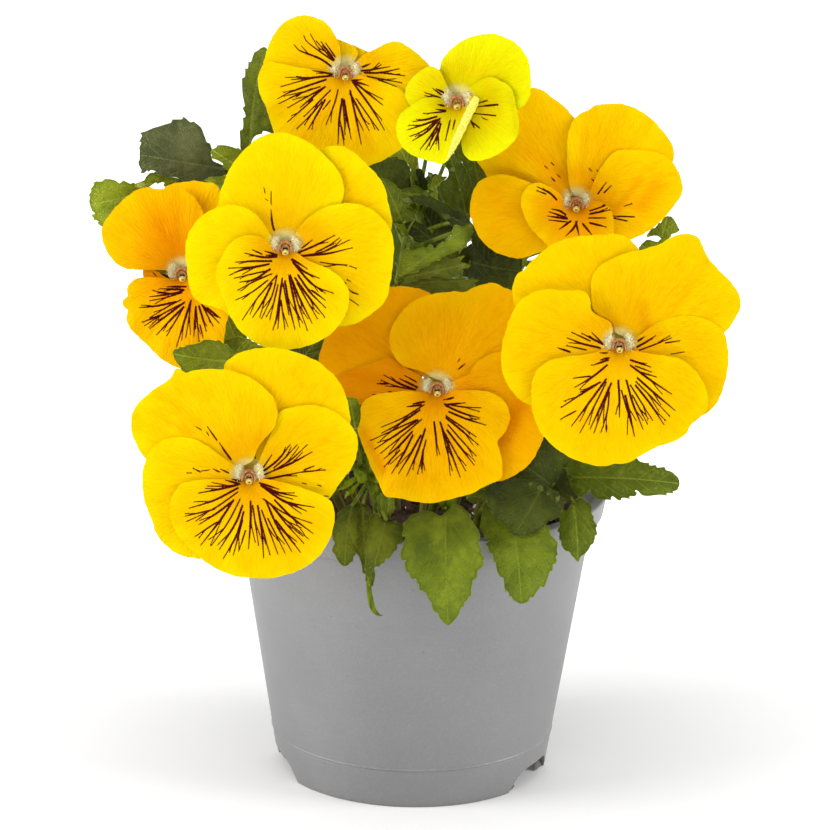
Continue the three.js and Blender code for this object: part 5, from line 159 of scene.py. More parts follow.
  "lip": dict(edge=[(-3.21, -0.88), (-7.89, -1.03), (-12.85, -1.18), (-17.23, -1.63), (-19.85, -2.65), (-21.61, -4.99), (-22.63, -7.92), (-22.78, -11.13), (-21.9, -14.34), (-20.15, -17.56), (-17.82, -20.19), (-15.19, -22.53), (-13.15, -24.28), (-10.81, -26.04), (-7.89, -27.5), (-4.97, -28.67), (-2.05, -29.26), (0.88, -29.4), (4.09, -29.7), (7.6, -29.4), (11.12, -28.52), (14.34, -27.5), (17.26, -25.74), (19.9, -23.69), (21.94, -21.05), (23.41, -18.42), (24.43, -15.19), (24.87, -11.68), (24.57, -9.04), (23.69, -7.29), (21.64, -5.83), (18.42, -4.66), (14.33, -3.2), (9.65, -1.89), (3.8, -0.87)],
   lines=[(0.56, [(-6.72, -1.18), (-2.63, -2.34)]), (0.56, [(-4.97, -0.88), (-2.63, -1.46)]), (0.4, [(-11.68, -2.94), (-7.3, -2.93), (-3.21, -2.63)]), (0.56, [(-14.6, -4.99), (-8.47, -3.81), (-3.21, -2.63)]), (0.56, [(-17.23, -9.37), (-9.93, -7.03), (-3.21, -3.51)]), (0.4, [(-18.4, -11.71), (-9.93, -9.66)]), (0.4, [(-17.82, -13.17), (-9.93, -9.37), (-3.21, -4.68)]), (0.56, [(-14.31, -14.05), (-8.47, -10.24), (-4.38, -7.02)]), (0.4, [(-15.48, -17.56), (-9.35, -13.46)]), (0.56, [(-13.73, -19.9), (-8.47, -13.17), (-4.38, -7.02)]), (0.4, [(-10.81, -20.19), (-6.14, -13.75), (-2.63, -7.02)]), (0.56, [(-8.48, -21.36), (-3.8, -13.75), (-1.75, -8.48)]), (0.56, [(-7.31, -23.99), (-3.51, -17.26), (-1.46, -10.53)]), (0.4, [(-4.38, -22.82), (-1.75, -12.87)]), (0.4, [(-2.63, -21.35), (-0.88, -15.79)]), (0.56, [(0, -21.06), (0.58, -12.87), (0.58, -7.31)]), (0.4, [(2.92, -20.18), (1.17, -8.48)]), (0.56, [(4.39, -23.69), (3.8, -15.79), (2.63, -8.48)]), (0.4, [(6.14, -22.52), (4.09, -15.21), (2.63, -8.77)]), (0.4, [(8.48, -22.52), (3.8, -9.94)]), (0.4, [(10.53, -22.23), (5.55, -12.28)]), (0.56, [(12.58, -21.93), (8.19, -14.33), (4.97, -7.01)]), (0.56, [(14.92, -21.93), (7.89, -12.86)]), (0.4, [(16.09, -19.59), (10.53, -13.45), (6.14, -7.89)]), (0.4, [(17.26, -18.13), (10.53, -12.57), (6.14, -7.89)]), (0.56, [(18.72, -16.66), (12.57, -11.98), (7.6, -7.01)]), (0.4, [(18.43, -13.73), (10.53, -10.81), (4.38, -6.72)]), (0.56, [(16.38, -9.93), (9.65, -7.01), (3.8, -2.63)]), (0.56, [(19.01, -9.05), (10.53, -7.3), (3.8, -2.92)]), (0.4, [(12.86, -6.71), (8.19, -5.26), (3.8, -2.63)]), (0.56, [(13.74, -5.83), (8.48, -4.67), (3.51, -2.63)]), (0.56, [(8.77, -3.79), (3.21, -2.04)])]),
 }),
}
STALKS = {
 "bloom1": [(-7, 17, 85.2), (-14, 14, 140), (-21, 3, 200), (-22.6, -9.5, 229.5), (-23.09, -16.45, 224.75)],
 "bloom2": [(6, 7, 85.2), (10, 7, 135), (14.5, 1, 178), (14, -3, 202), (11.8, -13, 219), (10.6, -23, 225), (10.38, -28.87, 218.94)],
 "bloom3": [(13, 1, 85.2), (22, -1, 125), (38, -8, 168), (46.8, -14.5, 190.5), (46.81, -20.54, 186.61)],
 "bloom4": [(-13, -2, 85.2), (-18, -12, 122), (-29, -29, 166), (-36.5, -40, 184.5), (-39.61, -48.46, 178.51)],
 "bloom5": [(-27, -3, 85.2), (-43, -5, 118), (-60, -12, 152), (-69.5, -18, 168.5), (-71.54, -23.79, 163.89)],
 "bloom6": [(19, -10, 85.2), (27, -19, 113), (44, -40, 148), (54, -52, 159.5), (59.03, -58.9, 153.1)],
 "bloom7": [(2, -17, 85.2), (4, -22, 110), (5, -33, 134), (6, -42, 142), (5.86, -47.74, 135.79)],
 "bloom8": [(-16, -16, 85.2), (-23, -28, 104), (-36, -50, 119), (-45.5, -66, 124), (-48.95, -73.36, 115.47)],
}
STEMS = {
 "rear_left": [(-14, 12, 85.5), (-24, 12, 118), (-39, 9, 160), (-49, 3, 184), (-53, -1, 193)],
 "left_high": [(-20, 1, 85.5), (-35, 4, 116), (-50, 6, 150), (-58, 4, 178), (-59, 2, 188)],
 "centre_rear": [(-2, 10, 85.5), (0, 11, 125), (1, 6, 155), (1, 0, 172), (-1, -5, 182)],
 "right_high": [(14, 9, 85.5), (22, 9, 125), (26, 2, 158), (28, -6, 184), (33, -14, 203)],
 "centre": [(-6, -7, 85.5), (-9, -9, 122), (-8, -17, 148), (-6, -23, 162), (-4, -19, 175)],
 "left_mid": [(-22, -12, 85.5), (-32, -18, 108), (-44, -24, 128), (-53, -32, 138)],
 "front_left": [(-11, -25, 85.5), (-12, -34, 98), (-14, -43, 107), (-16, -49, 115)],
 "front_centre": [(4, -26, 85.5), (6, -36, 97), (8, -44, 102), (9, -50, 99)],
 "front_right": [(18, -26, 85.5), (22, -35, 96), (26.5, -42, 99.5)],
 "right_low": [(27, -14, 85.5), (35, -24, 98), (43, -34, 106)],
}
# Leaves: shoot, base position, blade frame, tip, rise, bow, fold, tone (painted light and shade), outline, petiole
LEAVES = {
 "far_left": ("left_high", (-82.8, 0.58, 183.57), ((0.99746, 0.07095, -0.00662), (-0.00875, 0.21415, 0.97676), (0.07072, -0.97422, 0.21423)), (-17.7, -4.08), 4, 3, -0.15, 0.62,
  [(0.61, 0.61), (-2.44, 2.11), (-4.88, 2.4), (-6.72, 2.78), (-8.7, 3.13), (-9.31, 2.67), (-10.68, 3.36), (-12.51, 3.56), (-14.95, 3.24), (-16.78, 2.77), (-17.85, 0.79), (-18.4, -1.35), (-18.46, -3.48), (-17.86, -5.45), (-16.94, -6.6), (-17.65, -7.28), (-17.25, -8.34), (-15.88, -9.25), (-14.81, -10.77), (-11.61, -11.66), (-7.64, -9.19), (-2.44, -4.28)], [(-58.3, 3.8, 179.4), (-70.6, 2.2, 181.5), (-82.8, 0.6, 183.6), (-85.2, -1.3, 182.9)]),
 "far_right_low": ("right_high", (73.86, -20.95, 169.29), ((0.99772, -0.05743, 0.03554), (-0.0213, 0.23179, 0.97253), (-0.06409, -0.97107, 0.23004)), (-6.93, 5.45), 2, 1, 0, 0.45,
  [(-4.82, 0.93), (-0, 0), (3.61, 2.39), (1.81, 5.4), (0, 6.53), (-2.41, 6.18), (-4.82, 6.34), (-6.78, 5.3), (-7.23, 3.05)], [(26.4, 0.8, 162.5), (50.1, -10.1, 165.9), (73.9, -20.9, 169.3), (73.6, -21.1, 170.4)]),
 "far_left_stipule": ("left_high", (-74.09, -1.27, 187.54), ((0.99794, 0.06398, -0.00433), (-0.00931, 0.21126, 0.97738), (0.06345, -0.97533, 0.21142)), (-13.4, -1.6), 2, 1, -0.1, 0.5,
  [(-11.58, -2.35), (-8.84, -1.58), (-6.7, -0.8), (-4.57, -0.64), (-3.66, -1.85), (-1.22, -1.22), (1.52, 0.01), (-0.61, 0.91), (-3.96, 1.49), (-6.7, 2.54), (-8.53, 2.37), (-9.75, 0.7), (-11.88, -0.38), (-13.4, -1.3)], [(-58.9, 3.2, 183.2), (-66.5, 1, 185.3), (-74.1, -1.3, 187.5), (-75.7, -1.8, 187.9)]),
 "far_right": ("right_high", (71.24, -18.44, 170.51), ((0.99787, -0.05519, 0.03481), (-0.0212, 0.23024, 0.9729), (-0.06171, -0.97157, 0.22858)), (3.92, 12.02), -2, 2, -0.2, 0.33,
  [(-0.3, 6.03), (1.51, 5.41), (2.72, 3.6), (3.62, 4.2), (4.53, 5.85), (6.33, 6.89), (7.33, 8.24), (6.33, 10.05), (5.13, 11.32), (3.62, 11.96), (2.11, 10.53), (0.6, 9.03), (-0.91, 7.99), (-2.72, 6.04)], [(26.4, 0.8, 162.5), (48.8, -8.8, 166.5), (71.2, -18.4, 170.5), (72.3, -17.9, 173.4)]),
 "slate": ("left_mid", (-55.5, -42.63, 141.73), ((0.99872, 0.05053, 0.0001), (-0.0131, 0.25703, 0.96631), (0.0488, -0.96508, 0.25737)), (-17.59, 2.34), 8, 3, -0.15, 0.45,
  [(-15.96, -0.64), (-13.87, -3.47), (-11.94, -5.7), (-7.46, -6.28), (-1.79, -3.88), (1.79, 0.3), (-0, 3.58), (-2.98, 5.81), (-5.37, 6.45), (-7.75, 6.24), (-10.14, 5.64), (-13.12, 4.73), (-15.8, 4.04), (-17.5, 2.78)], [(-53, -32, 138), (-54.2, -37.3, 139.9), (-55.5, -42.6, 141.7), (-58.3, -45, 142.3)]),
 "green_b": ("left_mid", (-55.82, -36.26, 141.9), ((0.99872, 0.05053, 0.0001), (-0.01303, 0.25551, 0.96672), (0.04882, -0.96548, 0.25585)), (10.2, 2.13), 2, 1, -0.1, 0.42,
  [(-1.2, -0), (2.4, -2.39), (7.2, -1.18), (10.2, 2.13), (7.8, 3.47), (5.4, 4.81), (2.4, 5.55), (-0.6, 5.24), (-3, 3.59)], [(-53, -32, 138), (-54.4, -34.1, 139.9), (-55.8, -36.3, 141.9), (-54.7, -36.5, 142.6)]),
 "side_low": ("right_low", (47.71, -39.96, 98.58), ((0.999, -0.03474, 0.02811), (-0.01673, 0.29258, 0.95609), (-0.04144, -0.95561, 0.29171)), (1.36, -17.73), 4, 3, -0.22, 0.4,
  [(-4.33, -3.63), (-3.94, -5.75), (-4.54, -8.18), (-4.09, -10.6), (-3.63, -12.73), (-2.42, -14.15), (-0.91, -14.64), (0, -16.67), (1.42, -17.79), (2.12, -16.36), (3.63, -15.46), (4.84, -13.94), (5.75, -12.12), (6.75, -10), (6.96, -7.58), (6.36, -5.46), (5.45, -3.34), (5.6, -0.91), (3.94, -0), (2.27, 1.97), (0.91, 0.91), (-0.91, -0.91), (-2.12, -2.42), (-4.09, -1.81)], [(43, -34, 106), (45.4, -37, 102.3), (47.7, -40, 98.6), (48, -42.3, 96.4)]),
 "blunt": ("right_low", (47.29, -37.6, 105.77), ((0.99901, -0.03449, 0.02803), (-0.01699, 0.28629, 0.95799), (-0.04107, -0.95752, 0.28542)), (32.06, -1.85), 6, 4, -0.15, 0.27,
  [(-0.61, -1.82), (0.61, -4.54), (2.42, -5.76), (4.54, -4.85), (5.06, -3.34), (5.54, -5), (7.87, -5.98), (10.29, -6.89), (11.8, -6.89), (11.95, -5.77), (13.92, -6.47), (16.34, -6.07), (18.67, -5.47), (18.97, -4.05), (19.88, -4.56), (20.88, -5.47), (22.99, -5.78), (26.01, -5.39), (29.04, -4.78), (31.15, -3.88), (32.12, -2.46), (32.11, -0.94), (31.24, 0.72), (29.94, 1.93), (28.13, 2.54), (25.1, 3.39), (22.08, 4.36), (19.06, 5.58), (13.01, 6.65), (7.26, 6.96), (3.03, 6.66), (-0, 5.15), (-1.82, 3.03)], [(43, -34, 106), (45.1, -35.8, 105.9), (47.3, -37.6, 105.8), (50, -38.1, 108.4)]),
 "fuzzy": ("front_right", (37.39, -46.44, 104.48), ((0.99933, -0.0265, 0.02541), (-0.01666, 0.2893, 0.95709), (-0.03271, -0.95687, 0.28866)), (-7.82, -13.24), 10, 3, -0.15, 0.14,
  [(-16.1, -3.45), (-14.74, -6.16), (-13.09, -8.57), (-11.28, -10.07), (-9.48, -10.98), (-8.42, -13.03), (-6.02, -13.93), (-3.01, -13.45), (-0.9, -12.43), (1.05, -10.98), (2.86, -9.18), (5.11, -8.43), (6.32, -6.62), (7.22, -3.31), (4.81, -0.61), (0.3, 1.5), (-5.41, 3.01), (-10.53, 3.02), (-14.74, 1.22), (-17.15, -1.04)], [(26.5, -42, 99.5), (31.9, -44.2, 99.7), (37.4, -46.4, 104.5), (35.6, -49.1, 103.6)]),
 "bit_a": ("left_high", (-59.13, -6.97, 186.22), ((0.99865, 0.05203, -0.00039), (-0.01074, 0.2134, 0.97691), (0.05091, -0.97558, 0.21367)), (-6.07, 2.99), 2, 1, 0, 0.55,
  [(-5.16, 1.49), (-3.04, -0.02), (-0, -0.6), (1.21, 2.12), (-0.3, 4.23), (-3.95, 3.76), (-6.68, 2.99)], [(-58.9, 3.2, 183.2), (-59, -1.9, 184.7), (-59.1, -7, 186.2), (-59.6, -7.3, 187)]),
 "slate_b": ("left_mid", (-54.02, -23.87, 141.16), ((0.99882, 0.04854, 0.00076), (-0.01305, 0.25347, 0.96725), (0.04675, -0.96612, 0.25381)), (-4.24, 10.58), 2, 1, 0, 0.35,
  [(-4.7, 8.46), (-5.3, 5.44), (-5.76, 2.1), (-3.64, -0.31), (-0, -0.61), (2.43, 1.22), (1.82, 4.25), (-0.61, 7.87), (-3.64, 11.49)], [(-51, -30.1, 135.9), (-52.5, -27, 138.5), (-54, -23.9, 141.2), (-54.7, -24.1, 142.4)]),
 "grey": ("left_high", (-58.62, 0.84, 190.76), ((0.99868, 0.05128, -0.00014), (-0.01056, 0.20831, 0.97801), (0.05018, -0.97672, 0.20858)), (-27.13, 4.41), 4, 3, -0.15, 0.3,
  [(0.31, -0.3), (-2.14, 1.51), (-4.88, 2.71), (-5.49, 4.22), (-4.88, 5.44), (-6.1, 7.56), (-7.62, 10.89), (-8.69, 12.85), (-10.67, 14.05), (-12.8, 15.25), (-14.32, 15.6), (-16.45, 14.98), (-18.89, 14.15), (-21.32, 13.38), (-23.46, 12.76), (-25.28, 11.69), (-26.66, 10.63), (-26.97, 8.35), (-27.22, 5.62), (-27.22, 2.59), (-27.05, 0.16), (-26.07, -0.96), (-24.7, -0.52), (-23.79, -0.12), (-21.66, -1.18), (-19.22, -1.92), (-16.17, -2.36), (-14.04, -3.72), (-11.29, -4.31), (-7.94, -4.3), (-5.19, -3.37), (-2.14, -2.44)], [(-58.9, 2.6, 185.5), (-58.8, 1.7, 188.1), (-58.6, 0.8, 190.8), (-65.9, -0.8, 193)]),
 "small_high": ("rear_left", (-55.6, -4.67, 193.21), ((0.9988, 0.04904, 0.0006), (-0.01076, 0.20727, 0.97822), (0.04784, -0.97705, 0.20755)), (-7.89, 4.79), 4, 2, -0.1, 0.45,
  [(0.61, 4.84), (-1.21, 5.73), (-3.64, 6.17), (-5.77, 6.01), (-7.44, 5.25), (-8.35, 4.19), (-7.89, 2.68), (-6.38, 1.78), (-4.86, 0.58), (-3.34, -1.23), (-0.61, -1.82), (2.43, -0.59), (4.25, 2.74)], [(-51, 1.3, 188.6), (-53.3, -1.7, 190.9), (-55.6, -4.7, 193.2), (-55.6, -4.9, 193.9)]),
 "front_right_big": ("front_right", (28.44, -47.99, 99.77), ((0.99956, -0.019, 0.02295), (-0.01637, 0.29332, 0.95587), (-0.02489, -0.95583, 0.29288)), (3.31, -29.05), 7, 6.5, -0.15, 0.58,
  [(-8.12, 0), (-8.73, -2.7), (-8.58, -5.71), (-8.12, -8.12), (-7.82, -9.93), (-6.41, -10.32), (-6.92, -12.03), (-6.02, -13.84), (-4.81, -15.74), (-4.51, -17.75), (-3.91, -19.86), (-3.01, -21.46), (-2.32, -21.58), (-1.81, -24.08), (-0.6, -26.18), (0.9, -27.99), (2.71, -29.11), (4.51, -28.98), (6.02, -27.54), (7.82, -25.43), (9.03, -23.78), (9.84, -23.99), (10.53, -22.27), (12.03, -19.56), (12.93, -17.46), (13.84, -16.1), (13.69, -13.54), (14.23, -11.14), (13.23, -9.63), (11.73, -7.83), (10.53, -5.42), (6.62, -2.41), (1.2, -0), (-4.21, 1.21)], [(26.5, -42, 99.5), (27.5, -45, 99.6), (28.4, -48, 99.8), (28.7, -50.6, 98.3)]),
 "fuzzy_top": ("right_low", (41.3, -37.43, 103.09), ((0.99922, -0.0295, 0.02639), (-0.01678, 0.2883, 0.95739), (-0.03585, -0.95709, 0.28757)), (-9.7, 7.29), 4, 3, -0.1, 0.08,
  [(-11.52, -2.42), (-5.46, -4.24), (0, -5.46), (4.85, -5.16), (7.88, -3.34), (5.91, -0.61), (4.85, 3.33), (5.76, 5.75), (8.48, 6.96), (8.48, 9.08), (4.24, 12.12), (0, 14.55), (-3.33, 14.55), (-6.06, 10.31), (-9.7, 6.68), (-13.34, 3.65), (-17.59, 1.23)], [(43, -34, 106), (41.3, -37.4, 103.1), (40.2, -38.4, 105.4)]),
 "under_c": ("front_left", (-8.77, -53.78, 96.54), ((0.99985, 0.01204, 0.01276), (-0.01576, 0.29683, 0.9548), (0.00771, -0.95485, 0.29698)), (-4.8, -19.78), 9, 4.5, -0.2, 0.42,
  [(-4.8, -0.9), (-5.1, -3.9), (-5.99, -7.49), (-5.84, -10.79), (-5.55, -15.59), (-4.95, -19.78), (-4.2, -16.49), (-3.45, -14.24), (-2.4, -13.79), (-0.9, -12.89), (0.15, -11.54), (1.5, -10.79), (2.85, -8.99), (3.15, -7.34), (4.2, -6.59), (5.1, -6.44), (4.95, -5.09), (5.25, -2.7), (4.2, -1.05), (2.7, -0.15), (0.6, -0.75), (-1.2, 0.45), (-2.7, 2.1), (-4.5, 1.35)], [(-13.7, -41.8, 105.7), (-11.2, -47.8, 101.1), (-8.8, -53.8, 96.5), (-9.9, -55.9, 95.6)]),
 "front_big": ("front_centre", (8.85, -53.05, 100.37), ((0.99984, -0.00273, 0.01761), (-0.01603, 0.29381, 0.95573), (-0.00778, -0.95586, 0.29372)), (0.9, -34.77), 8, 6, -0.14, 0.5,
  [(0.6, -0.9), (-1.5, -2.4), (-3.89, -1.2), (-6.89, -0.99), (-9.89, -1.95), (-10.94, -3.44), (-12.34, -5.39), (-12.58, -7.49), (-11.99, -9.59), (-12.74, -11.38), (-13.1, -13.48), (-12.59, -15.07), (-11.54, -15.13), (-11.69, -16.78), (-11.09, -18.88), (-10.19, -20.67), (-8.69, -21.18), (-7.79, -23.07), (-6.59, -25.08), (-5.9, -25.08), (-5.1, -26.97), (-3.6, -29.37), (-2.1, -31.77), (-0.6, -33.87), (0.75, -34.86), (1.65, -34.47), (2.7, -32.97), (3.9, -31.17), (5.1, -29.37), (6.29, -27.42), (7.19, -26.52), (7.79, -24.57), (8.39, -22.47), (8.39, -21.57), (9.5, -21.36), (9.8, -19.48), (10.19, -17.68), (11.39, -16.78), (11.24, -14.38), (10.49, -11.98), (10.04, -8.99), (9.29, -5.99), (8.09, -3.6), (6.59, -1.2), (4.79, 0.51), (2.7, 1.05)], [(9, -50, 99), (8.9, -53.1, 100.4), (8.8, -56.4, 97.8)]),
 "under_a": ("front_left", (-19.08, -49.18, 99.35), ((0.99974, 0.02055, 0.00997), (-0.01556, 0.29331, 0.95589), (0.01672, -0.9558, 0.29356)), (-2.1, -17.89), 10, 3.5, -0.2, 0.45,
  [(-1.2, 0.3), (-3.31, -1.5), (-4.51, -3.61), (-5.41, -6.31), (-5.8, -8.72), (-5.26, -10.82), (-5.56, -13.23), (-4.81, -15.48), (-3.61, -17.14), (-2.1, -17.98), (-0.6, -17.23), (0.6, -15.33), (1.35, -12.93), (1.5, -9.62), (1.65, -5.71), (1.35, -2.1), (0.3, -0.3)], [(-13.7, -41.8, 105.7), (-16.4, -45.5, 102.5), (-19.1, -49.2, 99.3), (-19.6, -53.4, 96.7)]),
 "tall": ("rear_left", (-52.39, -1.74, 195.74), ((0.99893, 0.04629, 0.0015), (-0.01095, 0.2047, 0.97876), (0.045, -0.97773, 0.20499)), (4.7, 33.22), -4, 3, -0.18, 0.38,
  [(0.61, 3.94), (1.82, 6.06), (4.26, 7.28), (8.21, 7.6), (9.12, 12.44), (8.81, 17.58), (7.9, 24.51), (6.68, 30.22), (4.7, 33.22), (2.43, 31.7), (0.61, 29.28), (-0.76, 26.57), (-1.67, 23.85), (-1.97, 20.83), (-1.82, 17.82), (-1.61, 15.1), (-1.37, 12.39), (-1.82, 9.97), (-2.43, 7.25), (-2.74, 4.52), (-2.59, 2.11), (-0.91, -0.31)], [(-52, 0.2, 190.7), (-52.2, -0.8, 193.2), (-52.4, -1.7, 195.7), (-50.9, 0.4, 204.1)]),
 "leaflet_b": ("front_left", (-8.78, -51.58, 95.23), ((0.99985, 0.01204, 0.01276), (-0.01577, 0.29734, 0.95464), (0.0077, -0.9547, 0.29748)), (1.5, 8.41), 4, 0.5, -0.2, 0.5,
  [(-0, 4.81), (-0.6, 2.1), (0.15, -0.3), (1.59, 1.8), (2.4, 4.2), (2.49, 6.91), (1.2, 8.26), (-0.15, 7.51)], [(-13.7, -41.8, 105.7), (-11.2, -46.7, 100.5), (-8.8, -51.6, 95.2), (-8.4, -52, 97.1)]),
 "leaflet_a": ("front_left", (-10.3, -51.12, 96.63), ((0.99984, 0.01329, 0.01235), (-0.01573, 0.29608, 0.95503), (0.00904, -0.95507, 0.29624)), (0, 7.21), 3, 0.5, -0.2, 0.42,
  [(-0.69, 2.4), (0.3, 0), (1.2, 1.8), (1.35, 5.11), (0.45, 7.21), (-0.6, 6.61), (-1.11, 4.8)], [(-13.7, -41.8, 105.7), (-12, -46.5, 101.2), (-10.3, -51.1, 96.6), (-10.3, -51.4, 98.5)]),
 "grey_bit": ("front_right", (23.01, -45.16, 101.96), ((0.99966, -0.01449, 0.02147), (-0.01633, 0.2908, 0.95665), (-0.02011, -0.95668, 0.29046)), (-7.84, -0.6), 4, 0.5, 0, 0.33,
  [(-6.63, -1.96), (-3.62, -1.35), (-0.6, -0.9), (1.51, 1.81), (-0.6, 3.31), (-3.62, 1.81), (-6.63, 0.91), (-7.99, -0.3)], [(25.1, -39.9, 98.7), (24.1, -42.5, 100.3), (23, -45.2, 102), (22.5, -45.4, 102.3)]),
 "under_b": ("front_left", (-15.8, -48.02, 99.67), ((0.99978, 0.0178, 0.01087), (-0.01561, 0.29281, 0.95604), (0.01383, -0.95601, 0.29302)), (1.81, -24.98), 11, 4.5, -0.2, 0.25,
  [(-2.86, -7.82), (-2.41, -13.24), (-1.5, -15.65), (-0.3, -18.66), (0.9, -22.27), (1.96, -25.28), (3.61, -21.67), (3.31, -18.66), (2.11, -15.35), (1.66, -11.43), (2.11, -7.82), (2.71, -4.21), (2.11, -1.5), (-0.6, 0.3), (-3.31, -1.2)], [(-13.7, -41.8, 105.7), (-14.7, -44.9, 102.7), (-15.8, -48, 99.7), (-15.8, -52.7, 96.3)]),
 "twig_leaf": ("front_left", (-18.16, -46.27, 121.03), ((0.99976, 0.01955, 0.0103), (-0.01528, 0.27515, 0.96128), (0.01596, -0.9612, 0.27538)), (-2.1, 11.37), 18, -1.5, -0.2, 0.4,
  [(-2.4, 7.18), (-1.95, 4.19), (-1.2, 1.8), (-0, 0), (0.9, 1.8), (1.95, 3.44), (2.4, 5.09), (1.65, 7.18), (0.75, 9.28), (-0.6, 10.83), (-1.8, 10.62), (-2.84, 11.22)], [(-16, -49, 115), (-17.1, -47.6, 118), (-18.2, -46.3, 121), (-18.1, -47.8, 123.3)]),
 "gap_leaf": ("left_mid", (-35.67, -27.23, 137.34), ((0.99942, 0.03355, 0.00569), (-0.01414, 0.25746, 0.96619), (0.03095, -0.96571, 0.25778)), (4.84, 6.66), 4, 2, -0.1, 0.13,
  [(-1.21, 0.6), (3.03, -1.21), (6.66, -0.59), (8.18, 3.64), (9.08, 7.88), (6.66, 9.69), (3.63, 8.78), (-0, 7.86), (-3.03, 6.35), (-5.45, 3.62)], [(-44.8, -24.5, 129.1), (-40.2, -25.9, 133.2), (-35.7, -27.2, 137.3), (-34.5, -28.3, 139)]),
 "bit_d": ("right_high", (35.69, -11.47, 207.75), ((0.99933, -0.0265, 0.02541), (-0.01968, 0.19745, 0.98012), (-0.03099, -0.97996, 0.19679)), (-6.62, 4.51), 3, 0.5, 0, 0.15,
  [(-9.03, 3.62), (-7.83, 2.42), (-6.32, 3.01), (-4.36, 4.2), (-2.86, 5.99), (-3.61, 7.04), (-5.11, 6.15), (-7.52, 5.41)], [(33, -14, 203), (34.3, -12.7, 205.4), (35.7, -11.5, 207.8), (33.3, -12.2, 209.3)]),
 "bit_c": ("right_high", (31.99, -10.77, 161.81), ((0.99946, -0.0225, 0.0241), (-0.01814, 0.23509, 0.97181), (-0.02753, -0.97171, 0.23455)), (0.91, 5.77), 2, 0.5, 0, 0.55,
  [(-1.83, -0.6), (-0.3, 1.22), (0.61, 3.65), (1.83, 6.68), (-0.61, 6.39), (-1.52, 4.26)], [(25.5, 3.2, 153.4), (28.8, -3.8, 157.6), (32, -10.8, 161.8), (31.8, -11, 163.3)]),
 "bright": ("centre", (-6.33, -30.65, 165.38), ((0.99986, 0.00904, 0.01375), (-0.01549, 0.23555, 0.97174), (0.00554, -0.97182, 0.23565)), (22.17, 16.13), -1.5, 4, -0.2, 0.66,
  [(-0.6, -1.2), (1.8, 0.6), (4.8, 1.79), (7.49, 2.84), (10.49, 4.78), (13.49, 6.13), (16.18, 7.33), (18.88, 8.67), (21.13, 10.46), (22.02, 12.55), (22.47, 14.79), (22.01, 16.58), (20.37, 15.24), (18.87, 14.79), (17.22, 15.38), (16.18, 13.74), (15.28, 12.1), (14.38, 11.47), (13.48, 10.46), (11.99, 9.98), (10.79, 8.97), (9.59, 9.41), (8.39, 8.67), (5.99, 8.78), (4.79, 8.22), (3.3, 8.57), (1.65, 7.92), (0.75, 5.08), (-0, 2.09)], [(-6.5, -22.3, 159.1), (-6.4, -26.5, 162.2), (-6.3, -30.7, 165.4), (-2.2, -31, 168.1)]),
 "narrow_a": ("centre", (-6.32, -29.86, 164.57), ((0.99986, 0.00904, 0.01375), (-0.01549, 0.23605, 0.97162), (0.00553, -0.9717, 0.23616)), (21.6, 4.79), 3, 2, -0.15, 0.5,
  [(3, -0.9), (7.2, 0.3), (11.4, 0.9), (15.01, 0.6), (18.31, 1.2), (19.5, 3), (21.6, 4.25), (18.6, 5.54), (20.1, 6.89), (18, 6.65), (15, 5.84), (11.4, 5.09), (7.8, 4.04), (4.5, 2.84), (1.5, 1.5), (-0.6, -0.3)], [(-6.5, -22.3, 159.1), (-6.4, -26.1, 161.8), (-6.3, -29.9, 164.6), (-3, -30.7, 165.8)]),
 "dark_d": ("right_high", (16.63, -23.87, 160.39), ((0.99975, -0.00999, 0.01999), (-0.01703, 0.23861, 0.97097), (-0.01447, -0.97106, 0.23838)), (12.07, 0.59), 4, 2, -0.1, 0.2,
  [(1.81, -1.21), (5.43, -1.81), (9.36, -2.42), (12.08, -1.52), (12.07, 0.59), (9.96, 2.09), (6.94, 3.45), (3.62, 3.91), (0.6, 3.01), (-1.21, 0.9)], [(25.5, 3.2, 153.4), (21.1, -10.3, 156.9), (16.6, -23.9, 160.4), (18.8, -25.2, 161)]),
 "narrow_b": ("centre", (-7.51, -27.51, 162.13), ((0.99986, 0.01004, 0.01342), (-0.01542, 0.23758, 0.97124), (0.00656, -0.97132, 0.2377)), (25.28, 1.51), 4, 3, -0.2, 0.5,
  [(1.2, -1.2), (4.82, -2.1), (9.33, -3.9), (13.24, -4.2), (17.46, -3.59), (20.77, -2.99), (22.42, -1.94), (24.38, -0.44), (23.77, 0.61), (25.58, 1.72), (21.96, 2.02), (18.65, 2.26), (15.64, 2.86), (13.24, 3.99), (10.23, 3.69), (7.22, 2.7), (4.21, 1.8), (1.2, 1.05), (-0.9, -0)], [(-6.5, -22.3, 159.1), (-7, -24.9, 160.6), (-7.5, -27.5, 162.1), (-2.8, -29.2, 162.3)]),
 "ridge_right": ("right_high", (18.63, -13.04, 186.96), ((0.99971, -0.01199, 0.02065), (-0.0176, 0.21469, 0.97652), (-0.01614, -0.97661, 0.21441)), (-6.04, 22.24), 3, 2, -0.1, 0.2,
  [(-5.74, 9.63), (-3.63, 5.42), (-1.81, 0), (0.6, -0), (2.42, 3.61), (2.42, 7.21), (0.6, 11.42), (-1.81, 16.83), (-4.23, 21.64), (-6.34, 21.64), (-7.85, 17.44), (-9.06, 13.84)], [(27.4, -4.1, 178.6), (23, -8.6, 182.8), (18.6, -13, 187), (17.9, -13.4, 190.4)]),
 "arch": ("centre", (15.17, -13.93, 177.84), ((0.99977, -0.00899, 0.01967), (-0.01718, 0.22232, 0.97482), (-0.01313, -0.97493, 0.22211)), (-20.59, 8.17), 6, 5, 0.12, 0.1,
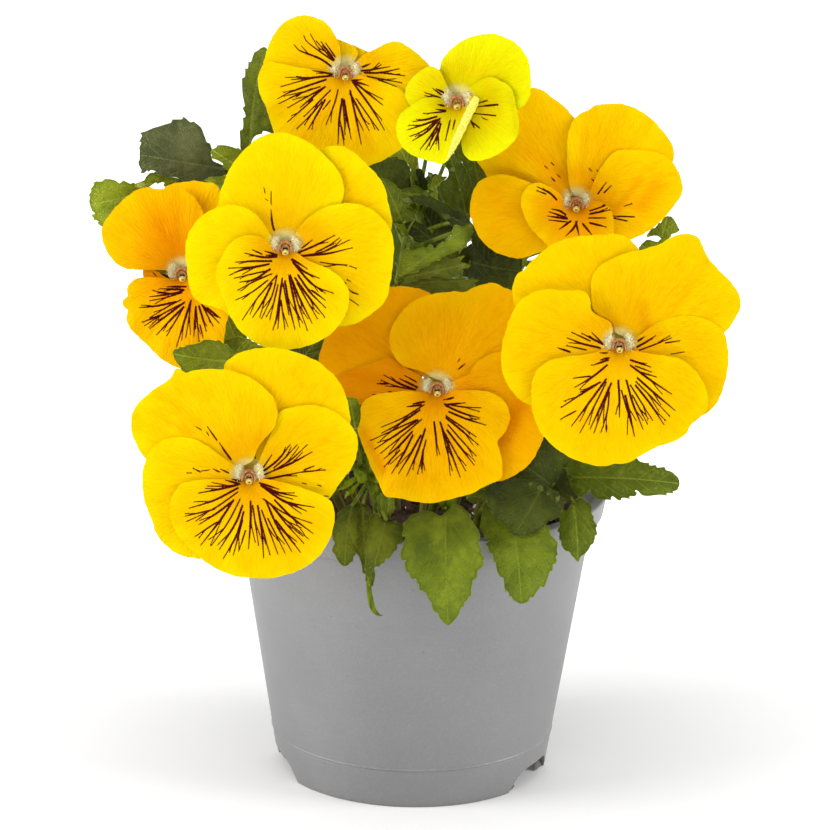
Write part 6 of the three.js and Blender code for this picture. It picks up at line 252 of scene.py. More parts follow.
  [(-19.99, 6.66), (-16.66, 6.66), (-12.12, 5.75), (-9.09, 3.33), (-6.06, 0.61), (-3.64, -0.3), (-0.91, -0.6), (0.45, 0.6), (-0.91, 2.57), (-3.03, 4.08), (-5.45, 5.29), (-7.57, 6.8), (-10.3, 8.16), (-13.93, 9.22), (-18.17, 8.92), (-20.9, 7.87)], [(-4.6, -20.6, 171), (5.3, -17.2, 174.4), (15.2, -13.9, 177.8), (10.7, -16.3, 181)]),
 "dark_c": ("right_high", (15.42, -11.47, 166.08), ((0.99977, -0.00899, 0.01967), (-0.01705, 0.23148, 0.97269), (-0.01329, -0.9728, 0.23127)), (17.06, -3.06), 6, 3, -0.1, 0.07,
  [(-2.13, -2.43), (0.61, -6.68), (4.27, -9.12), (8.53, -9.73), (11.58, -10.34), (13.71, -9.13), (14.93, -5.48), (15.68, -2.75), (15.83, 1.04), (12.48, 1.35), (9.74, 2.11), (6.7, 0.9), (3.65, 3.33), (1.22, 5.46), (-1.22, 4.55), (-3.35, 1.83)], [(26.4, 0.8, 162.5), (20.9, -5.3, 164.3), (15.4, -11.5, 166.1), (17.4, -13.4, 165)]),
 "dark_e": ("right_high", (16.42, -9.63, 178.12), ((0.99975, -0.00999, 0.01999), (-0.01729, 0.2213, 0.97505), (-0.01416, -0.97515, 0.22107)), (7.91, -12.13), 4, 1, -0.1, 0.06,
  [(-1.82, -3.63), (-0.61, -6.66), (1.83, -9.7), (4.87, -12.73), (8.52, -12.13), (9.74, -9.71), (6.08, -7.88), (3.04, -4.85), (0.3, -1.21), (-1.82, -0.6)], [(26.9, -1.6, 170.9), (21.7, -5.6, 174.5), (16.4, -9.6, 178.1), (17.7, -11.5, 175.4)]),
 "long_a": ("centre", (-5.12, -17.76, 179), ((0.99987, 0.00778, 0.01416), (-0.01553, 0.2218, 0.97497), (0.00445, -0.97506, 0.22189)), (-6.03, 13.51), 8, 2, -0.15, 0.42,
  [(-6.33, 12.01), (-5.13, 9.61), (-4.07, 6.01), (-3.62, 3), (-2.72, -0), (-0.91, -0.3), (0.3, 0.9), (0.91, 2.71), (0.75, 5.11), (-0.15, 7.51), (-1.06, 10.21), (-2.41, 11.86), (-4.22, 12.76), (-6.64, 13.81)], [(-4, -19, 175), (-5.1, -17.8, 179), (-6.1, -19.3, 182.5)]),
 "ridge": ("centre_rear", (14.27, -9.26, 179.24), ((0.99978, -0.00824, 0.01942), (-0.01713, 0.22028, 0.97529), (-0.01231, -0.9754, 0.22009)), (-5.46, 19.35), 1, 4, 0.25, 0.16,
  [(-5.92, 15.12), (-5.77, 12.71), (-7.59, 10.6), (-8.2, 8.18), (-7.14, 5.46), (-6.08, 3.03), (-3.65, 1.22), (-0.91, -0.3), (1.22, 0.3), (2.13, 3.02), (2.43, 6.05), (2.13, 9.07), (1.06, 12.09), (-0.46, 15.12), (-2.43, 17.84), (-5.16, 19.65), (-7.89, 17.24)], [(0.9, -0.4, 173), (7.6, -4.8, 176.1), (14.3, -9.3, 179.2), (13.4, -9.7, 184.3)]),
 "inner_c": ("centre", (6.22, -10.19, 170), ((0.99985, -0.00148, 0.0172), (-0.01641, 0.22791, 0.97354), (-0.00536, -0.97368, 0.22785)), (-9.74, 7.89), 6, 1, -0.1, 0.1,
  [(-7.92, 2.43), (-4.26, 0.31), (-0.61, -0.61), (1.22, 1.52), (-1.22, 3.64), (-3.65, 5.76), (-6.09, 7.59), (-8.52, 8.19), (-10.66, 6.68)], [(-5.8, -23, 163), (0.2, -16.6, 166.5), (6.2, -10.2, 170), (4.1, -11.4, 171.8)]),
 "mid_a": ("centre_rear", (1.08, -11.07, 186.55), ((0.99987, 0.00253, 0.01589), (-0.01606, 0.21441, 0.97661), (-0.00094, -0.97674, 0.21442)), (-6.67, 0.6), 3, 1, -0.1, 0.42,
  [(-6.36, -1.51), (-3.33, -2.11), (-0, -1.51), (1.21, 0.3), (-0.61, 1.9), (-2.73, 2.62), (-5.45, 2.02), (-7.27, 0.6)], [(-1, -5, 182), (0, -8, 184.3), (1.1, -11.1, 186.6), (0.1, -11.8, 186.8)]),
 "dark_a": ("centre_rear", (-7.38, -7.15, 182.45), ((0.99986, 0.00954, 0.01358), (-0.01533, 0.21696, 0.97606), (0.00636, -0.97613, 0.21708)), (-6.69, 13.61), 2, 2, -0.12, 0.12,
  [(-7.91, 8.17), (-4.87, 3.93), (-1.22, -0.3), (1.83, 0.91), (4.26, 2.73), (5.93, 4.85), (5.32, 6.96), (4.56, 9.69), (3.65, 12.1), (2.13, 14.07), (0.3, 14.97), (-1.82, 15.12), (-5.47, 13.61), (-9.73, 11.79)], [(-0.3, -3.5, 179.2), (-3.9, -5.3, 180.8), (-7.4, -7.2, 182.5), (-7.9, -7.4, 185.7)]),
 "lit_a": ("centre_rear", (-2.96, -8.91, 193.11), ((0.99987, 0.00578, 0.01482), (-0.0157, 0.20855, 0.97789), (0.00256, -0.97799, 0.20862)), (-3.63, 7.83), 2, 1, -0.1, 0.45,
  [(-4.54, 4.52), (-2.12, 3.61), (-0.61, 1.81), (0.3, 0.15), (1.51, 1.21), (1.97, 3.01), (1.82, 5.72), (-0.3, 7.53), (-3.03, 8.43), (-5.45, 6.62), (-7.57, 4.82)], [(-1, -5, 182), (-2, -7, 187.6), (-3, -8.9, 193.1), (-3.3, -9.2, 195.3)]),
 "pale_a": ("centre_rear", (2.89, -7.73, 187.09), ((0.99987, 0.00102, 0.01638), (-0.01622, 0.21339, 0.97683), (-0.00249, -0.97697, 0.21338)), (5.16, 4.23), 3, 1, 0.1, 0.6,
  [(-0, -0.15), (1.52, 0.75), (3.34, 2.11), (5.16, 4.14), (3.95, 4.53), (2.43, 4.68), (1.06, 3.93), (-0, 2.42), (-0.61, 0.91)], [(-1, -5, 182), (0.9, -6.4, 184.5), (2.9, -7.7, 187.1), (3.6, -8.4, 188.3)]),
 "bit_b": ("centre_rear", (2.93, -7.51, 184.56), ((0.99987, 0.00102, 0.01638), (-0.01622, 0.21543, 0.97639), (-0.00253, -0.97652, 0.21542)), (2.13, 2.72), 1, 0.5, 0, 0.5,
  [(-1.22, -0.3), (-0, -0.61), (1.82, -0.61), (2.52, 0.91), (2.13, 2.87), (0.3, 2.42), (-1.22, 0.91)], [(-0.3, -3.5, 179.2), (1.3, -5.5, 181.9), (2.9, -7.5, 184.6), (3.2, -7.7, 184.9)]),
 "dark_b": ("centre_rear", (0.8, -5.46, 184.39), ((0.99987, 0.00278, 0.0158), (-0.01603, 0.21517, 0.97644), (-0.00069, -0.97657, 0.21519)), (-2.74, 9.09), 1, 1, -0.1, 0.1,
  [(-3.04, 5.45), (-2.13, 2.42), (-0.61, -0.3), (1.22, -0), (1.52, 2.42), (1.07, 5.45), (-0.15, 7.87), (-1.52, 8.78), (-3.35, 8.63)], [(-0.3, -3.5, 179.2), (0.2, -4.5, 181.8), (0.8, -5.5, 184.4), (0.5, -5.6, 186.1)]),
 "inner_a": ("centre_rear", (4.33, -2.61, 173.83), ((0.99986, 2e-05, 0.01671), (-0.01629, 0.22332, 0.97461), (-0.00371, -0.97474, 0.22329)), (-4.28, 8.53), 2, 1, -0.1, 0.12,
  [(-4.28, 4.27), (-2.14, 2.13), (0, 0), (1.84, 2.44), (2.14, 5.79), (0, 8.23), (-3.06, 9.45), (-5.2, 8.23)], [(1.2, 1.3, 168.8), (2.7, -0.6, 171.3), (4.3, -2.6, 173.8), (3.7, -2.9, 175.9)]),
 "inner_b": ("centre_rear", (4.38, -1.61, 170.47), ((0.99986, 2e-05, 0.01671), (-0.01628, 0.22587, 0.97402), (-0.00375, -0.97416, 0.22584)), (3.68, 7.94), 2, 1, -0.1, 0.1,
  [(-1.23, 0.61), (1.53, -0.92), (4.6, 1.22), (5.83, 4.27), (3.98, 7.63), (0.92, 8.24), (-1.84, 5.5)], [(1.2, 3.2, 164.1), (2.8, 0.8, 167.3), (4.4, -1.6, 170.5), (5, -2, 172)]),
}
# Leaves round the back: shoot, base position, frame, length, width, droop, petiole
BACK_LEAVES = {
 "back_01": ("rear_left", (-31.49, 43, 129.71), ((-0.7071, 0.6811, 0.19003), (-0.68257, -0.58726, -0.43501), (-0.18469, -0.4373, 0.88014)), 42.5, 22.2, 4.1, [(-23.1, 12.1, 115.1), (-27.3, 27.5, 122.4), (-31.5, 43, 129.7), (-35.9, 47.4, 130.7)]),
 "back_46": ("left_high", (-45.61, 26.59, 120.36), ((-0.91693, 0.12499, -0.37897), (-0.16901, -0.98194, 0.08506), (-0.36149, 0.14204, 0.92149)), 42.8, 20.1, 3.2, [(-33.8, 3.8, 113.5), (-39.7, 15.2, 116.9), (-45.6, 26.6, 120.4), (-51.3, 27.3, 117.8)]),
 "back_17": ("centre_rear", (-8.98, 51.85, 166.21), ((0.16403, 0.9482, 0.27206), (-0.90309, 0.03338, 0.42816), (0.3969, -0.31592, 0.86178)), 32.4, 15.4, 2.8, [(0.9, 6.9, 151.2), (-4, 29.4, 158.7), (-9, 51.9, 166.2), (-8.3, 56.4, 167.4)]),
 "back_13": ("rear_left", (-48.69, 19.08, 171.62), ((-0.99956, -0.02199, -0.01999), (0.01639, -0.96902, 0.24643), (-0.02479, 0.24599, 0.96895)), 37, 16.3, 5.4, [(-40.9, 8.2, 164.8), (-44.8, 13.6, 168.2), (-48.7, 19.1, 171.6), (-54.1, 18.9, 171.2)]),
 "back_51": ("centre_rear", (1.26, 51.87, 114.56), ((0.14595, 0.85373, 0.49984), (-0.9663, 0.01474, 0.25698), (0.21202, -0.52051, 0.82711)), 32, 15, 3.9, [(-0.7, 11.1, 110.1), (0.3, 31.5, 112.3), (1.3, 51.9, 114.6), (1.9, 56, 116.7)]),
 "back_20": ("left_high", (-46.11, 22.28, 123.2), ((-0.86654, 0.03698, 0.49774), (0.13365, -0.94364, 0.30279), (0.48088, 0.32891, 0.81276)), 43.3, 23.2, 2.2, [(-33.8, 3.8, 113.5), (-40, 13, 118.3), (-46.1, 22.3, 123.2), (-51.7, 22.5, 126.3)]),
 "back_26": ("rear_left", (-31.03, 40.55, 155.05), ((-0.12005, 0.90942, 0.39818), (-0.96234, -0.20515, 0.17839), (0.24391, -0.36177, 0.89979)), 34.2, 17.3, 3.5, [(-32.1, 10.8, 141.3), (-31.6, 25.7, 142.3), (-31, 40.5, 155.1), (-31.7, 45.2, 156.9)]),
 "back_23": ("right_high", (23.81, 45.14, 114.22), ((0.54801, 0.82501, -0.138), (-0.78787, 0.56451, 0.24616), (0.28099, -0.02617, 0.95935)), 39.2, 20.7, 5, [(19.2, 9.5, 109.9), (21.5, 27.3, 112.1), (23.8, 45.1, 114.2), (26.9, 49.9, 113.1)]),
 "back_41": ("right_low", (48.57, -14.88, 125.87), ((0.96859, 0.06897, 0.2389), (-0.07627, 0.99686, 0.02142), (-0.23667, -0.03897, 0.97081)), 28.3, 15.5, 5.5, [(43, -34, 106), (45.8, -24.4, 115.9), (48.6, -14.9, 125.9), (52.7, -14.6, 126.5)]),
 "back_19": ("right_high", (36.85, 34.53, 132.44), ((0.75442, 0.65137, 0.08105), (-0.65051, 0.72546, 0.22482), (0.08764, -0.22233, 0.97102)), 41.9, 20.1, 2.4, [(21.5, 9.2, 122.1), (29.2, 21.9, 127.3), (36.9, 34.5, 132.4), (41.5, 38.6, 132.8)]),
 "back_49": ("centre_rear", (4.85, 50.01, 101.59), ((0.60413, 0.70415, -0.37308), (-0.7596, 0.65039, -0.00248), (0.2409, 0.28489, 0.9278)), 27.6, 13.5, 2.5, [(-1.4, 10.5, 97.2), (-6.3, 30.3, 99.4), (4.8, 50, 101.6), (7.3, 52.8, 99.9)]),
 "back_53": ("right_high", (49.2, 8.5, 169.31), ((0.89957, -0.30985, -0.30785), (0.27926, 0.94994, -0.14009), (0.33585, 0.04005, 0.94106)), 31.5, 17.1, 3.1, [(26.4, 0.8, 162.5), (37.8, 4.7, 165.9), (49.2, 8.5, 169.3), (53.3, 7.1, 167.7)]),
 "back_07": ("centre_rear", (7.93, 49.24, 149.97), ((0.58194, 0.74892, -0.31697), (-0.81282, 0.54801, -0.19749), (0.02579, 0.37257, 0.92765)), 43.6, 22.6, 2.9, [(0.7, 8.7, 142.6), (4.3, 29, 146.3), (7.9, 49.2, 150), (11.7, 54, 147.8)]),
 "back_22": ("centre_rear", (-4.12, 49.64, 137.94), ((-0.5162, 0.85233, -0.08403), (-0.78601, -0.51042, -0.3488), (-0.34019, -0.114, 0.93342)), 40.5, 19.4, 2.9, [(0.3, 10.3, 132.9), (-1.9, 30, 135.4), (-4.1, 49.6, 137.9), (-7.1, 54.7, 137.3)]),
 "back_31": ("right_high", (44.52, 22.17, 101.61), ((0.82875, 0.3189, 0.45986), (-0.46575, 0.84862, 0.25086), (-0.31024, -0.42208, 0.85182)), 36.7, 16.5, 4.1, [(16.6, 9.2, 97.1), (30.6, 15.7, 99.3), (44.5, 22.2, 101.6), (49.1, 24, 103.9)]),
 "back_62": ("right_high", (42.17, 26.33, 101.47), ((0.36186, 0.86768, 0.34087), (-0.932, 0.32853, 0.15314), (0.02089, -0.37311, 0.92755)), 43, 21.7, 2.2, [(16.6, 9.2, 97.1), (29.4, 17.8, 99.3), (42.2, 26.3, 101.5), (44.5, 31.9, 103.5)]),
 "back_08": ("rear_left", (-27.77, 41.19, 181.71), ((-0.47299, 0.71199, 0.51899), (-0.69135, -0.66508, 0.28232), (0.54618, -0.22527, 0.80681)), 40.2, 18.6, 5.2, [(-40.9, 8.2, 164.8), (-34.3, 24.7, 173.3), (-27.8, 41.2, 181.7), (-30.7, 45.5, 184.5)]),
 "back_09": ("right_high", (45.05, 18.7, 157), ((0.54729, 0.64834, 0.52928), (-0.80531, 0.58015, 0.12205), (-0.22793, -0.49303, 0.83962)), 42.6, 19.1, 2.1, [(25.5, 3.2, 153.4), (35.3, 11, 155.2), (45.1, 18.7, 157), (48.5, 22.8, 160.2)]),
 "back_06": ("left_mid", (-47.59, -9.66, 108.47), ((-0.75277, -0.6428, 0.14196), (0.64549, -0.67846, 0.35076), (-0.12915, 0.35567, 0.92564)), 27.2, 12.1, 2.3, [(-28.8, -16.2, 101), (-38.2, -12.9, 104.7), (-47.6, -9.7, 108.5), (-50.6, -12.3, 108.9)]),
 "back_02": ("right_high", (46.62, -13.22, 165.51), ((0.91886, -0.27296, -0.28496), (0.28612, 0.95818, 0.00477), (0.27174, -0.08592, 0.95853)), 38.1, 17.4, 5.6, [(26.4, 0.8, 162.5), (41.5, -6.2, 164), (46.6, -13.2, 165.5), (51.7, -14.7, 163.6)]),
 "back_34": ("rear_left", (-24.04, 38.81, 106.53), ((-0.78229, 0.62223, -0.02901), (-0.5926, -0.72907, 0.34246), (0.19194, 0.28509, 0.93909)), 41.5, 20.1, 2.2, [(-16.9, 12.1, 94.4), (-20.5, 25.5, 100.5), (-24, 38.8, 106.5), (-28.8, 42.6, 106.2)]),
 "back_33": ("right_high", (45.06, 2.34, 186.73), ((0.90816, -0.34506, 0.23704), (0.41158, 0.83942, -0.35494), (-0.0765, 0.4199, 0.90434)), 28.2, 13, 2, [(27.4, -4.1, 178.6), (36.2, -0.9, 182.7), (45.1, 2.3, 186.7), (48.8, 0.9, 187.6)]),
 "back_58": ("centre_rear", (-2.08, 42.75, 192.45), ((-0.31492, 0.94876, 0.02599), (-0.94342, -0.31591, 0.10083), (0.10388, 0.00723, 0.99456)), 41.5, 21.5, 4.2, [(0.9, -0.4, 173), (-0.6, 21.2, 182.7), (-2.1, 42.8, 192.5), (-4, 48.5, 192.4)]),
 "back_24": ("right_high", (22.23, 35.51, 168.41), ((0.52184, 0.84774, 0.09497), (-0.81407, 0.46164, 0.35239), (0.25489, -0.2612, 0.93102)), 42.5, 20.5, 4, [(26.4, 0.8, 162.5), (24.3, 18.2, 165.4), (22.2, 35.5, 168.4), (25.4, 40.9, 168.8)]),
 "back_60": ("right_high", (39.27, 13.81, 191), ((0.93102, 0.168, -0.32401), (-0.19307, 0.98008, -0.0466), (0.30972, 0.10594, 0.94491)), 38.5, 17.2, 5.3, [(28.3, -6.6, 185.7), (33.8, 3.6, 188.3), (39.3, 13.8, 191), (44.4, 14.7, 188.9)]),
 "back_32": ("right_high", (39.78, 4.98, 145.35), ((0.89222, 0.45111, -0.02101), (-0.44911, 0.88145, -0.14612), (-0.0474, 0.1398, 0.98904)), 38.1, 20.5, 2.7, [(23.2, 7.9, 133.3), (31.5, 6.4, 139.3), (39.8, 5, 145.4), (44.8, 7.5, 145.1)]),
 "back_04": ("centre_rear", (13.41, 37.44, 201.15), ((0.43995, 0.8979, 0.015), (-0.89393, 0.43629, 0.1027), (0.08567, -0.05859, 0.9946)), 29.8, 13.9, 5.2, [(0.4, -2, 176.4), (6.9, 17.7, 188.8), (13.4, 37.4, 201.1), (15.3, 41.4, 200.9)]),
 "back_27": ("right_high", (34.74, 17.72, 201.82), ((0.59102, 0.74303, -0.31401), (-0.7404, 0.65419, 0.15442), (0.32016, 0.14123, 0.93678)), 29.6, 15, 5.4, [(29.7, -9.1, 191.8), (32.2, 4.3, 196.8), (34.7, 17.7, 201.8), (37.2, 20.9, 200.1)]),
 "back_14": ("centre_rear", (2.27, 38.88, 105.13), ((-0.56024, 0.82436, -0.08103), (-0.81351, -0.52916, 0.24123), (0.15598, 0.20107, 0.96708)), 39.9, 18.3, 2.3, [(-1.4, 10.5, 97.2), (0.5, 24.7, 105.9), (2.3, 38.9, 105.1), (-1, 43.7, 104.5)]),
 "back_12": ("right_low", (38.2, -5.92, 101.21), ((0.96576, -0.25894, 0.016), (0.23847, 0.91032, 0.33832), (-0.10216, -0.32292, 0.9409)), 34.2, 17.6, 2.3, [(31.9, -20.2, 93.1), (35.1, -13, 97.2), (38.2, -5.9, 101.2), (43.1, -7.2, 101.2)]),
 "back_03": ("rear_left", (-37.08, -10.11, 185.76), ((-0.74332, -0.60226, 0.29113), (0.59247, -0.79479, -0.13148), (0.31057, 0.07475, 0.94761)), 26.2, 12.2, 2.5, [(-47.2, 4.3, 179.9), (-42.1, -2.9, 182.8), (-37.1, -10.1, 185.8), (-40, -12.4, 186.7)]),
 "back_39": ("rear_left", (-28.36, 23.3, 148.47), ((-0.88033, 0.20208, 0.42916), (0.01048, -0.89621, 0.4435), (0.47424, 0.39493, 0.78685)), 34.6, 17.6, 4.8, [(-32.1, 10.8, 141.3), (-30.2, 17, 144.9), (-28.4, 23.3, 148.5), (-33, 24.2, 150.4)]),
 "back_59": ("rear_left", (-19.44, 31.06, 204.05), ((-0.52909, 0.74012, 0.41507), (-0.59216, -0.67238, 0.44413), (0.60779, -0.0108, 0.79402)), 43.2, 20.9, 5.4, [(-49.5, 2.6, 185.2), (-34.5, 16.8, 194.6), (-19.4, 31.1, 204), (-23, 35.8, 206.4)]),
 "back_15": ("left_high", (-31.47, 10.62, 102.45), ((-0.69731, 0.70131, -0.14807), (-0.71349, -0.69888, 0.04992), (-0.06847, 0.14046, 0.98772)), 40.6, 19.7, 2, [(-24.6, 2, 94), (-28, 6.3, 98.2), (-31.5, 10.6, 102.5), (-35.6, 14.8, 101.4)]),
 "back_30": ("centre_rear", (-7.37, 30.96, 196.47), ((-0.25006, 0.80019, 0.54513), (-0.90847, 0.00082, -0.41794), (-0.33488, -0.59975, 0.72675)), 35.3, 17.2, 4.7, [(-0.3, -3.5, 179.2), (-3.8, 13.7, 187.8), (-7.4, 31, 196.5), (-8.6, 35.3, 199.1)]),
 "back_57": ("centre_rear", (-1.62, 31.67, 145.42), ((-0.11996, 0.86068, 0.49482), (-0.98153, -0.17764, 0.07103), (0.14903, -0.47715, 0.86609)), 41.8, 18.7, 4.1, [(0.3, 10.3, 132.9), (-0.6, 21, 139.2), (-1.6, 31.7, 145.4), (-2.4, 37.1, 148.2)]),
 "back_47": ("right_high", (13.24, 28.56, 114.03), ((0.87432, 0.40915, 0.26109), (-0.43915, 0.89595, 0.06656), (-0.20669, -0.17285, 0.96302)), 36.8, 18, 2.1, [(19.2, 9.5, 109.9), (16.2, 19, 112), (13.2, 28.6, 114), (18, 30.8, 115.3)]),
 "back_37": ("rear_left", (-20, 22.36, 126.43), ((-0.545, 0.697, 0.466), (-0.72141, -0.67306, 0.16299), (0.42725, -0.24735, 0.86964)), 28.1, 14, 4.8, [(-23.1, 12.1, 115.1), (-21.5, 17.2, 120.8), (-20, 22.4, 126.4), (-22.4, 25.3, 128.1)]),
 "back_42": ("right_high", (19.52, 22.46, 145.81), ((0.41487, 0.9097, 0.01799), (-0.8151, 0.38037, -0.43695), (-0.40434, 0.16661, 0.8993)), 36.4, 17.5, 5.2, [(23.2, 7.9, 133.3), (21.4, 15.2, 139.5), (19.5, 22.5, 145.8), (21.9, 27.3, 145.6)]),
 "back_48": ("right_high", (26.08, 4.79, 113.81), ((0.93457, 0.2259, 0.27487), (-0.19798, 0.97211, -0.12576), (-0.29561, 0.06311, 0.95322)), 41.9, 20.9, 5.1, [(19.2, 9.5, 109.9), (22.6, 7.2, 111.9), (26.1, 4.8, 113.8), (31.9, 6.2, 115.2)]),
 "back_40": ("centre_rear", (-6.89, 24.62, 173.38), ((0.15605, 0.97833, 0.13605), (-0.98775, 0.15485, 0.01941), (-0.00207, -0.13741, 0.99051)), 26.3, 13.4, 2.6, [(1.2, 3.2, 164.1), (-2.9, 13.9, 168.7), (-6.9, 24.6, 173.4), (-6.3, 28.4, 173.7)]),
 "back_29": ("centre_rear", (-3.31, 19, 125.72), ((0.24198, 0.89193, 0.38197), (-0.89275, 0.35887, -0.27243), (-0.38007, -0.27508, 0.88311)), 41.7, 19.8, 2.5, [(-0.1, 11.1, 122.2), (-1.7, 15.1, 124), (-3.3, 19, 125.7), (-1.8, 24.5, 127.9)]),
 "back_18": ("centre_rear", (-16.19, 6.81, 204.96), ((-0.77283, 0.61386, 0.16096), (-0.60942, -0.64712, -0.45808), (-0.17704, -0.45212, 0.87421)), 31.8, 15, 3.4, [(-1, -5, 182), (-8.6, 0.9, 193.5), (-16.2, 6.8, 205), (-19.8, 9.8, 205.5)]),
 "back_54": ("centre_rear", (10.35, 13.9, 182.33), ((0.57381, 0.78974, -0.21693), (-0.80972, 0.58679, -0.00557), (0.12289, 0.17885, 0.97617)), 39.2, 19.1, 3.2, [(0.9, -0.4, 173), (5.6, 6.7, 177.7), (10.3, 13.9, 182.3), (13.6, 18.4, 180.9)]),
 "back_38": ("centre_rear", (7.73, 15.31, 105.69), ((-0.14604, 0.90026, -0.41012), (-0.93639, -0.25953, -0.23625), (-0.31912, 0.34953, 0.8809)), 27.5, 14.1, 5.9, [(-1.4, 10.5, 97.2), (3.2, 12.9, 101.4), (7.7, 15.3, 105.7), (7.3, 18.8, 103.7)]),
 "back_56": ("centre_rear", (3.31, 13.23, 203.4), ((0.45791, 0.88483, 0.08598), (-0.83622, 0.39587, 0.37951), (0.30176, -0.24568, 0.92118)), 28.7, 12.7, 2.3, [(-1, -5, 182), (1.2, 4.1, 192.7), (3.3, 13.2, 203.4), (5.2, 17, 203.6)]),
 "fill_a": ("centre_rear", (11.43, 44.53, 150.72), ((-0.66528, 0.36037, 0.65386), (-0.73341, -0.15161, -0.66266), (-0.13968, -0.9204, 0.36517)), 28.91, 13, 1, []),
 "fill_b": ("centre_rear", (18.28, 49.62, 146.98), ((-0.79397, 0.35891, 0.4907), (-0.57553, -0.18368, -0.79689), (-0.19588, -0.91512, 0.3524)), 21.29, 12, 1, []),
 "fill_c": ("centre_rear", (8.21, 46.78, 170.39), ((-0.4452, 0.54968, 0.70686), (-0.87499, -0.09935, -0.47383), (-0.19023, -0.82945, 0.5252)), 13.26, 7, 0.6, []),
 "fill_d": ("centre_rear", (-4.69, 33.47, 142.69), ((-0.48754, 0.51564, 0.70457), (-0.85685, -0.12759, -0.49954), (-0.16768, -0.84725, 0.50403)), 14.81, 9, 0.6, []),
}

# ------------------------------------------------------------------- helpers
def lin(r, g, b):
    f = lambda c: c / 12.92 if c <= 0.04045 else ((c + 0.055) / 1.055) ** 2.4
    return (f(r / 255), f(g / 255), f(b / 255), 1.0)


def smooth(x, a, b):
    t = np.clip((x - a) / (b - a), 0.0, 1.0)
    return t * t * (3 - 2 * t)


def closed_curve(P, step):
    P = np.array(P, float)
    n, out = len(P), []
    for i in range(n):
        a, b, c, d = P[i - 1], P[i], P[(i + 1) % n], P[(i + 2) % n]
        m = max(1, int(math.ceil(np.linalg.norm(c - b) / step)))
        for j in range(m):
            t = j / m
            out.append(0.5 * (2 * b + (c - a) * t + (2 * a - 5 * b + 4 * c - d) * t * t + (3 * b - a - 3 * c + d) * t ** 3))
    return np.array(out)


def open_curve(P, n):
    P = np.array(P, float)
    Q = np.vstack([2 * P[0] - P[1], P, 2 * P[-1] - P[-2]])
    m, out = len(P) - 1, []
    for t in np.linspace(0, m, n):
        i = min(int(t), m - 1)
        x = t - i
        a, b, c, d = Q[i], Q[i + 1], Q[i + 2], Q[i + 3]
        out.append(0.5 * (2 * b + (c - a) * x + (2 * a - 5 * b + 4 * c - d) * x * x + (3 * b - a - 3 * c + d) * x ** 3))
    return np.array(out)


def walk(P, step):
    """Points every step along a polyline, and how far along each is (0..1)."""
    P = np.array(P, float)
    s = np.r_[0, np.cumsum(np.linalg.norm(np.diff(P, axis=0), axis=1))]
    n = max(2, int(math.ceil(s[-1] / step)) + 1)
    t = np.linspace(0, s[-1], n)
    return np.stack([np.interp(t, s, P[:, k]) for k in range(P.shape[1])], 1), t / max(s[-1], 1e-9)


def inside(poly, pts):
    nxt = np.roll(poly, -1, 0)
    x0, y0, x1, y1 = poly[:, 0], poly[:, 1], nxt[:, 0], nxt[:, 1]
    dy = np.where(y1 == y0, 1.0, y1 - y0)
    res = np.zeros(len(pts), bool)
    for i in range(0, len(pts), 1500):
        x, y = pts[i:i + 1500, 0][:, None], pts[i:i + 1500, 1][:, None]
        hit = ((y0 > y) != (y1 > y)) & (x < (x1 - x0) * (y - y0) / dy + x0)
        res[i:i + 1500] = np.bitwise_xor.reduce(hit, axis=1)
    return res


def seg_dist(pts, A, B):
    """Distance from every point to the nearest segment, and that segment's index."""
    best = np.full(len(pts), 1e9)
    idx = np.zeros(len(pts), int)
    par = np.zeros(len(pts))
    for k, (a, b) in enumerate(zip(A, B)):
        d = b - a
        L = max(float(d @ d), 1e-9)
        t = np.clip(((pts - a) @ d) / L, 0, 1)
        q = np.hypot(pts[:, 0] - a[0] - t * d[0], pts[:, 1] - a[1] - t * d[1])
        m = q < best
        best[m] = q[m]
        idx[m] = k
        par[m] = t[m]
    return best, idx, par


def hexgrid(lo, hi, step):
    ys = np.arange(lo[1], hi[1], step * 0.866)
    rows = []
    for j, y in enumerate(ys):
        xs = np.arange(lo[0] + (j % 2) * step / 2, hi[0], step)
        rows.append(np.stack([xs, np.full(len(xs), y)], 1))
    return np.vstack(rows)


def thin(points, gap, taken=None):
    """Drops points closer than gap to one already kept."""
    cell = {} if taken is None else taken
    keep = []
    for p in points:
        k = (int(math.floor(p[0] / gap)), int(math.floor(p[1] / gap)))
        ok = True
        for i in (-1, 0, 1):
            for j in (-1, 0, 1):
                for q in cell.get((k[0] + i, k[1] + j), ()):
                    if (q[0] - p[0]) ** 2 + (q[1] - p[1]) ** 2 < gap * gap:
                        ok = False
                        break
                if not ok:
                    break
            if not ok:
                break
        if ok:
            cell.setdefault(k, []).append((p[0], p[1]))
            keep.append(p)
    return np.array(keep).reshape(-1, 2)


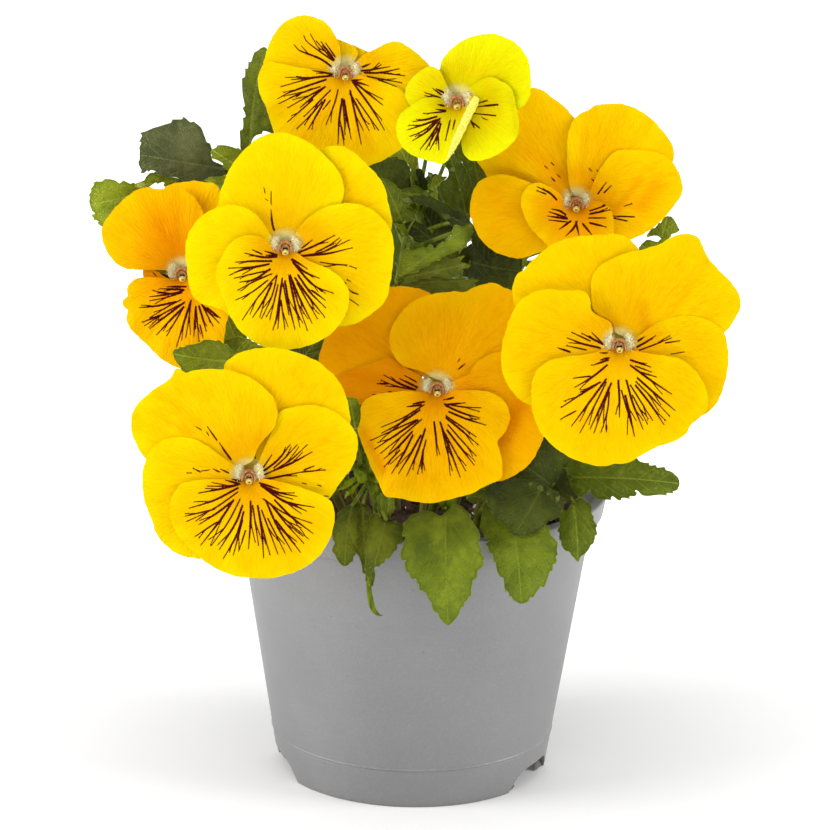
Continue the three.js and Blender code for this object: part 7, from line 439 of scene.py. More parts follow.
def triangulate(edge, extra, step, rng):
    lo, hi = edge.min(0), edge.max(0)
    g = hexgrid(lo, hi, step)
    g = g + rng.uniform(-0.12, 0.12, g.shape) * step
    g = g[inside(edge, g)]
    d, _, _ = seg_dist(g, edge, np.roll(edge, -1, 0))
    g = g[d > 0.45 * step]
    if len(extra):
        e = extra[inside(edge, extra)]
        d, _, _ = seg_dist(e, edge, np.roll(edge, -1, 0))
        e = e[d > 0.16]
    else:
        e = np.zeros((0, 2))
    if len(e):
        keep = np.ones(len(g), bool)
        for i in range(0, len(g), 400):
            dd = np.hypot(g[i:i + 400, None, 0] - e[None, :, 0], g[i:i + 400, None, 1] - e[None, :, 1])
            keep[i:i + 400] = dd.min(1) > 0.30
        g = np.vstack([e, g[keep]])
    n = len(edge)
    co = [Vector((float(p[0]), float(p[1]))) for p in np.vstack([edge, g])]
    v, _, f, ov, _, _ = delaunay_2d_cdt(co, [(i, (i + 1) % n) for i in range(n)], [], 1, 1e-6, True)
    V = np.array([(p.x, p.y) for p in v])
    rim = {}
    for i, src in enumerate(ov):
        for s in src:
            if s < n:
                rim[s] = i
    F = []
    for t in f:
        for k in range(1, len(t) - 1):
            a, b, c = t[0], t[k], t[k + 1]
            ar = (V[b][0] - V[a][0]) * (V[c][1] - V[a][1]) - (V[b][1] - V[a][1]) * (V[c][0] - V[a][0])
            if abs(ar) < 1e-9:
                continue
            F.append((a, b, c) if ar > 0 else (a, c, b))
    mid = np.array([(V[a] + V[b] + V[c]) / 3 for a, b, c in F])
    ok = inside(edge, mid)
    F = [f for f, k in zip(F, ok) if k]
    return V, F, [rim[i] for i in range(n)]


def blade_mesh(name, edge, extra, step, relief, half, frame3, rng, fields):
    """A closed thin blade: finely divided front, plainer back, and a rim between them.
    fields(uv, side) gives the values stored on the vertices."""
    VF, FF, rF = triangulate(edge, extra, step, rng)
    VB, FB, rB = triangulate(edge, np.zeros((0, 2)), step * 1.5, rng)
    n = len(edge)
    o, (U, V, W) = np.array(frame3[0]), [np.array(x) for x in frame3[1]]
    dF, _, _ = seg_dist(VF, edge, np.roll(edge, -1, 0))
    dB, _, _ = seg_dist(VB, edge, np.roll(edge, -1, 0))
    wF = relief(VF) + half * (0.35 + 0.65 * smooth(dF, 0, 1.4))
    wB = relief(VB) - half * (0.35 + 0.65 * smooth(dB, 0, 1.4))
    PF = o + VF[:, :1] * U + VF[:, 1:] * V + wF[:, None] * W
    PB = o + VB[:, :1] * U + VB[:, 1:] * V + wB[:, None] * W
    P = np.vstack([PF, PB])
    faces = list(FF) + [(a + len(VF), c + len(VF), b + len(VF)) for a, b, c in FB]
    for i in range(n):
        j = (i + 1) % n
        if rF[i] != rF[j]:
            faces.append((rF[i], rB[i] + len(VF), rB[j] + len(VF), rF[j]))
    me = bpy.data.meshes.new(name)
    me.from_pydata([tuple((x + OFFSET) * MM) for x in P], [], faces)
    uv = np.vstack([VF, VB])
    side = np.r_[np.ones(len(VF)), np.zeros(len(VB))]
    for key, val in fields(uv, side, np.r_[dF, dB]).items():
        kind = "FLOAT_VECTOR" if val.ndim == 2 else "FLOAT"
        a = me.attributes.new(key, kind, "POINT")
        a.data.foreach_set("vector" if val.ndim == 2 else "value", np.ascontiguousarray(val, np.float32).ravel())
    finish_mesh(me)
    return me


def finish_mesh(me, flat=False):
    bm = bmesh.new()
    bm.from_mesh(me)
    bmesh.ops.recalc_face_normals(bm, faces=bm.faces)
    for e in bm.edges:
        if len(e.link_faces) == 2 and e.calc_face_angle(0) > 0.87:
            e.smooth = False
    bm.to_mesh(me)
    bm.free()
    me.polygons.foreach_set("use_smooth", [not flat] * len(me.polygons))
    me.update()


def place(me, name, material, slot, *nodes):
    ob = bpy.data.objects.new(name, me)
    bpy.context.scene.collection.objects.link(ob)
    for m in (material if isinstance(material, (list, tuple)) else [material]):
        me.materials.append(m)
    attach(ob, "root")
    if nodes:
        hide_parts(*nodes)
    return ob


class Soup:
    """Collects closed shells into one mesh, with values stored on the vertices."""

    def __init__(self):
        self.P, self.F, self.M, self.A = [], [], [], {}

    def add(self, P, F, mat=0, **vals):
        b = len(self.P)
        self.P.extend([tuple(p) for p in P])
        self.F.extend([tuple(i + b for i in f) for f in F])
        self.M.extend([mat] * len(F))
        for k in set(self.A) | set(vals):
            col = self.A.setdefault(k, [])
            col.extend([0.0] * (b - len(col)))
            v = vals.get(k, 0.0)
            col.extend([float(x) for x in v] if hasattr(v, "__len__") else [float(v)] * len(P))

    def mesh(self, name):
        me = bpy.data.meshes.new(name)
        P = (np.array(self.P) + OFFSET) * MM
        me.from_pydata([tuple(p) for p in P], [], self.F)
        for k, col in self.A.items():
            a = me.attributes.new(k, "FLOAT", "POINT")
            col = col + [0.0] * (len(self.P) - len(col))
            a.data.foreach_set("value", np.array(col, np.float32))
        me.polygons.foreach_set("material_index", self.M)
        finish_mesh(me)
        return me


def frames(P):
    T = np.gradient(P, axis=0)
    T /= np.linalg.norm(T, axis=1)[:, None]
    a = np.array([0.0, 0.0, 1.0]) if abs(T[0][2]) < 0.9 else np.array([1.0, 0.0, 0.0])
    N = np.cross(T[0], a)
    N /= np.linalg.norm(N)
    out = []
    for t in T:
        N = N - (N @ t) * t
        N /= np.linalg.norm(N)
        out.append((N.copy(), np.cross(t, N)))
    return out


def tube(P, radius, sides=12, ridge=0.0, ridges=5):
    """A closed tube along points; radius(t) in mm, t from 0 to 1."""
    fr = frames(P)
    n = len(P)
    V, F, T = [], [], []
    for i, (p, (a, b)) in enumerate(zip(P, fr)):
        t = i / (n - 1)
        for k in range(sides):
            th = 2 * math.pi * k / sides
            r = radius(t) * (1 + ridge * math.cos(ridges * th))
            V.append(p + r * (math.cos(th) * a + math.sin(th) * b))
            T.append(t)
    for i in range(n - 1):
        for k in range(sides):
            k2 = (k + 1) % sides
            F.append((i * sides + k, i * sides + k2, (i + 1) * sides + k2, (i + 1) * sides + k))
    d0 = P[0] - P[1]
    d1 = P[-1] - P[-2]
    c0, c1 = len(V), len(V) + 1
    V.append(P[0] + d0 / np.linalg.norm(d0) * radius(0) * 0.35)
    V.append(P[-1] + d1 / np.linalg.norm(d1) * radius(1) * 0.45)
    T += [0.0, 1.0]
    for k in range(sides):
        k2 = (k + 1) % sides
        F.append((c0, k2, k))
        F.append((c1, (n - 1) * sides + k, (n - 1) * sides + k2))
    return V, F, T


def ball(c, axes, seg=14, rings=8, dent=0.0, rng=None):
    """An ellipsoid about c with half-axis vectors axes; dent pushes in its pole."""
    V, F = [], []
    A = [np.array(a, float) for a in axes]
    c = np.array(c, float)
    for i in range(rings + 1):
        ph = math.pi * i / rings
        for k in range(seg):
            th = 2 * math.pi * k / seg
            s = math.sin(ph)
            z = math.cos(ph)
            r = 1 - dent * math.exp(-((ph / 0.55) ** 2))
            if i in (0, rings) and k:
                continue
            V.append(c + r * (A[0] * s * math.cos(th) + A[1] * s * math.sin(th) + A[2] * z))
    top, bot = 0, len(V) - 1
    idx = lambda i, k: 1 + (i - 1) * seg + k % seg
    for k in range(seg):
        F.append((top, idx(1, k), idx(1, k + 1)))
        F.append((bot, idx(rings - 1, k + 1), idx(rings - 1, k)))
        for i in range(1, rings - 1):
            F.append((idx(i, k), idx(i + 1, k), idx(i + 1, k + 1), idx(i, k + 1)))
    return V, F


# ----------------------------------------------------------------- materials
class Nodes:
    def __init__(self, name):
        self.m = bpy.data.materials.new(name)
        self.m.use_nodes = True
        self.t = self.m.node_tree
        self.t.nodes.clear()
        self.out = self.t.nodes.new("ShaderNodeOutputMaterial")
        self.b = self.t.nodes.new("ShaderNodeBsdfPrincipled")
        self.t.links.new(self.b.outputs[0], self.out.inputs[0])

    def put(self, sock, val):
        if isinstance(val, bpy.types.NodeSocket):
            self.t.links.new(val, sock)
        else:
            sock.default_value = val

    def set(self, **kw):
        for k, v in kw.items():
            self.put(self.b.inputs[k.replace("_", " ")], v)

    def attr(self, name, vec=False):
        n = self.t.nodes.new("ShaderNodeAttribute")
        n.attribute_name = name
        return n.outputs["Vector"] if vec else n.outputs["Fac"]

    def obj(self):
        return self.t.nodes.new("ShaderNodeTexCoord").outputs["Object"]

    def noise(self, vec, scale, detail=3.0, rough=0.5, dist=0.0, colour=False):
        n = self.t.nodes.new("ShaderNodeTexNoise")
        self.put(n.inputs["Vector"], vec)
        n.inputs["Scale"].default_value = scale
        n.inputs["Detail"].default_value = detail
        n.inputs["Roughness"].default_value = rough
        n.inputs["Distortion"].default_value = dist
        return n.outputs["Color" if colour else "Fac"]

    def voronoi(self, vec, scale, feature="F1", out="Distance"):
        n = self.t.nodes.new("ShaderNodeTexVoronoi")
        n.feature = feature
        self.put(n.inputs["Vector"], vec)
        n.inputs["Scale"].default_value = scale
        return n.outputs[out]

    def scale(self, vec, s):
        n = self.t.nodes.new("ShaderNodeVectorMath")
        n.operation = "MULTIPLY"
        self.put(n.inputs[0], vec)
        n.inputs[1].default_value = s
        return n.outputs[0]

    def math(self, op, a, b=0.0, c=0.0, clamp=False):
        n = self.t.nodes.new("ShaderNodeMath")
        n.operation = op
        n.use_clamp = clamp
        self.put(n.inputs[0], a)
        self.put(n.inputs[1], b)
        if len(n.inputs) > 2:
            self.put(n.inputs[2], c)
        return n.outputs[0]

    def rng(self, x, a, b, c=0.0, d=1.0, kind="SMOOTHSTEP"):
        n = self.t.nodes.new("ShaderNodeMapRange")
        n.interpolation_type = kind
        self.put(n.inputs["Value"], x)
        n.inputs["From Min"].default_value = a
        n.inputs["From Max"].default_value = b
        n.inputs["To Min"].default_value = c
        n.inputs["To Max"].default_value = d
        return n.outputs["Result"]

    def mix(self, fac, a, b, blend="MIX"):
        n = self.t.nodes.new("ShaderNodeMix")
        n.data_type = "RGBA"
        n.blend_type = blend
        n.clamp_factor = True
        self.put(n.inputs[0], fac)
        self.put(n.inputs[6], a)
        self.put(n.inputs[7], b)
        return n.outputs[2]

    def bump(self, height, dist, strength=1.0, normal=None):
        n = self.t.nodes.new("ShaderNodeBump")
        n.inputs["Strength"].default_value = strength
        n.inputs["Distance"].default_value = dist
        self.put(n.inputs["Height"], height)
        if normal is not None:
            self.put(n.inputs["Normal"], normal)
        return n.outputs[0]


def petal_material(name, core, body, edge, shade, pale):
    """core near the throat, body, edge at the rim, shade in the darker streaks; edge is also the painted light on lit
    petals, shade also the painted shade in folds and on shaded petals.
    """
    k = Nodes(name)
    polar, r, e = k.attr("polar", True), k.attr("radius"), k.attr("rimness")
    tone, whisk, tint, front = k.attr("tone"), k.attr("whisker"), k.attr("tint"), k.attr("front")
    crease = k.attr("crease")
    o = k.obj()
    col = k.mix(k.rng(r, 3.0, 17.0), core, body)
    streak = k.noise(polar, 26.0, 3.0, 0.6, 0.25)
    streak2 = k.noise(polar, 70.0, 2.0, 0.5, 0.15)
    cloud = k.noise(o, 70.0, 2.0, 0.5)
    col = k.mix(k.rng(streak, 0.44, 0.74, 0.0, 0.46), col, shade)
    col = k.mix(k.rng(streak2, 0.48, 0.78, 0.0, 0.36), col, shade)
    col = k.mix(k.rng(cloud, 0.42, 0.72, 0.0, 0.42), col, edge)
    rim = k.math("MULTIPLY", e, k.rng(k.noise(o, 160.0, 2.0, 0.5), 0.3, 0.7, 0.45, 1.0))
    col = k.mix(rim, col, edge)
    col = k.mix(k.math("MULTIPLY", e, pale), col, lin(240, 228, 60))
    # painted light and shade per petal: below zero painted shade, darker and more orange; above zero painted light,
    # lighter
    col = k.mix(k.math("MULTIPLY", tone, -1.0, clamp=True), col, shade)
    col = k.mix(k.math("MULTIPLY", tone, 1.0, clamp=True), col, edge)
    # painted shade in the folds of the petal
    col = k.mix(k.math("MULTIPLY", crease, 0.75, clamp=True), col, shade)
    # the strength of the pigment in this petal
    col = k.mix(1.0, col, k.attr("gain", True), "MULTIPLY")
    # green-yellow just above the throat, orange-brown just under it
    col = k.mix(k.math("MULTIPLY", tint, 1.0, clamp=True), col, lin(188, 178, 34))
    col = k.mix(k.math("MULTIPLY", tint, -1.0, clamp=True), col, lin(196, 104, 6))
    halo0 = k.math("MULTIPLY", k.rng(r, 2.4, 6.4, 0.85, 0.0), k.math("MULTIPLY", tint, 4.0, clamp=True))
    col = k.mix(halo0, col, lin(244, 236, 168))
    fleck = k.noise(o, 2600.0, 2.0, 0.6)
    w = k.math("ADD", whisk, k.rng(fleck, 0.3, 0.7, -0.13, 0.13, "LINEAR"))
    halo = k.rng(whisk, 0.02, 0.5, 0.0, 0.30)
    col = k.mix(k.math("MULTIPLY", halo, front), col, lin(196, 104, 4))
    dark = k.mix(k.noise(o, 900.0, 2.0, 0.5), lin(50, 8, 10), lin(78, 18, 14))
    col = k.mix(k.math("MULTIPLY", k.rng(w, 0.34, 0.60), front), col, dark)
    h = k.math("ADD", k.math("MULTIPLY", streak2, 0.5), k.math("MULTIPLY", streak, 1.0))
    n1 = k.bump(h, 0.00060, 0.65)
    n2 = k.bump(k.voronoi(o, 2600.0), 0.00005, 0.5, n1)
    k.set(Base_Color=col, Normal=n2)
    k.set(Roughness=k.rng(streak, 0.3, 0.7, 0.50, 0.62, "LINEAR"))
    k.b.inputs["Specular IOR Level"].default_value = 0.006
    k.b.inputs["Subsurface Weight"].default_value = 0.10
    k.b.inputs["Subsurface Radius"].default_value = (1.0, 0.62, 0.40)
    k.b.inputs["Subsurface Scale"].default_value = 0.0012
    return k.m


def leaf_material(name, body, dark, light, vein):
    k = Nodes(name)
    o = k.obj()
    v, m, tone, under, e = k.attr("vein"), k.attr("midrib"), k.attr("tone"), k.attr("under"), k.attr("rimness")
    blot = k.noise(o, 75.0, 3.0, 0.5)
    col = k.mix(k.rng(blot, 0.30, 0.60), dark, body)
    col = k.mix(k.rng(k.noise(o, 42.0, 2.0, 0.5), 0.50, 0.68, 0.0, 0.75), col, light)
    # tone: painted light above zero, painted shade below zero; on leaves round the back a tone that differs at random
    col = k.mix(k.math("MULTIPLY", tone, 1.0, clamp=True), col, light)
    col = k.mix(k.math("MULTIPLY", tone, -1.0, clamp=True), col, dark)
    col = k.mix(k.rng(k.noise(o, 520.0, 2.0, 0.6), 0.5, 0.75, 0.0, 0.4), col, light)
    col = k.mix(k.rng(k.noise(o, 190.0, 3.0, 0.62), 0.42, 0.64, 0.0, 0.55), col, dark)
    col = k.mix(k.rng(k.noise(o, 330.0, 2.0, 0.6), 0.52, 0.72, 0.0, 0.45), col, light)
    cells = k.voronoi(o, 1250.0, "DISTANCE_TO_EDGE")
    net = k.rng(cells, 0.0, 0.14, 1.0, 0.0)
    col = k.mix(k.math("MULTIPLY", net, 0.10), col, dark)
    # painted shade in the hollows beside the veins
    col = k.mix(k.rng(v, 0.08, 0.5, 0.0, 0.40), col, dark)
    col = k.mix(k.rng(v, 0.45, 0.98, 0.0, 0.42), col, vein)
    col = k.mix(k.rng(m, 0.2, 0.8, 0.0, 0.38), col, vein)
    col = k.mix(k.rng(e, 0.15, 0.8, 0.0, 0.45), col, dark)
    # a painted highlight along the very margin
    col = k.mix(k.rng(e, 0.86, 0.99, 0.0, 0.80), col, light)
    col = k.mix(k.math("MULTIPLY", under, 0.7), col, lin(132, 148, 96))
    # painted light and shade per leaf: darker deep inside the plant, lighter at its edge
    col = k.mix(1.0, col, k.attr("gain", True), "MULTIPLY")
    hgt = k.math("ADD", k.math("MULTIPLY", net, -0.6), k.math("MULTIPLY", k.noise(o, 420.0, 3.0, 0.6), 1.2))
    n1 = k.bump(hgt, 0.00050, 0.70)
    n2 = k.bump(k.noise(o, 3200.0, 2.0, 0.6), 0.00004, 0.5, n1)
    k.set(Base_Color=col, Normal=n2)
    k.set(Roughness=k.rng(blot, 0.3, 0.7, 0.40, 0.54, "LINEAR"))
    k.b.inputs["Specular IOR Level"].default_value = 0.20
    k.b.inputs["Subsurface Weight"].default_value = 0.05
    k.b.inputs["Subsurface Radius"].default_value = (0.5, 1.0, 0.2)
    k.b.inputs["Subsurface Scale"].default_value = 0.0008
    return k.m


def stem_material(name, body, light, dark):
    k = Nodes(name)
    o = k.obj()
    t = k.attr("along")
    stretch = k.scale(o, (1.0, 1.0, 0.12))
    s = k.noise(stretch, 900.0, 3.0, 0.6)
    col = k.mix(k.rng(s, 0.38, 0.66), dark, body)
    col = k.mix(k.rng(k.noise(o, 160.0, 2.0, 0.5), 0.45, 0.7, 0.0, 0.7), col, light)
    col = k.mix(k.rng(t, 0.0, 0.25, 0.45, 0.0), col, lin(120, 92, 60))
    k.set(Base_Color=col, Roughness=k.rng(s, 0.3, 0.7, 0.42, 0.58, "LINEAR"))
    k.set(Normal=k.bump(s, 0.00012, 0.5))
    k.b.inputs["Specular IOR Level"].default_value = 0.12
    k.b.inputs["Subsurface Weight"].default_value = 0.06
    k.b.inputs["Subsurface Radius"].default_value = (0.5, 1.0, 0.2)
    k.b.inputs["Subsurface Scale"].default_value = 0.0010
    return k.m


def throat_material(name, a, b, rough, painted_glow=0.0):
    k = Nodes(name)
    o = k.obj()
    t = k.attr("along")
    col = k.mix(k.rng(k.noise(o, 1800.0, 2.0, 0.5), 0.35, 0.65), a, b)
    col = k.mix(k.rng(t, 0.5, 1.0, 0.0, 0.4), col, lin(246, 238, 200))
    k.set(Base_Color=col, Normal=k.bump(k.noise(o, 2600.0, 2.0, 0.5), 0.00006, 0.5))
    k.set(Roughness=k.rng(k.noise(o, 900.0, 2.0, 0.5), 0.3, 0.7, rough - 0.08, rough + 0.08, "LINEAR"))
    k.b.inputs["Subsurface Weight"].default_value = 0.15
    k.b.inputs["Subsurface Scale"].default_value = 0.0008
    # a painted glow: emission that makes the stigma and beards brighter than the light they get
    if painted_glow:
        k.set(Emission_Color=col)
        k.b.inputs["Emission Strength"].default_value = painted_glow
    return k.m


def pot_material():
    k = Nodes("pot_plastic_grey")
    o = k.obj()
    big = k.noise(o, 30.0, 3.0, 0.5)
    fine = k.noise(o, 1500.0, 3.0, 0.6)
    rings = k.noise(k.scale(o, (0.02, 0.02, 1.0)), 260.0, 3.0, 0.6)
    col = k.mix(k.rng(big, 0.35, 0.65), POT_A, POT_B)
    col = k.mix(k.rng(fine, 0.42, 0.70, 0.0, 0.16), col, lin(158, 158, 159))
    col = k.mix(k.rng(rings, 0.4, 0.7, 0.0, 0.10), col, lin(108, 108, 110))
    # a few dust specks, and the pale broken flash line above the foot
    spots = k.voronoi(o, 210.0)
    col = k.mix(k.rng(spots, 0.030, 0.055, 0.75, 0.0), col, lin(78, 72, 66))
    pale = k.voronoi(k.scale(o, (1.0, 1.0, 1.0)), 330.0)
    col = k.mix(k.rng(pale, 0.016, 0.04, 0.35, 0.0), col, lin(196, 196, 196))
    flash = k.attr("flash")
    dash = k.rng(k.noise(k.scale(o, (1.0, 1.0, 0.2)), 240.0, 3.0, 0.7), 0.47, 0.58)
    col = k.mix(k.math("MULTIPLY", flash, k.math("MULTIPLY", dash, 0.10)), col, lin(222, 222, 222))
    # painted shade in the recess under the floor, inside the notches and along the foot's lower edge
    col = k.mix(k.attr("painted_recess_shade"), col, lin(84, 80, 76))
    n1 = k.bump(rings, 0.00010, 0.35)
    n2 = k.bump(fine, 0.00005, 0.5, n1)
    k.set(Base_Color=col, Normal=n2, Roughness=k.rng(fine, 0.3, 0.7, 0.42, 0.54, "LINEAR"))
    k.b.inputs["Specular IOR Level"].default_value = 0.75
    return k.m


def soil_material():
    k = Nodes("growing_medium_peat")
    o = k.obj()
    a, b = k.noise(o, 260.0, 4.0, 0.65), k.noise(o, 1400.0, 3.0, 0.7)
    col = k.mix(k.rng(a, 0.35, 0.65), lin(34, 25, 19), lin(66, 48, 34))
    col = k.mix(k.rng(b, 0.50, 0.75, 0.0, 0.7), col, lin(98, 74, 52))
    col = k.mix(k.attr("bark"), col, lin(92, 60, 36))
    k.set(Base_Color=col, Normal=k.bump(b, 0.0004, 0.8, k.bump(a, 0.0010, 0.7)))
    k.set(Roughness=k.rng(b, 0.3, 0.7, 0.82, 0.96, "LINEAR"))
    return k.m


def perlite_material():
    k = Nodes("growing_medium_perlite")
    o = k.obj()
    a = k.noise(o, 1300.0, 3.0, 0.6)
    col = k.mix(k.rng(a, 0.35, 0.65), lin(214, 208, 196), lin(240, 237, 230))
    k.set(Base_Color=col, Normal=k.bump(a, 0.0002, 0.8), Roughness=k.rng(a, 0.3, 0.7, 0.7, 0.9, "LINEAR"))
    return k.m


# Colours per bloom: near the throat, body, edge (also the painted light), darker streak (also the painted shade), pale
# rim amount
Y = dict(
    bloom1=(lin(249, 178, 4), lin(251, 194, 2), lin(252, 212, 4), lin(239, 152, 1), 0.0),
    bloom2=(lin(234, 196, 4), lin(236, 206, 8), lin(240, 222, 14), lin(216, 170, 3), 0.18),
    bloom3=(lin(247, 166, 4), lin(252, 194, 2), lin(253, 212, 2), lin(238, 150, 1), 0.0),
    bloom4=(lin(249, 176, 3), lin(253, 199, 1), lin(253, 219, 4), lin(242, 160, 1), 0.05),
    bloom5=(lin(244, 164, 4), lin(247, 180, 3), lin(248, 202, 5), lin(230, 136, 2), 0.0),
    bloom6=(lin(249, 178, 3), lin(250, 192, 1), lin(250, 208, 3), lin(237, 150, 1), 0.0),
    bloom7=(lin(246, 168, 4), lin(249, 186, 2), lin(250, 202, 3), lin(227, 136, 2), 0.02),
    bloom8=(lin(247, 172, 5), lin(252, 192, 2), lin(252, 213, 4), lin(240, 154, 2), 0.0),
)
# Painted light and shade per petal: below zero painted shade where a petal lies in the shadow of others, above zero
# painted light on lit petals
PETAL_PAINTED_LIGHT = {
    ("bloom1", "upper_right"): 0.5, ("bloom1", "upper_left"): 0.5,
    ("bloom7", "side_left"): -0.75, ("bloom7", "upper_left"): -0.45, ("bloom7", "side_right"): -0.3,
    ("bloom7", "upper_right"): -0.15, ("bloom5", "upper_left"): -0.2, ("bloom5", "side_left"): -0.45,
    ("bloom8", "side_left"): 0.25, ("bloom4", "side_left"): 0.35, ("bloom4", "upper_left"): 0.2,
    ("bloom6", "side_right"): -0.1, ("bloom3", "side_left"): -0.2,
}
# Pigment strength in red, green and blue: lemon, golden and orange-yellow blooms
LEMON, GOLDEN, ORANGE = (0.80, 0.95, 0.20), (0.80, 0.85, 0.20), (0.90, 0.85, 0.20)
BLOOM_GAIN = {"bloom1": GOLDEN, "bloom2": LEMON, "bloom3": ORANGE, "bloom4": GOLDEN,
              "bloom5": ORANGE, "bloom6": GOLDEN, "bloom7": ORANGE, "bloom8": GOLDEN}
# Painted shade on leaves deep inside the plant, painted light on leaves at its edge that are pale and lit, and a common
# gain for all others
SHADED_LEAVES = ("dark_", "inner_", "under_", "fill_", "arch", "fuzzy", "tall", "grey", "narrow_")
LIT_LEAVES = ("slate", "ridge", "far_", "small_high", "twig_leaf", "pale_", "lit_", "green_b", "bit_", "gap_leaf")


def leaf_light_gain(name):
    if name == "grey_bit":
        return (0.95, 0.95, 0.60)
    if name.startswith(SHADED_LEAVES):
        return (0.75, 0.70, 0.40)
    if name.startswith(LIT_LEAVES):
        return (1.50, 1.40, 1.00)
    return (0.95, 0.95, 0.60)


POT_A, POT_B = lin(116, 116, 117), lin(121, 121, 122)

# -------------------------------------------------------------------- petals
def noise2(seed, n=6, lo=0.15, hi=0.5):
    r = np.random.default_rng(seed)
    k = r.uniform(lo, hi, n)
    a = r.uniform(0, 2 * math.pi, n)
    p = r.uniform(0, 2 * math.pi, n)
    w = 1.0 / (0.5 + k / lo)
    w /= w.sum()
    def f(u, v):
        s = np.zeros_like(u)
        for i in range(n):
            s = s + w[i] * np.cos(k[i] * (u * math.cos(a[i]) + v * math.sin(a[i])) + p[i])
        return s * 1.6
    return f


def bloom_surface(name, seed):
    lean = BLOOMS[name]["lean"]
    g = noise2(seed, 5, 0.10, 0.24)
    def base(P, layer):
        u, v = P[:, 0], P[:, 1]
        r = np.hypot(u, v)
        w = lean[0] * u + lean[1] * v + layer * LAYER * (0.35 + 0.65 * smooth(r, 0, 9))
        w = w - 2.0 * np.exp(-(r / 4.2) ** 2)
        w = w + 1.25 * g(u, v) * smooth(r, 5, 16) - 2.2 * smooth(r, 14, 36)
        return w
    return base


def petal_relief(name, petal, layer, count, edge, seed):
    base = bloom_surface(name, seed)
    rg = np.random.default_rng(seed * 7 + layer * 13 + 5)
    ph = rg.uniform(0, 2 * math.pi, 8)
    small = noise2(seed * 31 + layer, 6, 0.5, 1.0)
    centre = edge.mean(0)
    axis = math.atan2(centre[1], centre[0])
    top, bottom = layer == count - 1, layer == 0
    creases = CREASES.get((name, petal), [])
    def f(P):
        u, v = P[:, 0], P[:, 1]
        r = np.hypot(u, v)
        d, _, _ = seg_dist(P, edge, np.roll(edge, -1, 0))
        free = smooth(r, 9, 18)
        a = np.arctan2(np.sin(np.arctan2(v, u) - axis), np.cos(np.arctan2(v, u) - axis))
        # ruffles along the rim and broad radial folds
        R = 0.6 * np.sin(a * 9 + ph[0] + 0.05 * r) + 0.4 * np.sin(a * 16 + ph[1] - 0.1 * r)
        near = np.exp(-(d / 5.0) ** 1.5)
        rr = R * near * free
        fold = 0.24 * np.sin(a * 7 + ph[2]) * smooth(r, 4, 14) + 0.13 * np.sin(a * 19 + ph[3]) * smooth(r, 6, 16) + 0.05 * np.sin(a * 43 + ph[4]) * smooth(r, 8, 18)
        w = base(P, layer) + 0.28 * rr + fold * 0.8 + 0.13 * small(u, v) * free
        if top:
            w = w + 0.55 * np.maximum(rr, 0) + 0.55 * near * free
        elif bottom:
            w = w + 0.8 * np.minimum(rr, 0) - 0.5 * near * free
        for amount, width, A, B in creases:
            dd, _, _ = seg_dist(P, np.array([A], float), np.array([B], float))
            w = w + amount * np.exp(-(dd / width) ** 2)
        return w
    return f


CREASES = {
 ("bloom6", "upper_right"): [(-0.35, 1.6, (6.43, 12.25), (8.48, 2.89)), (0.2, 1.5, (17.82, 13.08), (11.99, 4.34)), (0.18, 1.2, (25.39, 24.13), (18.4, 13.08)), (-0.3, 1.6, (-7.31, 14.64), (-1.46, 5.56))],
 ("bloom8", "upper_left"): [(0.22, 1.2, (-28.88, 18.65), (-17.22, 12.83)), (-0.22, 1.2, (-25.96, 23.32), (-14.3, 16.34)), (-0.3, 1.8, (8.47, 21.64), (3.8, 10.53))],
 ("bloom7", "side_left"): [(-0.5, 1.8, (-28.83, 5.05), (-15.75, 2.08)), (0.4, 1.4, (-15.15, 8.61), (-11.59, 3.86))],
 ("bloom7", "side_right"): [(-0.5, 3, (24.67, -4.76), (18.73, -15.15))],
 ("bloom7", "lip"): [(0.5, 1.4, (-21.12, -12.77), (-15.77, -24.07))],
 ("bloom3", "side_right"): [(0.45, 1.4, (10.78, -3.63), (19.45, 7.07)), (-0.4, 2.4, (19.16, -0.38), (23.63, 5.26))],
 ("bloom5", "upper_left"): [(-0.5, 5, (-6.6, 14.34), (0, 4.8))],
 ("bloom2", "side_right"): [(0.4, 1, (15.93, 2.61), (17.42, -9.11))],
 ("bloom3", "upper_left"): [(-0.3, 2, (-13.77, 16.16), (-4.79, 8.67))],
 ("bloom1", "lip"): [(0.3, 1.5, (-13.42, -20.14), (-6.86, -11.84)), (-0.25, 1.5, (8.06, -23.06), (4.47, -14.18))],
}


def forked(lines, rng):
    """The drawn lines, with the finer twigs that leave them toward the rim."""
    out = list(lines)
    for width, L in lines:
        P, t = walk(open_curve(L, 4 * len(L)) if len(L) > 2 else L, 0.5)
        n = len(P)
        if n < 11:
            continue
        for j in range(1 if n > 13 else 0):
            i = int(n * rng.uniform(0.35, 0.70))
            d = P[0] - P[i]
            full = np.linalg.norm(d)
            d = d / max(full, 1e-6)
            s = (1 if rng.random() < 0.5 else -1) * rng.uniform(0.17, 0.30)
            e = np.array([d[0] * math.cos(s) - d[1] * math.sin(s), d[0] * math.sin(s) + d[1] * math.cos(s)])
            ln = full * rng.uniform(0.55, 0.90)
            out.append((0.22, [tuple(P[i] + e * ln), tuple(P[i] + e * ln * 0.5 + 0.10 * rng.uniform(-1, 1, 2)), tuple(P[i])]))
    return out


def whisker_points(lines):
    pts, segs = [], []
    for width, L in lines:
        if len(L) > 2:
            L = open_curve(L, 4 * len(L))
        P, t = walk(L, 0.42)
        hw = 0.5 * 1.14 * width * (0.42 + 0.58 * smooth(t, 0.0, 0.55)) * (1.0 - 0.10 * smooth(t, 0.8, 1.0))
        T = np.gradient(P, axis=0)
        T /= np.maximum(np.linalg.norm(T, axis=1)[:, None], 1e-9)
        N = np.stack([-T[:, 1], T[:, 0]], 1)
        segs.append((P, hw))
        for off in (0.0, 1.0, -1.0):
            pts.append(P + N * (hw * off)[:, None])
        for sgn in (1, -1):
            pts.append(P + N * (sgn * (hw + 0.20))[:, None])
    return (np.vstack(pts) if pts else np.zeros((0, 2))), segs


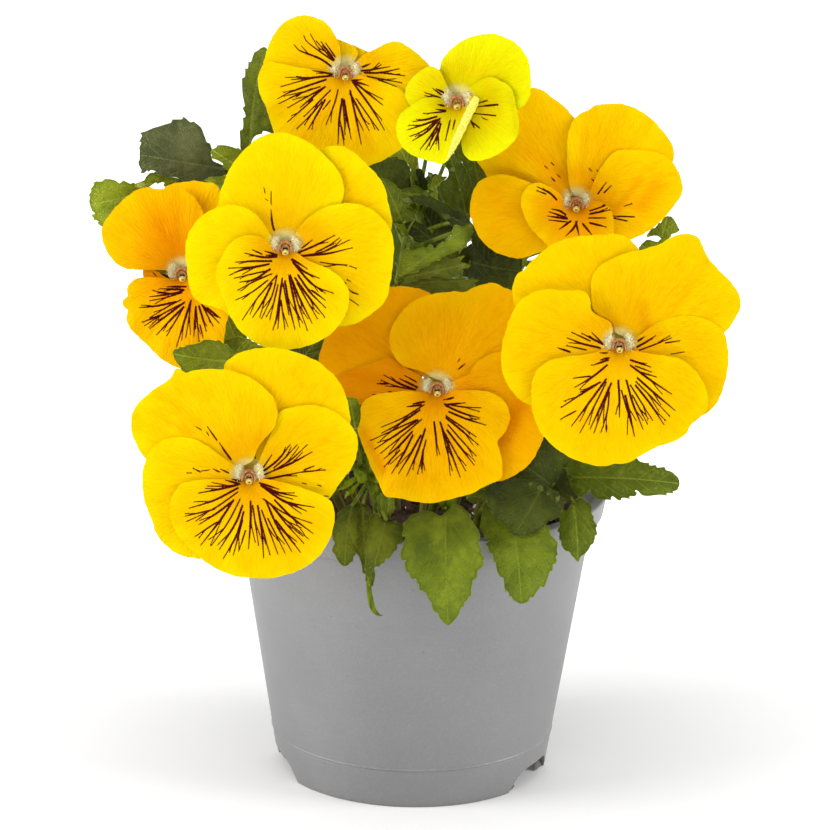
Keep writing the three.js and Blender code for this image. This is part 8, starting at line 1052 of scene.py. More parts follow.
def whisker_value(uv, segs):
    val = np.zeros(len(uv))
    for P, hw in segs:
        lo, hi = P.min(0) - 0.8, P.max(0) + 0.8
        m = np.where((uv[:, 0] > lo[0]) & (uv[:, 0] < hi[0]) & (uv[:, 1] > lo[1]) & (uv[:, 1] < hi[1]))[0]
        if not len(m):
            continue
        q = uv[m]
        d, i, t = seg_dist(q, P[:-1], P[1:])
        h = hw[i] * (1 - t) + hw[i + 1] * t
        x = np.where(d < h, 1 - 0.5 * d / h, 0.5 * (1 - (d - h) / 0.20))
        val[m] = np.maximum(val[m], np.clip(x, 0, 1))
    return val


def build_petal(name, petal, layer, count, data, mat, seed):
    rng = np.random.default_rng(seed * 101 + layer)
    edge = closed_curve(data["edge"], 0.8)
    for _ in range(3):
        edge = 0.25 * np.roll(edge, 1, 0) + 0.5 * edge + 0.25 * np.roll(edge, -1, 0)
    # small irregularities of the margin
    n = len(edge)
    s = np.arange(n) / n * 2 * math.pi
    amp = 0.055 * (np.sin(s * 23 + rng.uniform(0, 6)) + 0.7 * np.sin(s * 37 + rng.uniform(0, 6)) + 0.5 * np.sin(s * 61 + rng.uniform(0, 6)))
    T = np.roll(edge, -1, 0) - np.roll(edge, 1, 0)
    T /= np.maximum(np.linalg.norm(T, axis=1)[:, None], 1e-9)
    out = edge + np.stack([T[:, 1], -T[:, 0]], 1) * (0.17 + amp * smooth(np.hypot(edge[:, 0], edge[:, 1]), 8, 14))[:, None]
    edge = out
    pts, segs = whisker_points(forked(data["lines"], rng))
    if len(pts):
        pts = thin(pts, 0.125)
    relief = petal_relief(name, petal, layer, count, edge, seed)
    centre = edge.mean(0)
    axis = math.atan2(centre[1], centre[0])
    tone = PETAL_PAINTED_LIGHT.get((name, petal), 0.0)
    gain = BLOOM_GAIN[name]
    creases = CREASES.get((name, petal), [])

    def fields(uv, side, d):
        r = np.hypot(uv[:, 0], uv[:, 1])
        c = uv / np.maximum(r, 1e-6)[:, None]
        rim = np.exp(-(d / 5.0) ** 1.2) * smooth(r, 7, 16)
        up = uv[:, 1] > -0.6
        if petal == "lip":
            tint = -0.6 * np.exp(-((uv[:, 0] / 2.6) ** 2 + ((uv[:, 1] + 1.6) / 1.5) ** 2))
            tint = tint - 0.10 * np.exp(-(r / 7.0) ** 2)
        else:
            tint = 0.62 * np.exp(-(r / 5.4) ** 2) * up
            tint = tint - 0.16 * np.exp(-((r - 10.0) / 5.0) ** 2)
        crease_shade = np.zeros(len(uv))
        for amount, width, A, B in creases:
            dd, _, _ = seg_dist(uv, np.array([A], float), np.array([B], float))
            crease_shade = np.maximum(crease_shade, min(1.0, abs(amount) * 1.6) * np.exp(-(dd / (width * 1.1)) ** 2))
        w = whisker_value(uv, segs) * side if segs else np.zeros(len(uv))
        return dict(gain=np.tile(gain, (len(uv), 1)), polar=np.c_[c, r / 130.0], radius=r, rimness=rim, tone=np.full(len(uv), tone),
                    whisker=w, tint=tint, front=side, crease=crease_shade)

    me = blade_mesh("petal_" + name + "_" + petal, edge, pts, 1.05, relief, 0.13,
                    (BLOOMS[name]["at"], BLOOMS[name]["frame"]), rng, fields)
    return place(me, "petal_" + name + "_" + petal, mat, "petal_yellow", name + "_" + petal)


ROLLS = {
 "bloom2": [(5.9, 1.16), (4.28, -2.06), (2.36, -5.86), (0.44, -9.97), (-1.48, -14.07), (-3.1, -17.3)],
}

petal_mats = {n: petal_material("petal_yellow_" + n, *Y[n]) for n in BLOOMS}
stalk_mat = stem_material("green_stalk_soft", lin(112, 130, 26), lin(146, 160, 52), lin(84, 100, 14))
calyx_mat = stem_material("green_stalk_calyx", lin(98, 122, 38), lin(136, 154, 66), lin(70, 92, 24))
stigma_mat = throat_material("petal_yellow_stigma", lin(214, 200, 90), lin(232, 224, 132), 0.42, 0.12)
beard_mat = throat_material("petal_yellow_beard", lin(214, 202, 150), lin(232, 223, 186), 0.62, 0.03)
arc_mat = throat_material("petal_yellow_arch", lin(186, 128, 66), lin(146, 84, 34), 0.5)
roll_mat = throat_material("petal_yellow_roll", lin(204, 196, 44), lin(226, 219, 92), 0.56)
cup_mat = throat_material("petal_yellow_cup", lin(206, 184, 30), lin(186, 158, 22), 0.6)

for bi, (name, B) in enumerate(BLOOMS.items()):
    count = len(B["petals"])
    for layer, (petal, data) in enumerate(B["petals"].items()):
        build_petal(name, petal, layer, count, data, petal_mats[name], bi + 3)

# ------------------------------------------------- throats, calyxes, stalks
def bloom_point(B, u, v, w):
    o, (U, V, W) = np.array(B["at"]), [np.array(x) for x in B["frame"]]
    return o + u * U + v * V + w * W


for bi, (name, B) in enumerate(BLOOMS.items()):
    rng = np.random.default_rng(700 + bi)
    U, V, W = [np.array(x) for x in B["frame"]]
    surf = bloom_surface(name, bi + 3)
    zat = lambda u, v, layer: float(surf(np.array([[u, v]], float), layer)[0])
    S = Soup()
    k = B.get("throat", 1.0)
    # stigma: a small hollow knob at the mouth of the throat
    wl = zat(0, -1.2, len(B["petals"]) - 1) + 0.65
    c = bloom_point(B, 0.1, -1.55 * k, wl)
    P, F = ball(c, (U * 1.05 * k, W * 0.85 * k, V * 0.90 * k), 18, 12)
    S.add(P, F, 0, along=0.1)
    P, F = ball(bloom_point(B, 0.1, -1.80 * k, wl + 0.66), (U * 0.46 * k, V * 0.34 * k, W * 0.32 * k), 12, 8)
    S.add(P, F, 2, along=0.3)
    # the pale cup that closes the mouth behind the petals' claws
    Pc, Fc = [], []
    NR, NS = 9, 40
    for sd, dz in ((0, 0.0), (1, -0.22)):
        for i in range(NR + 1):
            for j in range(NS):
                a = 2 * math.pi * j / NS
                r = 4.9 * k * i / NR
                u, v = r * math.cos(a), r * math.sin(a) * 1.05 + 0.3
                Pc.append(bloom_point(B, u, v, zat(u, v, 0) - 0.38 + dz + 0.05 * math.sin(11 * a) * i / NR))
    vid = lambda sd, i, j: sd * (NR + 1) * NS + i * NS + j % NS
    for i in range(NR):
        for j in range(NS):
            if i == 0:
                Fc.append((vid(0, 0, 0), vid(0, 1, j), vid(0, 1, j + 1)))
                Fc.append((vid(1, 0, 0), vid(1, 1, j + 1), vid(1, 1, j)))
            else:
                Fc.append((vid(0, i, j), vid(0, i + 1, j), vid(0, i + 1, j + 1), vid(0, i, j + 1)))
                Fc.append((vid(1, i, j), vid(1, i, j + 1), vid(1, i + 1, j + 1), vid(1, i + 1, j)))
    for j in range(NS):
        Fc.append((vid(0, NR, j), vid(1, NR, j), vid(1, NR, j + 1), vid(0, NR, j + 1)))
    used = sorted(set(x for f in Fc for x in f))
    renum = {x: y for y, x in enumerate(used)}
    S.add([Pc[x] for x in used], [tuple(renum[x] for x in f) for f in Fc], 3, along=0.0)
    # anther cone just behind it
    tip = bloom_point(B, 0.05, 0.2, wl - 0.5)
    P, F, T = tube(np.array([bloom_point(B, 0, 0.9, wl - 2.0), bloom_point(B, 0, 0.6, wl - 1.1), tip]), lambda t: (1.15 - 0.5 * t) * k, 12, 0.08, 5)
    S.add(P, F, 2, along=T)
    # arches of orange-brown over the knob, one inside the other
    for q, (rx, ry, rr, dw) in enumerate(((1.95, 2.50, 0.44, 1.15), (1.10, 1.55, 0.33, 0.95))):
        arc = []
        for i in range(17):
            a = math.radians(-12 + 204 * i / 16)
            arc.append(bloom_point(B, rx * k * math.cos(a) + 0.05, (-0.9 + ry * math.sin(a)) * k, wl + dw - 0.45 * math.sin(a)))
        P, F, T = tube(open_curve(arc, 34), lambda t: rr * k * (0.55 + math.sin(math.pi * t) * 0.5 + 0.18 * math.sin(23 * t + q)), 8)
        S.add(P, F, 2, along=0.0)
    # beards: a cushion of short tapered hairs on each side petal's claw
    for sx in (-1, 1):
        big = 1.0 + 0.12 * rng.uniform(-1, 1)
        cu, cv, hu, hv = sx * 2.95 * k, 0.75 * k, 1.25 * k * big, 2.25 * k * big
        Pb, Fb = [], []
        nr, na = 7, 26
        for sd in (0, 1):
            for i in range(nr + 1):
                for j in range(na):
                    a = 2 * math.pi * j / na
                    r = i / nr
                    u, v = cu + hu * r * math.cos(a) - sx * 0.25 * (r * math.sin(a)) ** 2, cv + hv * r * math.sin(a)
                    h = 0.85 * (1 - r * r) * (1 - 2 * sd) if sd == 0 else -0.15
                    Pb.append(bloom_point(B, u, v, zat(u, v, 3) + h + 0.06 * math.sin(9 * a + 4 * r) * r))
        ci = lambda sd, i, j: sd * (nr + 1) * na + i * na + j % na
        for i in range(nr):
            for j in range(na):
                if i == 0:
                    Fb.append((ci(0, 0, 0), ci(0, 1, j), ci(0, 1, j + 1)))
                    Fb.append((ci(1, 0, 0), ci(1, 1, j + 1), ci(1, 1, j)))
                else:
                    Fb.append((ci(0, i, j), ci(0, i + 1, j), ci(0, i + 1, j + 1), ci(0, i, j + 1)))
                    Fb.append((ci(1, i, j), ci(1, i, j + 1), ci(1, i + 1, j + 1), ci(1, i + 1, j)))
        for j in range(na):
            Fb.append((ci(0, nr, j), ci(1, nr, j), ci(1, nr, j + 1), ci(0, nr, j + 1)))
        used = sorted(set(x for f in Fb for x in f))
        renum = {x: y for y, x in enumerate(used)}
        S.add([Pb[x] for x in used], [tuple(renum[x] for x in f) for f in Fb], 1, along=0.4)
        for j in range(150):
            a, r = rng.uniform(0, 2 * math.pi), math.sqrt(rng.random())
            u = cu + hu * 1.05 * r * math.cos(a) - sx * 0.25 * (r * math.sin(a)) ** 2
            v = cv + hv * 1.05 * r * math.sin(a)
            w0 = zat(u, v, 3) + 0.85 * (1 - r * r) - 0.08
            root = bloom_point(B, u, v, w0)
            aim = U * (math.cos(a) * r * 0.9 - sx * 0.35) + V * (math.sin(a) * r * 0.8 - 0.1) + W * rng.uniform(0.5, 0.9)
            aim /= np.linalg.norm(aim)
            L = rng.uniform(0.45, 1.0) * k
            P, F, T = tube(np.array([root, root + aim * L * 0.5 + W * 0.05 * L, root + aim * L]), lambda t: 0.13 * k * (1.0 - 0.70 * t), 5)
            S.add(P, F, 1, along=T)
    me = S.mesh("throat_" + name)
    place(me, "throat_" + name, [stigma_mat, beard_mat, arc_mat, cup_mat], "petal_yellow")

    # a margin of the lip rolled in on itself
    if name in ROLLS:
        S = Soup()
        top = len(B["petals"]) - 1
        line = open_curve([bloom_point(B, u, v, zat(u, v, top) + 0.95) for u, v in ROLLS[name]], 60)
        girth = lambda t: 1.34 * (0.62 + 0.38 * float(smooth(t, 0.0, 0.12))) * (1 - 0.20 * t) * (1 - 0.74 * float(smooth(t, 0.66, 1.0))) * (1 + 0.05 * math.sin(41 * t) + 0.04 * math.sin(67 * t))
        P, F, T = tube(line, girth, 16, 0.07, 3)
        S.add(P, F, 0, along=0.3)
        me = S.mesh("roll_" + name)
        place(me, "roll_" + name, roll_mat, "petal_yellow")

    # calyx, spur, sepals and the hooked stalk
    S = Soup()
    path = open_curve(STALKS[name], 70)
    P, F, T = tube(path, lambda t: 0.98 - 0.12 * t + 0.35 * max(0, (t - 0.94) / 0.06), 12, 0.07, 4)
    S.add(P, F, 0, along=T)
    P, F = ball(bloom_point(B, 0, 0, -3.0), (U * 1.9, V * 1.75, W * 1.6), 16, 10)
    S.add(P, F, 1, along=0.6)
    sp = open_curve([bloom_point(B, 0, -0.8, -2.6), bloom_point(B, 0.1, -1.9, -4.6), bloom_point(B, 0, -2.9, -6.6)], 12)
    P, F, T = tube(sp, lambda t: 1.0 - 0.12 * t + 0.1 * math.sin(math.pi * t), 12, 0.05, 2)
    S.add(P, F, 1, along=0.5)
    for i in range(5):
        a = math.pi * (0.5 + 2 * (2 * i) / 10) + 0.3
        e = U * math.cos(a) + V * math.sin(a)
        f = -U * math.sin(a) + V * math.cos(a)
        ou = lambda r: bloom_point(B, r * math.cos(a), r * math.sin(a), 0)
        Pp, Ff = [], []
        rows, cols = 16, 7
        for side in (1, -1):
            for i2 in range(rows + 1):
                s = i2 / rows
                r = 0.9 + 10.6 * s
                half = 1.75 * (math.sin(math.pi * min(1.0, s * 0.92 + 0.10)) ** 0.8) * (1 - 0.15 * s) + 0.02
                if i2 == rows:
                    half = 0.05
                p0 = ou(r)
                uu, vv = r * math.cos(a), r * math.sin(a)
                base = B["lean"][0] * uu + B["lean"][1] * vv
                z = -3.0 + 2.0 * float(smooth(r, 1.0, 5.0)) + base * float(smooth(r, 1.5, 6.0)) - 0.5 * float(smooth(r, 17, 34))
                z -= 0.15 + 0.55 * float(np.exp(-((r - 8) / 3.0) ** 2)) * 0.4 + 0.75 * s * s
                for j in range(cols):
                    q = (j / (cols - 1) - 0.5) * 2
                    Pp.append(p0 + f * q * half + W * (z - 0.35 * q * q * half + side * 0.14 * (1 - 0.6 * abs(q))))
        def vid(sd, i2, j):
            return sd * (rows + 1) * cols + i2 * cols + j
        for i2 in range(rows):
            for j in range(cols - 1):
                Ff.append((vid(0, i2, j), vid(0, i2, j + 1), vid(0, i2 + 1, j + 1), vid(0, i2 + 1, j)))
                Ff.append((vid(1, i2, j), vid(1, i2 + 1, j), vid(1, i2 + 1, j + 1), vid(1, i2, j + 1)))
            Ff.append((vid(0, i2, 0), vid(0, i2 + 1, 0), vid(1, i2 + 1, 0), vid(1, i2, 0)))
            Ff.append((vid(0, i2, cols - 1), vid(1, i2, cols - 1), vid(1, i2 + 1, cols - 1), vid(0, i2 + 1, cols - 1)))
        for j in range(cols - 1):
            Ff.append((vid(0, 0, j), vid(1, 0, j), vid(1, 0, j + 1), vid(0, 0, j + 1)))
            Ff.append((vid(0, rows, j), vid(0, rows, j + 1), vid(1, rows, j + 1), vid(1, rows, j)))
        S.add(Pp, Ff, 1, along=0.8)
    # the two small bracts on the stalk
    for side in (-1, 1):
        i = int(70 * 0.80)
        p = path[i]
        t = path[i + 1] - path[i - 1]
        t /= np.linalg.norm(t)
        s = np.cross(t, W)
        s /= max(np.linalg.norm(s), 1e-6)
        q = open_curve([p + s * side * 0.6, p + s * side * 1.5 + t * 1.5, p + s * side * 1.7 + t * 3.6], 8)
        P, F, T = tube(q, lambda t: 0.42 * (1 - t) ** 0.7 + 0.05, 8)
        S.add(P, F, 0, along=0.8)
    me = S.mesh("stalk_" + name)
    place(me, "stalk_" + name, [stalk_mat, calyx_mat], "green_stalk", name + "_stalk")

# -------------------------------------------------------------------- leaves
def veins_for(edge, tip, seed, pairs=5):
    """Midrib and side veins inside an outline, base at the origin."""
    rng = np.random.default_rng(seed)
    tip = np.array(tip, float)
    L = np.linalg.norm(tip)
    t = tip / L
    n = np.array([-t[1], t[0]])
    bend = rng.uniform(-0.03, 0.03) * L
    mid = np.array([t * L * s + n * bend * 4 * s * (1 - s) for s in np.linspace(0.0, 0.985, 24)])
    side = []
    for i in range(pairs):
        s = 0.06 + 0.72 * (i + rng.uniform(-0.12, 0.12)) / max(1, pairs - 1) * 0.98
        s = max(0.03, s)
        for sg in (1, -1):
            st = np.array([np.interp(s + 0.015 * sg, np.linspace(0, 0.985, 24), mid[:, k]) for k in (0, 1)])
            ang = sg * math.radians(rng.uniform(40, 50) - 14 * s)
            P = [st]
            p, a = st.copy(), ang
            for _ in range(80):
                d = t * math.cos(a) + n * math.sin(a)
                p = p + d * 0.6
                a *= 0.972
                if not inside(edge, p[None])[0]:
                    break
                P.append(p.copy())
            if len(P) > 4:
                P = P[:-1]
                side.append(np.array(P))
                # a forked twig two thirds along
                if len(P) > 12:
                    q = P[int(len(P) * 0.55)].copy()
                    tw = [q.copy()]
                    a2 = a * 0.6 + sg * 0.75
                    for _ in range(9):
                        q = q + (t * math.cos(a2) + n * math.sin(a2)) * 0.6
                        if not inside(edge, q[None])[0]:
                            break
                        tw.append(q.copy())
                    if len(tw) > 4:
                        side.append(np.array(tw[:-1]))
    return mid, side


def vein_rows(lines, offs, step):
    pts = []
    for P in lines:
        Q, _ = walk(P, step)
        T = np.gradient(Q, axis=0)
        T /= np.maximum(np.linalg.norm(T, axis=1)[:, None], 1e-9)
        N = np.stack([-T[:, 1], T[:, 0]], 1)
        for o in offs:
            pts.append(Q + N * o)
    return np.vstack(pts) if pts else np.zeros((0, 2))


def toothed(edge, tip, rng, size):
    """Small forward-pointing teeth along both margins, from the base toward the tip."""
    tip = np.array(tip, float)
    n = len(edge)
    ib = int(np.argmin(np.hypot(edge[:, 0], edge[:, 1])))
    it = int(np.argmin(np.hypot(edge[:, 0] - tip[0], edge[:, 1] - tip[1])))
    step = np.linalg.norm(np.roll(edge, -1, 0) - edge, axis=1)
    off = np.zeros(n)
    fwd = np.zeros(n)
    for sg in (1, -1):
        i, s, acc = ib, 0.0, []
        while i != it:
            acc.append((i, s))
            k = i if sg == 1 else (i - 1) % n
            s += step[k]
            i = (i + sg) % n
        total = max(s, 1e-6)
        period = size * rng.uniform(0.9, 1.1)
        ph = rng.uniform(0, 1)
        for i, s in acc:
            f = s / total
            q = (s / period * (1 + 0.10 * math.sin(s * 0.4 + ph * 6)) + ph) % 1.0
            a = 0.17 * size * float(smooth(f, 0.10, 0.22)) * (1 - float(smooth(f, 0.90, 0.99)))
            off[i] = a * ((q / 0.8) ** 1.4 if q < 0.8 else (1 - q) / 0.2) - 0.35 * a
            fwd[i] = sg * a * 0.5 * (q if q < 0.8 else (1 - q) * 4)
    T = np.roll(edge, -1, 0) - np.roll(edge, 1, 0)
    T /= np.maximum(np.linalg.norm(T, axis=1)[:, None], 1e-9)
    N = np.stack([T[:, 1], -T[:, 0]], 1)
    return edge + N * off[:, None] + T * fwd[:, None]


def build_leaf(name, shoot, at, frame3, tip, outline, shape, tone, petiole, seed, mat, thick=0.16, step=1.15):
    rng = np.random.default_rng(seed)
    edge = closed_curve(outline, 0.42)
    edge = toothed(edge, tip, rng, 5.0 if math.hypot(*tip) > 24 else 3.5)
    mid, side = veins_for(edge, tip, seed + 1)
    pts = np.vstack([vein_rows([mid], (0, 0.42, -0.42), 0.8), vein_rows(side, (0, 0.34, -0.34), 0.8)])
    pts = thin(pts, 0.22)
    A = np.vstack([mid[:-1]] + [s[:-1] for s in side])
    Bv = np.vstack([mid[1:]] + [s[1:] for s in side])
    wob = noise2(seed + 9, 5, 0.25, 0.6)

    def relief(P):
        d, _, _ = seg_dist(P, A, Bv)
        dm, _, _ = seg_dist(P, mid[:-1], mid[1:])
        e, _, _ = seg_dist(P, edge, np.roll(edge, -1, 0))
        w = shape(P)
        w = w + 0.80 * (1 - np.exp(-(d / 1.8) ** 2)) - 0.40 * np.exp(-(dm / 0.9) ** 2) - 0.38
        return w + 0.34 * wob(P[:, 0], P[:, 1]) + 0.18 * np.exp(-(e / 1.2) ** 2) * wob(P[:, 1] * 2, P[:, 0] * 2)

    def fields(uv, side_, d):
        dv, _, _ = seg_dist(uv, A, Bv)
        dm, _, _ = seg_dist(uv, mid[:-1], mid[1:])
        L = np.linalg.norm(tip)
        s = (uv @ (np.array(tip) / L)) / L
        return dict(vein=np.clip(1 - dv / 0.42, 0, 1), midrib=np.clip(1 - dm / (0.75 - 0.45 * np.clip(s, 0, 1)), 0, 1),
                    gain=np.tile(leaf_light_gain(name), (len(uv), 1)), tone=np.full(len(uv), tone), under=1 - side_, rimness=np.exp(-(d / 0.7) ** 1.5))

    me = blade_mesh("leaf_" + name, edge, pts, step, relief, thick, (at, frame3), rng, fields)
    return place(me, "leaf_" + name, mat, "leaf_green", "shoot_" + shoot)


leaf_mats = {
    "olive": leaf_material("leaf_green_olive", lin(104, 122, 14), lin(80, 96, 4), lin(140, 156, 30), lin(150, 164, 60)),
    # deep is a darker copy of the olive green: painted shade on leaves in shadow, and a darker tone on every third leaf
    # round the back
    "dark_and_shaded": leaf_material("leaf_green_dark_and_painted_shade", lin(72, 88, 10), lin(50, 64, 3), lin(106, 124, 24), lin(112, 128, 44)),
    # grey: a grey-green that stands in for the gloss on the top leaf, a painted sheen
    "grey": leaf_material("leaf_green_grey_painted_sheen", lin(104, 114, 86), lin(76, 88, 58), lin(138, 148, 112), lin(146, 156, 122)),
}
stem_mat = stem_material("leaf_green_stem", lin(98, 114, 22), lin(140, 152, 48), lin(70, 82, 10))


# Painted light and shade on a leaf: leaves in shadow take the darker copy of the green, and the tone makes them lighter
# or darker still
def painted_light_mat(tone, name):
    if name in ("grey",):
        return leaf_mats["grey"], 0.0
    if tone < 0.22:
        return leaf_mats["dark_and_shaded"], (tone - 0.14) * 3.0
    return leaf_mats["olive"], (tone - 0.42) * 1.9


for i, (name, (shoot, at, fr, tip, rise, bow, fold, tone, outline, petiole)) in enumerate(LEAVES.items()):
    L = math.hypot(*tip)
    tx, ty = tip[0] / L, tip[1] / L

    def shape(P, L=L, tx=tx, ty=ty, rise=rise, bow=bow, fold=fold):
        s = np.clip((P[:, 0] * tx + P[:, 1] * ty) / L, 0, 1.15)
        d = np.abs(-P[:, 0] * ty + P[:, 1] * tx)
        return rise * s + bow * 4 * s * (1 - s) + fold * d

    m, tn = painted_light_mat(tone, name)
    build_leaf(name, shoot, at, fr, tip, outline, shape, tn, petiole, 2000 + i * 7, m)

for i, (name, (shoot, at, fr, L, Wd, bow, petiole)) in enumerate(BACK_LEAVES.items()):
    rng = np.random.default_rng(3000 + i)
    up, dn = [], []
    form = [(0, 0.10), (0.12, 0.42), (0.3, 0.86), (0.5, 1.0), (0.7, 0.86), (0.87, 0.5), (1, 0.06)]
    N = 22
    for j in range(N + 1):
        t = j / N
        h = np.interp(t, [a for a, b in form], [b for a, b in form])
        tooth = 1 + (0.07 if j % 3 == 1 else -0.03 if j % 3 == 0 else 0.03) * (0.2 < t < 0.95)
        up.append((L * (t + 0.012 * (j % 3 == 1)), Wd / 2 * h * tooth))
        dn.append((L * (t + 0.012 * (j % 3 == 1)), -Wd / 2 * h * tooth * rng.uniform(0.96, 1.04)))
    outline = up + dn[::-1]

    def shape(P, L=L, bow=bow):
        s = np.clip(P[:, 0] / L, 0, 1)
        return -bow * s * s - 0.12 * np.abs(P[:, 1])

    build_leaf(name, shoot, at, fr, (L, 0.0), outline, shape, rng.uniform(-0.5, 0.35), petiole, 3000 + i * 11,
               leaf_mats["olive"] if i % 3 else leaf_mats["dark_and_shaded"], step=1.35)

def strap(P, side, width, thick=0.13, sides=10, fold=0.25, n=16):
    """A thin tapered blade along points; side is its width direction."""
    P = open_curve(P, n)
    T = np.gradient(P, axis=0)
    T /= np.linalg.norm(T, axis=1)[:, None]
    V, F, A = [], [], []
    for i in range(n):
        t = i / (n - 1)
        s = np.array(side, float) - (np.array(side) @ T[i]) * T[i]
        s /= max(np.linalg.norm(s), 1e-6)
        b = np.cross(T[i], s)
        w = width * max(0.06, math.sin(math.pi * min(1.0, 0.10 + 0.90 * t)) ** 0.75)
        for k in range(sides):
            th = 2 * math.pi * k / sides
            x = math.cos(th)
            V.append(P[i] + s * (w * x) + b * (thick * math.sin(th) - fold * w * abs(x)))
            A.append(t)
    for i in range(n - 1):
        for k in range(sides):
            k2 = (k + 1) % sides
            F.append((i * sides + k, i * sides + k2, (i + 1) * sides + k2, (i + 1) * sides + k))
    c0, c1 = len(V), len(V) + 1
    V += [P[0], P[-1]]
    A += [0.0, 1.0]
    for k in range(sides):
        k2 = (k + 1) % sides
        F.append((c0, k2, k))
        F.append((c1, (n - 1) * sides + k, (n - 1) * sides + k2))
    return V, F, A


stipule_mat = stem_material("leaf_green_stipule", lin(104, 120, 8), lin(142, 156, 18), lin(72, 88, 2))
for i, (name, path) in enumerate(STEMS.items()):
    rng = np.random.default_rng(4000 + i)
    S = Soup()
    P = open_curve(path, 60)
    knots = sorted(rng.uniform(0.3, 0.95, 4))
    rad = lambda t: 1.5 - 0.35 * t + 0.22 * sum(math.exp(-((t - q) / 0.015) ** 2) for q in knots)
    V, F, T = tube(P, rad, 16, 0.06, 4)
    S.add(V, F, 0, along=T)
    for name2, rec in list(LEAVES.items()) + list(BACK_LEAVES.items()):
        if rec[0] != name:
            continue
        pt = rec[-1]
        if len(pt) < 2:
            continue
        Q = open_curve(pt[:-1] if len(pt) > 2 else pt, 20)
        # run a little way into the blade
        V, F, T = tube(Q, lambda t: 0.72 - 0.20 * t, 10, 0.06, 3)
        S.add(V, F, 0, along=[0.4 + 0.6 * x for x in T])
        # a pair of leafy stipules where the leaf stalk leaves the stem
        p0, d = Q[0], Q[4] - Q[0]
        d /= max(np.linalg.norm(d), 1e-6)
        up = np.array([0.0, 0.0, 1.0])
        s = np.cross(d, up)
        s /= max(np.linalg.norm(s), 1e-6)
        if 88.0 < p0[2]:
            for sg in (-1, 1):
                ln = rng.uniform(4.0, 7.0)
                a = d * rng.uniform(0.15, 0.45) + s * sg * rng.uniform(0.5, 0.8) + up * rng.uniform(0.5, 0.9)
                a /= np.linalg.norm(a)
                V, F, T = strap([p0, p0 + a * ln * 0.5 + up * 0.3, p0 + a * ln + s * sg * 0.5 - up * 0.4], np.cross(a, d), rng.uniform(0.8, 1.3), n=9, sides=8)
                S.add(V, F, 1, along=[0.5 + 0.5 * x for x in T])
    if name == "front_left":
        tip = P[-1]
        right, up, out = np.array([1.0, 0.0, 0.0]), np.array([0.0, -0.27, 0.96]), np.array([0.0, -0.96, -0.27])
        at = lambda px, py, w: tip + right * (px - 363) * 0.29 + up * (456 - py) * 0.29 + out * w
        for pts, wd in (([(363, 470, 0), (354, 462, 3), (343, 466, 4)], 1.5), ([(363, 470, 1), (370, 458, 3), (374, 446, 3)], 1.3),
                        ([(362, 476, 1), (350, 478, 4), (338, 488, 5)], 1.7), ([(366, 478, 1), (378, 476, 4), (384, 466, 4)], 1.2),
                        ([(364, 482, 1), (358, 470, 4), (356, 455, 4)], 1.1), ([(366, 486, 1), (374, 488, 4), (381, 498, 4)], 1.6),
                        ([(361, 484, 1), (352, 490, 3), (345, 502, 3)], 1.5), ([(364, 476, 2), (360, 466, 5), (352, 456, 6)], 1.0)):
            V, F, T = strap([at(*q) for q in pts], right * 0.5 + up, wd, n=14, fold=0.35)
            S.add(V, F, 1, along=[0.45 + 0.5 * x for x in T])
        V, F = ball(at(362, 474, 3.4), (right * 1.7, out * 1.6, up * 2.3), 16, 12)
        S.add(V, F, 1, along=0.5)
        V, F, T = tube(open_curve([at(366, 490, 1), at(378, 492, 3), at(392, 486, 4), at(398, 480, 3)], 16), lambda t: 0.62 - 0.1 * t, 10, 0.05, 3)
        S.add(V, F, 0, along=[0.2 + 0.5 * x for x in T])
        # the withered tail hanging from the narrow leaf
        rec = LEAVES["under_b"]
        o, fr = np.array(rec[1]), [np.array(x) for x in rec[2]]
        lp = lambda u, v, w: o + u * fr[0] + v * fr[1] + w * fr[2]
        V, F, T = strap([lp(1.5, -21.5, 10.2), lp(1.8, -24.6, 11.6), lp(2.2, -28.0, 11.9), lp(3.0, -31.0, 11.6), lp(4.4, -32.6, 11.9), lp(6.0, -33.1, 12.4)],
                        fr[0], 0.85, thick=0.11, n=26, fold=0.5)
        S.add(V, F, 1, along=[0.3 + 0.3 * x for x in T])
    me = S.mesh("stem_" + name)
    place(me, "stem_" + name, [stem_mat, stipule_mat], "leaf_green", "shoot_" + name)

